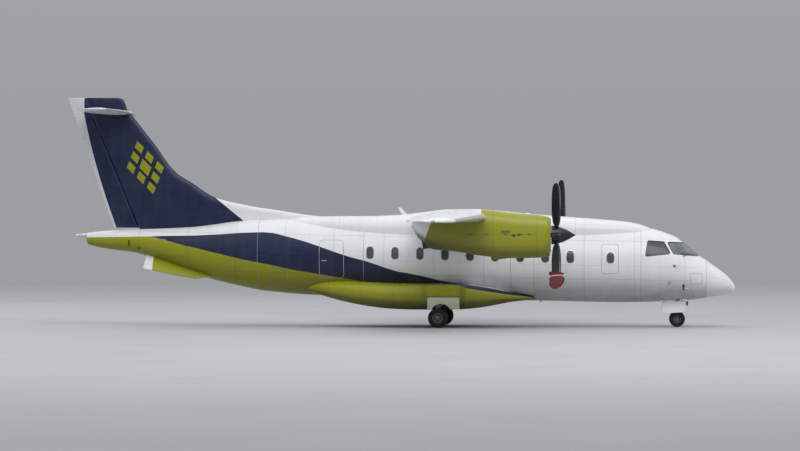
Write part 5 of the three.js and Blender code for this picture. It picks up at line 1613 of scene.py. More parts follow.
# ============================================================ tail
rud_r = line_through([r[0] for r in RUDDER], [r[1] for r in RUDDER])
hinge_s = lambda z: 18.95 + HINGE_LEAN * (z - 3.20)
rudder_end = lambda z: 19.68 + (21.11 - 19.68) / (7.24 - 3.22) * (z - 3.22)
fin_face = lambda z: hinge_s(z) - float(rud_r(z)) - MOVE_GAP
fin_shape = lambda f: math.sqrt(max(0.0, 1 - (1 - f / 0.32) ** 2.6)) if f < 0.32 else 1 - 0.05 * ((f - 0.32) / 0.30) ** 2
FIN_FR = np.concatenate([np.linspace(0, 0.36, 13) ** 2, np.linspace(0.16, 0.62, 9)])


def fin_ring(z, le, half):
    rear, rr = fin_face(z), float(rud_r(z))
    chord = rear - le
    side = []
    for f in FIN_FR:
        t = half * fin_shape(float(f))
        side.append((le + f * chord, max(t, rr) if f > 0.5 else t))
    side += [(le + 0.8 * chord, max(half * 0.9 * (0.5) + rr * 0.5, rr)), (rear, rr)]
    pts = side + [(s, -y) for s, y in reversed(side[1:])]
    return [(X(s), y, z) for s, y in pts]


fin_le = pchip([3.00, 3.44, 3.47] + [r[0] for r in FIN[1:]], [12.72, 12.78, 13.00] + [r[1] for r in FIN[1:]])
fin_half = pchip([r[0] for r in FIN], [r[2] for r in FIN])
fin_z = []
for a, b in zip(FIN[:-1], FIN[1:]):
    fin_z += list(np.linspace(a[0], b[0], 12 if b[0] < 4.1 else 9)[:-1])
fin_z.append(6.765)
fin = Geo().loft([fin_ring(z, float(fin_le(z)), float(fin_half(z))) for z in fin_z]).object("fin_skin", [M_FIN], 50)
put(fin, "airframe", ["vertical_fin"])
cap_le, cap_half = pchip([r[0] for r in FIN_CAP], [r[1] for r in FIN_CAP]), pchip([r[0] for r in FIN_CAP], [r[2] for r in FIN_CAP])
cap = Geo().loft([fin_ring(z, float(cap_le(z)), float(cap_half(z))) for z in list(np.linspace(6.765, 7.1, 6)) + list(np.linspace(7.11, 7.225, 8))]
                 + [fin_ring(7.235, 19.53, 0.020)])
cap = cap.object("fin_cap_skin", [M_FIN], 50)
put(cap, "airframe", ["fin_cap"])


def rudder_ring(z, k=1.0):
    h, e, r, ring = hinge_s(z), rudder_end(z), float(rud_r(z)) * k, []
    for i in range(11):
        a = math.pi / 2 + math.pi * i / 10
        ring.append((X(h + r * math.cos(a)), r * math.sin(a), z))
    ring.sort(key=lambda p: -p[1])
    n = 8
    low = [(X(h + (e - h) * i / n), -(r + (0.003 - r) * (i / n) ** 1.15), z) for i in range(1, n + 1)]
    return ring + low + [(x, -y, z) for x, y, z in reversed(low)]


rz = list(np.linspace(3.115, 7.20, 40))
rudder = Geo().loft([rudder_ring(3.115, 0.9)] + [rudder_ring(z) for z in rz[1:]] + [rudder_ring(7.225, 0.85), rudder_ring(7.238, 0.5)]).object("rudder_skin", [M_RUDDER], 50)
put(rudder, "rudder", ["rudder"])

tail_ys = [0.0] + list(np.linspace(0.17, 3.25, 16)) + [3.285, 3.31, 3.33, 3.343, 3.349]
half_rings = [foil_ring(*tail_row(y), 0.0) for y in tail_ys]
full = [r * np.array([1, -1, 1]) for r in reversed(half_rings[1:])] + half_rings
tail = Geo().loft(full).object("tailplane_skin", [M_TAIL], None)
el_nose = [ELEVATOR_S - nose_radius(y, ELEVATOR_S, tail_row, 0.0) - MOVE_GAP for y in ELEVATOR_Y]
el_bay = Geo().loft([[(X(el_nose[0]), ELEVATOR_Y[0] - MOVE_GAP, z), (X(el_nose[1]), ELEVATOR_Y[1] + MOVE_GAP, z),
                      (X(20.8), ELEVATOR_Y[1] + MOVE_GAP, z), (X(20.8), ELEVATOR_Y[0] - MOVE_GAP, z)] for z in (6.4, 7.1)], smooth=False)
boolean(tail, union_geo([el_bay, el_bay.mirrored(), Geo().block((X(20.9), -0.30, 6.5), (X(20.28), 0.30, 7.0))]))
tail.data.polygons.foreach_set("use_smooth", np.ones(len(tail.data.polygons), bool))
tail.data.set_sharp_from_angle(angle=math.radians(32))
put(tail, "airframe", ["tailplane"])
ys = list(np.linspace(*ELEVATOR_Y, 14))
elevator = Geo().loft(moving_surface(tail_row, [ELEVATOR_S] * len(ys), ys, 0.0))
for y in (1.0, 2.0, 3.0):
    wick(wicks_elev, (X(tail_row(y)[2] - 0.01), y, TAIL_Z), (-1, 0, 0))
for tag, flip in (("left", lambda g: g), ("right", lambda g: g.mirrored())):
    put(flip(elevator).object("elevator_skin_" + tag, [M_TAIL]), "elevator_" + tag, ["elevator_" + tag])
    put(flip(wicks_elev).object("elevator_static_wicks_" + tag, [M_ALU, M_RUBBER]), "elevator_" + tag)
for z in (4.6, 5.4, 6.2):
    wick(wicks_rud, (X(rudder_end(z) - 0.01), 0, z), (-1, 0, -0.1))
put(wicks_rud.object("rudder_static_wicks", [M_ALU, M_RUBBER]), "rudder")

# ventral fins: thin slanted blades with rounded edges
VENTRAL = [(16.25, 0.36, 1.60), (16.95, 0.64, 1.50), (18.62, 0.64, 1.83), (18.55, 0.22, 2.30)]
c = [Vector((X(s), y, z)) for s, y, z in VENTRAL]
vn = (c[1] - c[0]).cross(c[3] - c[0]).normalized()


def ventral_ring(k, off):
    centre = sum(c, Vector()) / 4
    # low edge curves in towards its front, as a swept strake does
    outline = [c[0], c[0].lerp(c[1], 0.45) + Vector((0, 0.0, -0.012)), c[1], c[1].lerp(c[2], 0.5) + Vector((0, 0.01, -0.015)), c[2], c[2].lerp(c[3], 0.5), c[3]]
    return [tuple(centre + (p - centre) * k + vn * off) for p in outline]


ventral = Geo().loft([ventral_ring(0.94, -0.014), ventral_ring(0.985, -0.010), ventral_ring(1.0, 0.0), ventral_ring(0.985, 0.010), ventral_ring(0.94, 0.014)], smooth=True)
put(ventral.object("ventral_fin_skin_left", [M_VENTRAL], 60), "airframe", ["ventral_fin_left"])
put(ventral.mirrored().object("ventral_fin_skin_right", [M_VENTRAL], 60), "airframe", ["ventral_fin_right"])

# ============================================================ landing gear pods
pod = Geo().loft([gear_pod.ring(s, 96) for s in stations(6.30, 13.40, 0.07)])
pod_r = pod.mirrored().object("gear_pod_right", [M_LIME, M_RECESS_SHADE])
pod = pod.object("gear_pod_left", [M_LIME, M_RECESS_SHADE])
MB = (8.555, 9.564, 1.22, 1.80, 1.20, 0.955)


def bay_tool():
    return [Geo().block((X(MB[1]), MB[2], 0.3), (X(MB[0]), MB[3], MB[4])), Geo().block((X(MB[1]), MB[3] - 0.02, 0.3), (X(MB[0]), 2.2, MB[5]))]


for o, tag in ((pod, "left"), (pod_r, "right")):
    for t in bay_tool():
        boolean(o, t if tag == "left" else t.mirrored())
    put(o, "airframe", ["gear_fairing_" + tag])
    true_normals(o, [(gear_pod, True)])
    # inside of the wheel bay: faces away from the outer surface get the near-black lining, painted shade of the deep
    # bay
    me = o.data
    for p in me.polygons:
        cx, cy, cz = p.center
        s, ay = X0 - cx, abs(cy)
        if MB[0] - 0.002 < s < MB[1] + 0.002 and MB[2] - 0.002 < ay < 2.0 and cz < MB[4] + 0.002:
            if abs(float(gear_pod.level(s, ay, cz)) - 1) > 0.03:
                p.material_index = 1

# the gear door's outline on the pod side, a dark line
pod_panel = Geo()
for tag, side in (("left", 1), ("right", -1)):
    shell = Geo().loft([gear_pod.ring(s, 96, 0.0022) for s in stations(8.2, 10.1, 0.07)]
                       + [gear_pod.ring(s, 96, -0.008) for s in reversed(stations(8.2, 10.1, 0.07))], caps=(False, False))
    rr = [gear_pod.ring(s, 96, 0.0022) for s in stations(8.2, 10.1, 0.07)] + [gear_pod.ring(s, 96, -0.008) for s in reversed(stations(8.2, 10.1, 0.07))]
    k, total = 96, len(rr)
    faces = []
    for r in range(total):
        q = (r + 1) % total
        for i in range(k):
            j = (i + 1) % k
            faces.append((r * k + i, r * k + j, q * k + j, q * k + i))
    g = Geo().add(np.concatenate(rr), faces, 0, True, outward=True)
    g = g if side > 0 else g.mirrored()
    o = g.object("pod_hatch_outline_" + tag, [M_SEAL])
    outl = rounded(rect(8.545, 9.615, 0.968, 1.330), 0.03)
    boolean(o, side_ring(grown(outl, 0.006), grown(outl, -0.006), *sorted((1.4 * side, 2.2 * side))), "INTERSECT")
    put(o, "airframe")

# ============================================================ nacelles
front = []
body_rings = [nacelle.ring(s, 96) for s in [5.725, 5.74, 5.76, 5.79, 5.83, 5.88, 5.94, 6.0] + stations(6.08, 9.90, 0.07)]
for ds, g in ((0.030, -0.055), (0.010, -0.040), (0.0, -0.020), (0.004, -0.004)):
    r = nacelle.ring(5.725, 96, g)
    r[:, 0] = X(5.692 + ds)
    front.append(r)
nac = Geo().loft(front[1:] + body_rings[1:])
nac_l = nac.object("nacelle_skin_left", [M_NACELLE, M_RECESS_SHADE])
nac_r = nac.mirrored().object("nacelle_skin_right", [M_NACELLE, M_RECESS_SHADE])
scoop = Body([[5.60, 2.475, 2.275, 0.205], [6.70, 2.475, 2.275, 0.205]], 2.6, middle=PROP_Y)
hollow = [body_solid(scoop, 5.60, 6.55, 0.3, 48), Geo().lathe([(0, -0.3), (0.250, -0.3), (0.250, 0.03), (0, 0.03)], (X(5.80), PROP_Y, PROP_Z), (1, 0, 0), 48)]
ex_dir = Vector((X(9.58) - X(7.85), 0, 2.60 - 2.83)).normalized()
ex_axis = lambda s: Vector((X(s), PROP_Y, 2.83 + (s - 7.85) * (2.60 - 2.83) / 1.73))
hollow.append(Geo().lathe([(0, 0), (0.156, 0), (0.156, 2.2), (0, 2.2)], ex_axis(8.9), ex_dir, 40))
hollow.append(body_solid(nacelle, 5.84, 6.02, 0.06, 48, -0.10))
for o, tag in ((nac_l, "left"), (nac_r, "right")):
    for hh in hollow[:3]:
        boolean(o, hh if tag == "left" else hh.mirrored())
    put(o, "airframe", ["nacelle_" + tag])
    true_normals(o, [(nacelle, True)])
    # faces inside the intake, the exhaust bore and the recess behind the spinner get the near-black lining, painted
    # shade
    for p in o.data.polygons:
        cx, cy, cz = p.center
        s, ay = X0 - cx, abs(cy)
        if abs(float(nacelle.level(s, ay, cz)) - 1) > 0.05 and s > 5.74:
            p.material_index = 1

for side, tag in ((1, "left"), (-1, "right")):
    g = Geo()
    # bright lip round the chin intake
    lip = []
    for dr, ds in ((0.0, 0.020), (0.006, -0.002), (0.020, -0.010), (0.034, -0.002), (0.040, 0.020)):
        r = scoop.ring(5.8, 48, dr)
        r[:, 0] = X(5.716 + ds + 0.004)
        lip.append(r)
    g.loft(lip, 0, caps=(False, False))
    # shaft ring behind the spinner
    g.lathe([(0.220, 0.0), (0.254, 0.0), (0.254, 0.012), (0.220, 0.012), (0.220, 0.0)], (X(5.725), PROP_Y, PROP_Z), (1, 0, 0), 48, 1)
    # intake splitter and screen deep inside
    for k in range(-2, 3):
        g.tube([(X(6.15), PROP_Y + k * 0.065, 2.29), (X(6.15), PROP_Y + k * 0.065, 2.46)], 0.005, 6, 1)
    put((g if side > 0 else g.mirrored()).object("intake_lip_" + tag, [M_LIP, M_ENGINE]), "airframe")

    # cowling latches, louvres, side scoop and drain pipes
    g = Geo()
    for s in (6.34, 6.58, 7.05, 7.62, 8.1):
        for sd in (1, -1):
            p, n = nacelle.point(s, 2.90, sd)
            on = Geo()
            t = Vector((1, 0, 0)); t = (t - n * t.dot(n)).normalized(); b = n.cross(t)
            on.loft([[tuple(p + n * o + t * (u * 0.045) + b * (v * 0.014)) for u, v in ((-1, -1), (1, -1), (1, 1), (-1, 1))] for o in (-0.004, 0.003)], 1, False)
            g.extend(on)
    for k in range(6):
        for sd in (1, -1):
            s = 6.92 + k * 0.046
            p, n = nacelle.point(s, 2.975, sd)
            g.loft([[tuple(p + n * o + Vector((-w, 0, dz))) for w, dz in ((0, -0.040), (0.024, -0.040), (0.024, 0.040), (0, 0.040))] for o in (-0.006, 0.007)], 1, False)
    for sd, s in ((1, 6.80), (-1, 6.80), (1, 6.645), (-1, 6.645)):
        p, n = nacelle.point(s, 2.865 if s > 6.7 else 2.885, sd)
        t = Vector((1, 0, 0)); t = (t - n * t.dot(n)).normalized(); b = n.cross(t)
        oval = [((0.062 if s > 6.7 else 0.040) * math.cos(a), 0.038 * math.sin(a)) for a in (2 * math.pi * i / 24 for i in range(24))]
        g.loft([[tuple(p + n * o + t * (u * q) + b * (v * q)) for u, v in oval] for o, q in ((-0.004, 1.0), (0.0030, 1.0), (0.0045, 0.88), (0.0052, 0.5), (0.0054, 0.1))], 1)
    # oil cooler outlet under the cowl
    g.loft([[tuple(Vector((X(s), PROP_Y + w * math.cos(a), float(nacelle.bottom(s)) + 0.02 - hgt * max(0.0, -math.sin(a)))))
             for a in (2 * math.pi * i / 20 for i in range(20))] for s, w, hgt in ((6.95, 0.03, 0.01), (7.05, 0.10, 0.045), (7.25, 0.13, 0.075), (7.46, 0.13, 0.085))], 2)
    g.tube([(X(7.9), PROP_Y + 0.12, float(nacelle.bottom(7.9)) + 0.02), (X(7.92), PROP_Y + 0.12, float(nacelle.bottom(7.9)) - 0.05), (X(7.97), PROP_Y + 0.12, float(nacelle.bottom(7.9)) - 0.07)], 0.010, 8, 3)
    g.tube([(X(8.25), PROP_Y - 0.08, float(nacelle.bottom(8.25)) + 0.02), (X(8.27), PROP_Y - 0.08, float(nacelle.bottom(8.25)) - 0.06), (X(8.33), PROP_Y - 0.08, float(nacelle.bottom(8.25)) - 0.08)], 0.012, 8, 3)
    put((g if side > 0 else g.mirrored()).object("nacelle_fittings_" + tag, [M_ALU, M_SEAL, M_NACELLE, M_GEAR]), "airframe")

    # exhaust stub with a rolled lip
    g = Geo()
    g.lathe([(0.132, 0.30), (0.134, 0.0), (0.150, 0.0), (0.150, 0.60), (0.153, 0.612), (0.150, 0.622), (0.141, 0.622), (0.136, 0.610), (0.134, 0.30)],
            ex_axis(8.96), ex_dir, 48, 0)
    # a near-black disc closes the pipe a little way in: painted shade of its depth
    g.lathe([(0, 0.05), (0.133, 0.05), (0.133, 0.06), (0, 0.06)], ex_axis(8.96), ex_dir, 32, 1)
    put((g if side > 0 else g.mirrored()).object("exhaust_pipe_" + tag, [M_EXHAUST, M_RECESS_SHADE]), "airframe", ["exhaust_" + tag])

for tag in ("left", "right"):
    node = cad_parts["engine_" + tag]
    node.data.materials.clear()
    node.data.materials.append(M_ENGINE)

# ============================================================ propellers
b_r = [r[0] for r in BLADE]
chord_at, thick_at, pitch_at = pchip(b_r, [r[1] for r in BLADE]), pchip(b_r, [r[2] for r in BLADE]), pchip(b_r, [r[3] for r in BLADE])


def blade_section(r, n=14):
    """Section points (x ahead, side) at a radius: round at the shank, an aerofoil further out."""
    chord, thick, p = float(chord_at(r)), float(thick_at(r)), math.radians(float(pitch_at(r)))
    u = np.linspace(0, 1, n)
    f = u**2 * (3 - 2 * u)
    half = 2.6 * (0.2969 * np.sqrt(f) - 0.126 * f - 0.3516 * f**2 + 0.2843 * f**3 - 0.1015 * f**4)
    half = half / half.max() / 2
    camber = 0.16 * f * (1 - f) * 4 * 0.5
    pts = [(-0.45 * chord + ff * chord, (cc + hh) * thick) for ff, hh, cc in zip(f, half, camber)]
    pts += [(-0.45 * chord + ff * chord, (cc * 0.6 - hh * 0.8) * thick) for ff, hh, cc in zip(f[::-1][1:-1], half[::-1][1:-1], camber[::-1][1:-1])]
    k = min(1.0, max(0.0, (r - 0.235) / 0.20))
    k = k * k * (3 - 2 * k)
    m = len(pts)
    out = []
    for i, (a, t) in enumerate(pts):
        ang = math.pi - 2 * math.pi * i / m
        ca, ct = 0.050 * math.cos(ang), 0.050 * math.sin(ang)
        a, t = ca + (a - ca) * k, ct + (t - ct) * k
        out.append((-a * math.sin(p) + t * math.cos(p), a * math.cos(p) + t * math.sin(p)))
    return out


def propeller(first, side, tag):
    g, n = Geo(), 14
    rs = [0.16, 0.20, 0.235] + list(np.linspace(0.26, 0.50, 9)) + list(np.linspace(0.56, 1.68, 20)) + [1.72, 1.75, 1.775, 1.79, 1.797]
    for kb in range(BLADES):
        a = math.radians(first + 60 * kb)
        ca, sa = math.cos(a), math.sin(a)
        put3 = lambda x, yy, r: (X(PROP_S) + x, PROP_Y + yy * ca - r * sa, PROP_Z + yy * sa + r * ca)
        rings = []
        for i, r in enumerate(rs):
            sec = blade_section(min(r, 1.798), n)
            if r > 1.78:
                q = math.sqrt(max(0.02, 1 - ((r - 1.78) / 0.02) ** 2))
                mx = sum(s[0] for s in sec) / len(sec)
                my = sum(s[1] for s in sec) / len(sec)
                sec = [(mx + (s[0] - mx) * q, my + (s[1] - my) * q) for s in sec]
            rings.append([put3(x, yy, r) for x, yy in sec])
        g.loft(rings, 0)
        # metal edge strip outboard and rubber heater inboard, wrapped round the leading edge
        for r0, r1, mat, wrap, off in ((0.92, 1.78, 1, 3, 0.0022), (0.30, 0.90, 2, 4, 0.0026)):
            strip = []
            for r in np.linspace(r0, r1, 14):
                sec = [Vector(s) for s in blade_section(r, n)]
                m = len(sec)
                centre = sum(sec, Vector((0, 0))) / m
                row = []
                for i in range(-wrap, wrap + 1):
                    p = sec[i % m]
                    d = sec[(i + 1) % m] - sec[(i - 1) % m]
                    nn = Vector((d.y, -d.x)).normalized()
                    if nn.dot(p - centre) < 0:
                        nn = -nn
                    o = 0.0 if abs(i) == wrap else off
                    row.append(put3(p.x + nn.x * o, p.y + nn.y * o, r))
                strip.append(row)
            g.loft(strip, mat, closed=False, caps=(False, False))
        # blade root collar
        g.tube([put3(0, 0, 0.17), put3(0, 0, 0.215)], 0.066, 24, 3)
        g.tube([put3(0, 0, 0.215), put3(0, 0, 0.228)], [0.066, 0.058], 24, 3)
    g.lathe([(0, -0.13), (0.125, -0.13), (0.135, -0.10), (0.135, 0.10), (0.12, 0.13), (0, 0.13)], (X(PROP_S), PROP_Y, PROP_Z), (1, 0, 0), 36, 3)
    g.lathe([(0, -0.36), (0.07, -0.36), (0.07, -0.10), (0, -0.10)], (X(PROP_S), PROP_Y, PROP_Z), (1, 0, 0), 24, 3)
    if side < 0:
        g = g.mirrored()
    put(g.object("propeller_blades_" + tag, [M_BLADE, M_EROSION, M_HEATER, M_ENGINE]), "propeller_" + tag, ["propeller_" + tag])

    length = SPINNER_BASE_S - SPINNER_TIP_S
    prof = [(0.0, length), (0.010, length - 0.0015), (0.019, length - 0.007)]
    for u in np.linspace(0.055, 1, 28):
        prof.append((SPINNER_R * (1 - (1 - u) ** 1.8), length * (1 - u)))
    prof += [(0.2855, -0.004), (0.278, -0.012), (0.10, -0.012), (0.10, 0.05), (0.14, 0.06), (0.14, 0.28), (0, 0.31)]
    sg = Geo().lathe(prof, (X(SPINNER_BASE_S), PROP_Y, PROP_Z), (1, 0, 0), 72)
    so = sg.object("spinner_tool", [M_SPINNER])
    holes = []
    for kb in range(BLADES):
        a = math.radians(first + 60 * kb)
        d = Vector((0, -math.sin(a), math.cos(a)))
        o = Vector((X(PROP_S), PROP_Y, PROP_Z))
        holes.append(Geo().tube([o + d * 0.17, o + d * 0.40], 0.072, 28))
    for hole in holes:
        boolean(so, hole)
    if side < 0:
        me = so.data
        co = np.empty(len(me.vertices) * 3)
        me.vertices.foreach_get("co", co)
        co = co.reshape(-1, 3)
        co[:, 1] *= -1
        me.vertices.foreach_set("co", co.ravel())
        me.flip_normals()
    so.name = "spinner_shell_" + tag
    so.data.polygons.foreach_set("use_smooth", np.ones(len(so.data.polygons), bool))
    so.data.set_sharp_from_angle(angle=math.radians(35))
    put(so, "propeller_" + tag, ["spinner_" + tag])


propeller(0, 1, "left")
propeller(30, -1, "right")


# red cloth sleeves pulled over the two lower blades of the starboard propeller, with pale tie bands
def red_cloth():
    k = Mat("red_sleeve_cloth")
    fade = k.ramp(k.noise(6, 5, 0.6), 0.3, 0.75)
    weave = k.mul(k.every(k.x, 0.0032, 0.0010), k.every(k.z, 0.0032, 0.0010))
    colour = k.mix(k.mul(fade, 0.60), (0.105, 0.009, 0.018), (0.205, 0.045, 0.055))
    colour = k.mix(k.mul(weave, 0.35), colour, (0.050, 0.005, 0.010))
    k.set(Base_Color=colour, Roughness=k.ramp(k.noise(20, 4), 0.3, 0.7, 0.75, 0.92), Normal=k.bump(k.add(k.mul(weave, 0.4), k.noise(26, 4, 0.6)), 0.30, 0.004))
    k.b.inputs["Sheen Weight"].default_value = 0.25
    k.b.inputs["Sheen Roughness"].default_value = 0.5
    return k.m


def webbing():
    k = Mat("tie_webbing")
    ribs = k.every(k.add(k.x, k.z), 0.0045, 0.0014)
    dirt = k.ramp(k.noise(14, 5, 0.6), 0.35, 0.75)
    colour = k.mix(k.mul(dirt, 0.5), (0.58, 0.54, 0.53), (0.30, 0.26, 0.25))
    k.set(Base_Color=colour, Roughness=k.ramp(k.noise(30, 3), 0.3, 0.7, 0.70, 0.88), Normal=k.bump(ribs, 0.4, 0.002))
    return k.m


M_SLEEVE, M_WEBBING = red_cloth(), webbing()
SLEEVE_R0, SLEEVE_L = 1.335, 0.535
sleeve_w = pchip([0, 0.05, 0.12, 0.17, 0.27, 0.55, 0.80, 0.93, 1.0], [0.236, 0.212, 0.172, 0.170, 0.206, 0.200, 0.156, 0.098, 0.034])
sleeve_h = pchip([0, 0.05, 0.12, 0.17, 0.27, 0.55, 0.80, 0.93, 1.0], [0.070, 0.050, 0.028, 0.027, 0.048, 0.046, 0.032, 0.018, 0.005])


def sleeve_point(kb, t, th, off=0.0):
    a0 = math.radians(30 + 60 * kb)
    ca, sa = math.cos(a0), math.sin(a0)
    r = SLEEVE_R0 + SLEEVE_L * t
    p, chord = math.radians(float(pitch_at(min(r, 1.8)))), float(chord_at(min(r, 1.8)))
    w, h = float(sleeve_w(t)), float(sleeve_h(t))
    gather = math.exp(-((t - 0.145) / 0.07) ** 2)
    loose = min(1.0, t / 0.2) * (1 - t) + 0.25
    fold = 1 + 0.060 * loose * math.sin(3 * th + 5.0 * t + 1.7 * kb) + 0.045 * loose * math.sin(7 * th - 9.0 * t + kb) + 0.05 * gather * math.sin(16 * th + kb)
    a = 0.05 * chord + (w * fold + off) * math.cos(th) + 0.016 * math.sin(6.0 * t + kb)
    b = (h * (1 + 2.2 * (fold - 1)) + off) * math.sin(th)
    x, yy = -a * math.sin(p) + b * math.cos(p), a * math.cos(p) + b * math.sin(p)
    return X(PROP_S) + x, -(PROP_Y + yy * ca - r * sa), PROP_Z + yy * sa + r * ca


for kb in (2, 3):
    turn = [2 * math.pi * i / 72 for i in range(72)]
    ts = list(np.linspace(0, 1, 46))
    skin = [[sleeve_point(kb, t, th) for th in turn] for t in ts]
    lining_ = [[sleeve_point(kb, t, th, -0.0016) for th in turn] for t in ts[:-1]]
    cloth = Geo().loft(lining_[::-1] + skin).object("propeller_sleeve_%d" % (kb - 1), [M_SLEEVE])
    put(cloth, "propeller_right")
    area = sum((Vector(skin[i][j]) - Vector(skin[i + 1][j])).length * (Vector(skin[i][j]) - Vector(skin[i][j - 1])).length
               for i in range(len(ts) - 1) for j in range(len(turn)))
    band = Geo()
    rows = [[sleeve_point(kb, t, th, o) for th in turn] for t, o in ((0.118, 0.0005), (0.118, 0.0035), (0.172, 0.0035), (0.172, 0.0005))]
    band.loft(rows + [rows[0]], caps=(False, False))
    put(band.object("propeller_sleeve_band_%d" % (kb - 1), [M_WEBBING]), "propeller_right")

# ============================================================ landing gear
def wheel_rim(g, s, y, z, out, rim_r, half, holes, mat_rim=0, mat_bolt=1, mat_hole_shade=2):
    """One rim centred at y, its dished outer side facing out (+1 or -1)."""
    o = out
    prof = [(rim_r, -half), (rim_r + 0.012, -half - 0.004), (rim_r + 0.014, -half - 0.012), (rim_r - 0.004, -half - 0.014), (rim_r - 0.018, -half),
            (rim_r - 0.024, -half * 0.2), (rim_r * 0.62, half * 0.10), (rim_r * 0.50, half * 0.42), (rim_r * 0.34, half * 0.52), (rim_r * 0.32, half * 0.90),
            (rim_r * 0.24, half * 1.02), (0, half * 1.02)]
    face = [(r, o * l) for r, l in prof if r <= rim_r - 0.018 or l > -half]
    dish = [(rim_r, -half), (rim_r, half), (rim_r + 0.011, half + 0.003), (rim_r + 0.012, half + 0.010), (rim_r - 0.003, half + 0.012), (rim_r - 0.014, half + 0.002),
            (rim_r - 0.020, half * 0.30), (rim_r * 0.66, half * 0.02), (rim_r * 0.46, half * 0.30), (rim_r * 0.34, half * 0.36),
            (rim_r * 0.32, half * 0.86), (rim_r * 0.26, half * 0.98), (0.0, half * 1.0)]
    back = [(0, -half * 0.9), (rim_r * 0.5, -half * 0.9), (rim_r - 0.02, -half * 0.9), (rim_r - 0.012, -half), (rim_r, -half)]
    prof = [(r, o * l) for r, l in back + dish[1:]]
    g.lathe(prof, (X(s), y, z), (0, 1, 0), 48, mat_rim)
    # lightening holes drawn as near-black discs, painted shade of the holes, with bolt heads between them
    for k in range(holes):
        a = 2 * math.pi * k / holes
        rr = rim_r * 0.66
        p = Vector((X(s) + rr * math.cos(a), y + o * half * 0.05, z + rr * math.sin(a)))
        g.lathe([(0, 0.0), (rim_r * 0.105, 0.0), (rim_r * 0.105, 0.006), (0, 0.006)], p, (0, o, 0), 12, mat_hole_shade)
        a2 = a + math.pi / holes
        rr = rim_r * 0.40
        p = Vector((X(s) + rr * math.cos(a2), y + o * half * 0.33, z + rr * math.sin(a2)))
        g.lathe([(0, 0.0), (0.007, 0.0), (0.007, 0.010), (0, 0.010)], p, (0, o, 0), 6, mat_bolt, False)


def tyre(s, y, r, w, rim_r):
    h = w / 2
    p = [(rim_r, -h * 0.78), (rim_r + 0.008, -h * 0.86), (rim_r + 0.024, -h * 0.95), (r * 0.70, -h * 1.0), (r * 0.78, -h * 1.0), (r * 0.86, -h * 0.965),
         (r * 0.925, -h * 0.86), (r * 0.965, -h * 0.72), (r * 0.988, -h * 0.56), (r * 0.996, -h * 0.44)]
    grooves = []
    for c0 in (-0.32, 0.0, 0.32):
        for dc, dr in ((-0.045, 0.0), (-0.035, -0.008), (0.035, -0.008), (0.045, 0.0)):
            grooves.append((r + dr, (c0 + dc) * h))
    prof = p + grooves + [(a, -b) for a, b in reversed(p)] + [p[0]]
    return Geo().lathe(prof, (X(s), y, r), (0, 1, 0), 72, 0)


def wheel_pair(name, s, yc, twin, tr, tw, rim_r, rim_half, axle_r, holes, body, node, tyre_nodes, tyre_mat):
    g = Geo()
    for side in (1, -1):
        wheel_rim(g, s, yc + side * twin, tr, side, rim_r - 0.001, rim_half, holes)
    g.lathe([(0, -twin + rim_half * 0.7), (axle_r, -twin + rim_half * 0.7), (axle_r, twin - rim_half * 0.7), (0, twin - rim_half * 0.7)], (X(s), yc, tr), (0, 1, 0), 24, 1)
    put(g.object(name, [M_WHEEL, M_ALU, M_RECESS_SHADE]), body, [node])
    for side, tn in tyre_nodes:
        t = tyre(s, yc + side * twin, tr, tw, rim_r + 0.001)
        put(t.object(tn + "_rubber", [tyre_mat]), body, [tn])


wheel_pair("nose_wheel_rims", NOSE_WHEEL_S, 0, NOSE_HALF_TRACK, NOSE_TYRE_R, NOSE_TYRE_W, 0.118, 0.058, 0.032, 8, "nose_wheel_pair",
           "nose_wheels", ((1, "nose_tyre_left"), (-1, "nose_tyre_right")), M_NOSE_TYRE)
wheel_pair("main_wheel_rims_left", MAIN_WHEEL_S, MAIN_Y, MAIN_HALF_TWIN, MAIN_TYRE_R, MAIN_TYRE_W, 0.150, 0.072, 0.045, 10, "main_wheel_pair_left",
           "main_wheels_left", ((1, "main_tyre_outer_left"), (-1, "main_tyre_inner_left")), M_MAIN_TYRE)
wheel_pair("main_wheel_rims_right", MAIN_WHEEL_S, -MAIN_Y, MAIN_HALF_TWIN, MAIN_TYRE_R, MAIN_TYRE_W, 0.150, 0.072, 0.045, 10, "main_wheel_pair_right",
           "main_wheels_right", ((-1, "main_tyre_outer_right"), (1, "main_tyre_inner_right")), M_MAIN_TYRE)


def P(s, y, z):
    return (X(s), y, z)


# main leg, port side first
leg = Geo()
s, y = MAIN_WHEEL_S, MAIN_Y
leg.lathe([(0, 0.52), (0.060, 0.52), (0.072, 0.535), (0.072, 0.60), (0.066, 0.61), (0.066, 0.92), (0.075, 0.93), (0.075, 1.02), (0.068, 1.03), (0.068, 1.195), (0, 1.195)], P(s, y, 0), (0, 0, 1), 32, 0)
leg.lathe([(0, 0.33), (0.043, 0.33), (0.043, 0.53), (0, 0.53)], P(s, y, 0), (0, 0, 1), 28, 1)
leg.lathe([(0.0485, -0.078), (0.072, -0.078), (0.078, -0.070), (0.078, 0.070), (0.072, 0.078), (0.0485, 0.078), (0.0485, -0.078)], P(s, y, MAIN_TYRE_R), (0, 1, 0), 32, 0)
leg.lathe([(0, 0.355), (0.058, 0.355), (0.058, 0.40), (0.047, 0.415), (0, 0.415)], P(s, y, 0), (0, 0, 1), 28, 0)
leg.tube([P(s, y, 0.62), P(8.98, y, 0.88), P(8.74, y, 1.15)], 0.030, 14, 0)
leg.tube([P(s - 0.05, y, 0.66), P(8.94, y, 0.92)], 0.040, 14, 0)
for dy in (-0.045, 0.045):   # torque links
    leg.tube([P(s + 0.06, y + dy, 0.60), P(s + 0.16, y + dy * 0.4, 0.46)], [0.020, 0.013], 10, 0)
    leg.tube([P(s + 0.16, y + dy * 0.4, 0.46), P(s + 0.055, y + dy, 0.37)], [0.013, 0.020], 10, 0)
leg.tube([P(s + 0.06, y - 0.06, 0.60), P(s + 0.06, y + 0.06, 0.60)], 0.016, 12, 2)
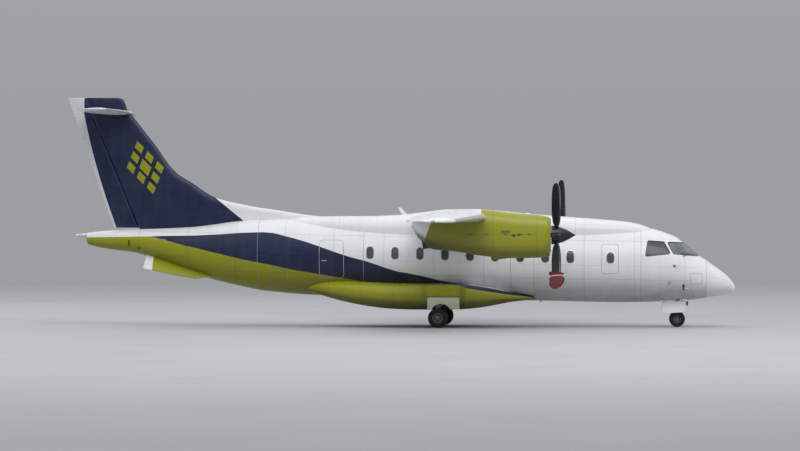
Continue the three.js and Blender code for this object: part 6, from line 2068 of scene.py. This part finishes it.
leg.tube([P(s + 0.16, y - 0.03, 0.46), P(s + 0.16, y + 0.03, 0.46)], 0.015, 12, 2)
for sd in (-1, 1):           # brake packs beside the wheels
    leg.lathe([(0.0485, sd * 0.084), (0.118, sd * 0.084), (0.118, sd * 0.128), (0.0485, sd * 0.128), (0.0485, sd * 0.084)], P(s, y, MAIN_TYRE_R), (0, 1, 0), 32, 3)
    leg.block((X(s) - 0.05, y + min(sd * 0.080, sd * 0.128), MAIN_TYRE_R + 0.085), (X(s) + 0.05, y + max(sd * 0.080, sd * 0.128), MAIN_TYRE_R + 0.140), 3, 0.008)
    leg.tube([P(s - 0.04, y + sd * 0.10, 0.44), P(s - 0.10, y + sd * 0.085, 0.52), P(s - 0.09, y + sd * 0.05, 0.66), P(s - 0.075, y + sd * 0.04, 0.90), P(s - 0.05, y + sd * 0.05, 1.12)], 0.008, 8, 4)
leg.tube([P(s - 0.25, y - 0.14, 1.17), P(s - 0.25, y + 0.14, 1.17)], 0.028, 14, 0)
leg.tube([P(s, y - 0.17, 1.13), P(s, y + 0.17, 1.13)], 0.050, 20, 0)
for dy in (-0.17, 0.17):
    leg.lathe([(0, -0.02), (0.064, -0.02), (0.064, 0.02), (0, 0.02)], P(s, y + dy, 1.13), (0, 1, 0), 20, 2)

# gear door outside the wheels: a pressed panel with an arch, a stiff edge and hinge arms
ARCH = (9.135, 0.415, 0.330)


def arch_panel(y0, y1, inset):
    zt, zb, s0, s1, r = 0.946 - inset, 0.580 + inset * 0.3, 8.563 + inset, 9.556 - inset, ARCH[2] + 0.003 + inset
    pts = [(s0, zb), (s0, zt), (s1, zt), (s1, zb)]
    arc = []
    a0 = math.asin((zb - ARCH[1]) / r)
    for i in range(25):
        a = a0 + (math.pi - 2 * a0) * i / 24
        arc.append((ARCH[0] + r * math.cos(a), ARCH[1] + r * math.sin(a)))
    outline = [(s0, zb)] + [(s0, zt - 0.03), (s0 + 0.03, zt), (s1 - 0.03, zt), (s1, zt - 0.03)] + [(s1, zb)] + arc
    return [[(X(a), yy, b) for a, b in outline] for yy in (y0, y1)]


panel = Geo()
panel.loft(arch_panel(1.938, 1.958, 0.0), 0, False)
arc_tube = []
for i in range(25):
    a0 = math.asin((0.590 - ARCH[1]) / 0.342)
    a = a0 + (math.pi - 2 * a0) * i / 24
    arc_tube.append(P(ARCH[0] + 0.342 * math.cos(a), 1.945, ARCH[1] + 0.342 * math.sin(a)))
panel.tube(arc_tube, 0.009, 8, 0)
for s_ in (8.72, 9.46):
    panel.tube([P(s_, 1.938, 0.84), P(s_, 1.86, 0.90), P(s_, 1.70, 0.96)], 0.012, 8, 1)
    panel.block((X(s_) - 0.035, 1.922, 0.80), (X(s_) + 0.035, 1.940, 0.90), 1, 0.005)
leg_mats = [M_GEAR, M_CHROME, M_ALU, M_ENGINE, M_RUBBER]
for tag, flip in (("left", lambda g: g), ("right", lambda g: g.mirrored())):
    put(flip(leg).object("main_gear_leg_" + tag, leg_mats), "airframe", ["main_leg_" + tag])
    put(flip(panel).object("main_gear_panel_" + tag, [M_CREAM, M_GEAR]), "airframe", ["main_gear_door_" + tag])

# bay ribs and pipes
bay = Geo()
for s_ in (8.80, 9.02, 9.50):
    bay.block((X(s_) - 0.012, 1.225, 1.13), (X(s_) + 0.012, 1.795, 1.198), 0, 0.004)
bay.tube([P(8.64, 1.25, 0.95), P(8.64, 1.25, 1.12), P(8.9, 1.25, 1.16), P(9.55, 1.25, 1.16)], 0.010, 8, 1)
bay.tube([P(8.64, 1.29, 0.95), P(8.64, 1.29, 1.10), P(8.9, 1.29, 1.14), P(9.55, 1.29, 1.15)], 0.007, 8, 2)
for tag, flip in (("left", lambda g: g), ("right", lambda g: g.mirrored())):
    put(flip(bay).object("wheel_bay_fittings_" + tag, [M_GEAR, M_ALU, M_RUBBER]), "airframe")

# nose leg
s = NOSE_WHEEL_S
nl = Geo()
nl.lathe([(0, 0.600), (0.050, 0.600), (0.058, 0.610), (0.058, 0.66), (0.052, 0.67), (0.052, 0.98), (0.060, 0.99), (0.060, 1.06), (0.052, 1.07), (0.052, 1.295), (0, 1.295)], P(s, 0, 0), (0, 0, 1), 28, 0)
nl.tube([P(s, 0, 0.70), P(1.72, 0, 0.92), P(1.56, 0, 1.22)], 0.026, 12, 0)
nl.tube([P(s, -0.14, 1.02), P(s, 0.14, 1.02)], 0.035, 16, 0)
for dy in (-0.14, 0.14):
    nl.lathe([(0, -0.015), (0.048, -0.015), (0.048, 0.015), (0, 0.015)], P(s, dy, 1.02), (0, 1, 0), 18, 2)
nl.tube([P(s - 0.02, 0.05, 0.66), P(s + 0.03, 0.065, 0.74), P(s + 0.02, 0.06, 1.0), P(s + 0.03, 0.05, 1.2)], 0.007, 8, 4)
nl.tube([P(s - 0.03, -0.05, 0.66), P(s - 0.03, -0.065, 0.80), P(s + 0.0, -0.06, 1.0), P(s + 0.02, -0.05, 1.2)], 0.007, 8, 4)
# steering actuators
nl.tube([P(s - 0.075, -0.10, 0.70), P(s - 0.075, 0.10, 0.70)], 0.022, 14, 3)
nl.tube([P(s - 0.075, -0.05, 0.70), P(s - 0.075, 0.05, 0.70)], 0.028, 14, 0)
# taxi lights ahead of the leg
for dy in (-0.085, 0.085):
    nl.lathe([(0, -0.055), (0.030, -0.050), (0.062, -0.015), (0.070, 0.010), (0.070, 0.022), (0.064, 0.024), (0, 0.024)], P(1.50, dy, 0.735), (1, 0, -0.06), 28, 3)
    nl.lathe([(0, 0.018), (0.062, 0.018), (0.050, 0.030), (0.025, 0.036), (0, 0.037)], P(1.50, dy, 0.735), (1, 0, -0.06), 28, 5)
nl.tube([P(1.54, -0.085, 0.735), P(1.54, 0.085, 0.735)], 0.014, 10, 0)
nl.tube([P(1.54, 0, 0.735), P(1.70, 0, 0.78), P(1.78, 0, 0.80)], 0.018, 10, 0)
put(nl.object("nose_gear_leg", leg_mats + [M_CLEAR]), "airframe", ["nose_leg"])

nf = Geo()
nf.lathe([(0, 0.255), (0.036, 0.255), (0.036, 0.555), (0, 0.555)], P(s, 0, 0), (0, 0, 1), 28, 1)
nf.lathe([(0, 0.552), (0.052, 0.552), (0.056, 0.560), (0.056, 0.588), (0.050, 0.592), (0, 0.592)], P(s, 0, 0), (0, 0, 1), 28, 0)
nf.lathe([(0.0355, -0.052), (0.056, -0.052), (0.062, -0.046), (0.062, 0.046), (0.056, 0.052), (0.0355, 0.052), (0.0355, -0.052)], P(s, 0, NOSE_TYRE_R), (0, 1, 0), 32, 0)
nf.lathe([(0, 0.30), (0.046, 0.30), (0.046, 0.345), (0.038, 0.36), (0, 0.36)], P(s, 0, 0), (0, 0, 1), 28, 0)
for dy in (-0.025, 0.025):
    nf.tube([P(s + 0.045, dy, 0.565), P(s + 0.125, dy * 0.5, 0.45)], [0.015, 0.010], 10, 0)
    nf.tube([P(s + 0.125, dy * 0.5, 0.45), P(s + 0.045, dy, 0.32)], [0.010, 0.015], 10, 0)
nf.tube([P(s + 0.125, -0.022, 0.45), P(s + 0.125, 0.022, 0.45)], 0.012, 10, 2)
put(nf.object("nose_gear_fork", leg_mats), "nose_steering", ["nose_fork"])

# nose gear doors: pressed panels with stiffeners and hinge arms
nd = Geo()
ND = dict(s0=1.54, s1=2.30, zt=0.800, zf=0.470, zr=0.415, yt=0.305, yl=0.405, t=0.018)


def nd_ring(s_, zl, ins):
    yt, yl, t = ND["yt"], ND["yl"], ND["t"]
    return [(X(s_), yt, 0.815), (X(s_), yt + t, 0.815), (X(s_), (yt + yl) / 2 + t + 0.004, (ND["zt"] + zl) / 2), (X(s_), yl + t, zl + ins + 0.01), (X(s_), yl + t * 0.5, zl + ins), (X(s_), yl, zl + ins + 0.01), (X(s_), (yt + yl) / 2 + 0.004, (ND["zt"] + zl) / 2)]


zl = lambda s_: ND["zf"] + (ND["zr"] - ND["zf"]) * (s_ - ND["s0"]) / (ND["s1"] - ND["s0"])
nd.loft([nd_ring(s_, zl(s_), ins) for s_, ins in ((1.545, 0.05), (1.56, 0.018), (1.60, 0.0), (1.9, 0.0), (2.24, 0.0), (2.28, 0.018), (2.295, 0.05))], 0)
for s_ in (1.66, 1.92, 2.18):
    nd.tube([P(s_, 0.303, 0.80), P(s_, 0.345, 0.64), P(s_, 0.385, 0.50)], 0.010, 8, 0)
    nd.tube([P(s_, 0.305, 0.79), P(s_, 0.268, 0.84), P(s_, 0.262, 0.90)], 0.009, 8, 1)
for tag, flip in (("left", lambda g: g), ("right", lambda g: g.mirrored())):
    put(flip(nd).object("nose_gear_panel_" + tag, [M_WHITE, M_GEAR]), "airframe", ["nose_gear_door_" + tag])

# nose bay lining in near-black: painted shade of the recess
nb = Geo().block((X(2.36), -0.29, 0.88), (X(1.48), 0.29, 1.32)).object("nose_bay_lining", [M_RECESS_SHADE], None)
boolean(nb, Geo().block((X(2.34), -0.27, 0.5), (X(1.50), 0.27, 1.30)))
put(nb, "airframe")
# main bay covered above by the pod itself
# ============================================================ antennas, probes, lights, wipers
bits = Geo()      # painted white
metal = Geo()


def blade_antenna(g, s0, s1, z0, height, lean, thick=0.018, y=0.0, mat=0):
    """A swept blade standing on the skin between two stations."""
    rings = []
    for k, taper in ((0.0, 1.0), (0.55, 0.80), (0.92, 0.58), (1.0, 0.40)):
        a = s0 + lean * k + (s1 - s0) * (1 - taper) * 0.35
        c_ = (s1 - s0) * taper
        zz = z0 + height * k
        ring = []
        for i in range(16):
            t = 2 * math.pi * i / 16
            ring.append((X(a + c_ * (0.5 - 0.5 * math.cos(t))), y + thick / 2 * taper * math.sin(t) * (1.2 - 0.4 * math.cos(t)), zz))
        rings.append(ring)
    g.loft(rings, mat)


blade_antenna(bits, 10.28, 10.46, 3.50, 0.25, 0.20)
# position receiver domes on the roof
for s_ in (5.6, 6.5):
    bits.lathe([(0.0, -0.01), (0.075, -0.01), (0.075, 0.004), (0.060, 0.018), (0.03, 0.024), (0, 0.025)], P(s_, 0, float(roof.top(s_))), (0.07, 0, 1), 24)
put(bits.object("roof_and_belly_antennas", [M_WHITE]), "airframe")

beacon = Geo()
beacon.lathe([(0, -0.02), (0.036, -0.02), (0.036, 0.008), (0.033, 0.030), (0.022, 0.044), (0, 0.048)], P(11.9, 0, float(roof.top(11.9))), (0, 0, 1), 24)
beacon.lathe([(0, -0.02), (0.034, -0.02), (0.034, 0.006), (0.030, 0.022), (0.020, 0.034), (0, 0.038)], P(6.1, 0, float(fuselage.bottom(root(6.1)))), (0, 0, -1), 24)
put(beacon.object("red_beacons", [M_RED]), "airframe")

# pitot probes, vanes and static plates on the nose
for side in (1, -1):
    for s_, z_, wide_, tall_ in ((1.915, 1.92, 0.045, 0.040), (1.63, 1.26, 0.034, 0.105)):
        p, n = fuselage.point(s_, z_, 1)
        g = Geo()
        q = p + n * 0.09
        g.tube([p - n * 0.01, p + n * 0.06, q + Vector((0.03, 0, 0)), q + Vector((0.16, 0, 0))], [0.014, 0.012, 0.010, 0.006], 12, 0)
        plate_ = lambda f, off_: [tuple(fuselage.point(s_ - f * wide_ * math.cos(2 * math.pi * i / 28), z_ + f * tall_ * math.sin(2 * math.pi * i / 28), 1, off_)[0]) for i in range(28)]
        g.loft([plate_(1.0, -0.004), plate_(1.0, 0.0018), plate_(0.93, 0.0032), plate_(0.65, 0.0034), plate_(0.35, 0.0036), plate_(0.08, 0.0038)], 1)
        metal.extend(g if side > 0 else g.mirrored())
    for s_, z_, d_ in ((2.30, 1.62, 0.030), (2.62, 1.50, 0.026)):
        p, n = fuselage.point(s_, z_, 1)
        g = Geo().lathe([(0, -0.005), (d_, -0.005), (d_, 0.0015), (d_ * 0.85, 0.003), (0, 0.003)], p, n, 24, 2)
        metal.extend(g if side > 0 else g.mirrored())
    p, n = fuselage.point(2.05, 1.40, 1)
    g = Geo().lathe([(0, -0.005), (0.040, -0.005), (0.038, 0.008), (0.014, 0.016), (0, 0.018)], p, n, 20)
    t = Vector((-1, 0, 0))
    g.prism([p + n * 0.012 + Vector((0.02, 0, 0)), p + n * 0.012 + Vector((-0.07, 0, 0.002)), p + n * 0.05 + Vector((-0.075, 0, 0.002)), p + n * 0.05 + Vector((-0.015, 0, 0))], (0, 0, 0.004))
    metal.extend(g if side > 0 else g.mirrored())
# drain masts under the belly
for s_, y_ in ((7.2, 0.0),):
    zb = float(fuselage.bottom(root(s_)))
    metal.tube([P(s_, y_, zb + 0.03), P(s_ + 0.05, y_, zb - 0.06), P(s_ + 0.09, y_, zb - 0.10)], [0.018, 0.014, 0.010], 10, 0)
put(metal.object("probes_and_ports", [M_ALU, M_SEAL, M_WHITE]), "airframe")

# windshield wipers lie along the lower glass edge
wip = Geo()
for side in (1, -1):
    g = Geo()
    ring_at = lambda s_, z_, off: fuselage.point(s_, z_, 1, off)[0]
    arm = [ring_at(1.64, 2.218, 0.01), ring_at(1.57, 2.245, 0.026), ring_at(1.44, 2.274, 0.028)]
    g.tube(arm, 0.008, 8, 0)
    bl = [ring_at(1.27, 2.262, 0.014), ring_at(1.41, 2.274, 0.016), ring_at(1.56, 2.288, 0.016), ring_at(1.72, 2.302, 0.014)]
    g.tube(bl, 0.007, 8, 1)
    g.lathe([(0, -0.01), (0.018, -0.01), (0.018, 0.018), (0, 0.022)], ring_at(1.64, 2.218, 0.0), fuselage.point(1.64, 2.218, 1)[1], 14, 0)
    wip.extend(g if side > 0 else g.mirrored())
put(wip.object("wipers", [M_SEAL, M_RUBBER]), "airframe")

# tail: outlet of the auxiliary power unit, its intake, tail light and static marks
ap = Geo()
ap.lathe([(0.070, -0.26), (0.083, -0.26), (0.084, -0.002), (0.088, 0.012), (0.080, 0.022), (0.072, 0.012), (0.070, -0.26)], P(20.48, 0, 2.775), (-1, 0, 0), 36, 0)
# a near-black disc inside the outlet: painted shade of its depth
ap.lathe([(0, -0.20), (0.071, -0.20), (0.071, -0.19), (0, -0.19)], P(20.48, 0, 2.775), (-1, 0, 0), 24, 1)
put(ap.object("auxiliary_exhaust", [M_EXHAUST, M_RECESS_SHADE]), "airframe")
tl = Geo()
tl.lathe([(0, 0.26), (0.030, 0.27), (0.0315, 0.33), (0.027, 0.365), (0.014, 0.385), (0, 0.390)], P(20.48, 0, 2.885), (-1, 0, -0.01), 24, 0)
tl.lathe([(0, -0.34), (0.030, -0.32), (0.050, -0.16), (0.054, 0.0), (0.048, 0.14), (0.036, 0.262), (0.034, 0.275), (0, 0.275)], P(20.48, 0, 2.885), (-1, 0, -0.01), 24, 1)
put(tl.object("tail_light", [M_CLEAR, M_WHITE]), "airframe")
# near-black pads stand in for the shade inside the vent openings; the grey pads are panel marks
mk = Geo()
on_skin(mk, 19.10, 2.62, 1, 0.055, 0.19, 0.003, 0)
on_skin(mk, 19.10, 2.62, -1, 0.055, 0.19, 0.003, 0)
on_skin(mk, 18.78, 2.46, 1, 0.11, 0.07, 0.003, 0)
on_skin(mk, 18.78, 2.46, -1, 0.11, 0.07, 0.003, 0)
on_skin(mk, 16.9, 2.55, 1, 0.26, 0.20, 0.003, 1)
on_skin(mk, 3.05, 1.15, 1, 0.20, 0.14, 0.002, 1)
put(mk.object("tail_vents", [M_RECESS_SHADE, M_SEAM]), "airframe")

# ============================================================ stage, light
def floor_material():
    k = Mat("studio_floor")
    c_ = k.mix(k.ramp(k.noise(0.25, 4), 0.3, 0.7), (0.415, 0.42, 0.425), (0.445, 0.45, 0.455))
    k.set(Base_Color=c_, Roughness=k.ramp(k.noise(0.7, 4), 0.3, 0.7, 0.62, 0.75))
    k.b.inputs["Specular IOR Level"].default_value = 0.25
    r = k.math("SQRT", k.add(k.mul(k.x, k.x), k.mul(k.y, k.y)))
    far = k.step(r, 30.0, 95.0)
    tr = k.t.nodes.new("ShaderNodeBsdfTransparent")
    mixn = k.t.nodes.new("ShaderNodeMixShader")
    k.t.links.new(far, mixn.inputs[0])
    k.t.links.new(k.b.outputs[0], mixn.inputs[1])
    k.t.links.new(tr.outputs[0], mixn.inputs[2])
    k.t.links.new(mixn.outputs[0], k.out.inputs[0])
    return k.m


fl = Geo()
n_ = 96
rings_ = []
for r_ in (0.5, 12, 30, 50, 70, 100):
    rings_.append([(r_ * math.cos(2 * math.pi * i / n_), r_ * math.sin(2 * math.pi * i / n_), 0.0) for i in range(n_)])
fl.v = []
verts, faces = [], []
for r_ in rings_:
    verts += r_
for q in range(len(rings_) - 1):
    for i in range(n_):
        j = (i + 1) % n_
        faces.append((q * n_ + i, (q + 1) * n_ + i, (q + 1) * n_ + j, q * n_ + j))
faces.append(tuple(range(n_)))
fl.add(verts, faces, 0, True)
floor = fl.object("studio_floor", [floor_material()], None)

world = bpy.data.worlds.new("studio")
bpy.context.scene.world = world
world.use_nodes = True
wt = world.node_tree
wt.nodes.clear()
bg = wt.nodes.new("ShaderNodeBackground")
wo = wt.nodes.new("ShaderNodeOutputWorld")
wt.links.new(bg.outputs[0], wo.inputs[0])
tcw = wt.nodes.new("ShaderNodeTexCoord")
sepw = wt.nodes.new("ShaderNodeSeparateXYZ")
wt.links.new(tcw.outputs["Generated"], sepw.inputs[0])
mr = wt.nodes.new("ShaderNodeMapRange")
mr.inputs[1].default_value, mr.inputs[2].default_value = 0.04, 0.90
wt.links.new(sepw.outputs[2], mr.inputs[0])
mixw = wt.nodes.new("ShaderNodeMix")
mixw.data_type = "RGBA"
mixw.inputs[6].default_value = (0.335, 0.343, 0.356, 1)
mixw.inputs[7].default_value = (1.10, 1.13, 1.18, 1)
wt.links.new(mr.outputs[0], mixw.inputs[0])
wt.links.new(mixw.outputs[2], bg.inputs[0])
bg.inputs[1].default_value = 1.0


def area(name, at, to, size, power, colour=(1, 1, 1)):
    d = bpy.data.lights.new(name, "AREA")
    d.shape, d.size, d.size_y, d.energy, d.color = "RECTANGLE", size[0], size[1], power, colour
    o = bpy.data.objects.new(name, d)
    o.location = at
    o.rotation_euler = (Vector(to) - Vector(at)).to_track_quat("-Z", "Y").to_euler()
    bpy.context.scene.collection.objects.link(o)


area("key_softbox", (14, -30, 34), (0, 0, 2), (30, 22), 6900, (1.0, 0.985, 0.96))
area("fill_softbox", (-30, 16, 22), (0, 0, 3), (26, 18), 1900, (0.94, 0.97, 1.0))
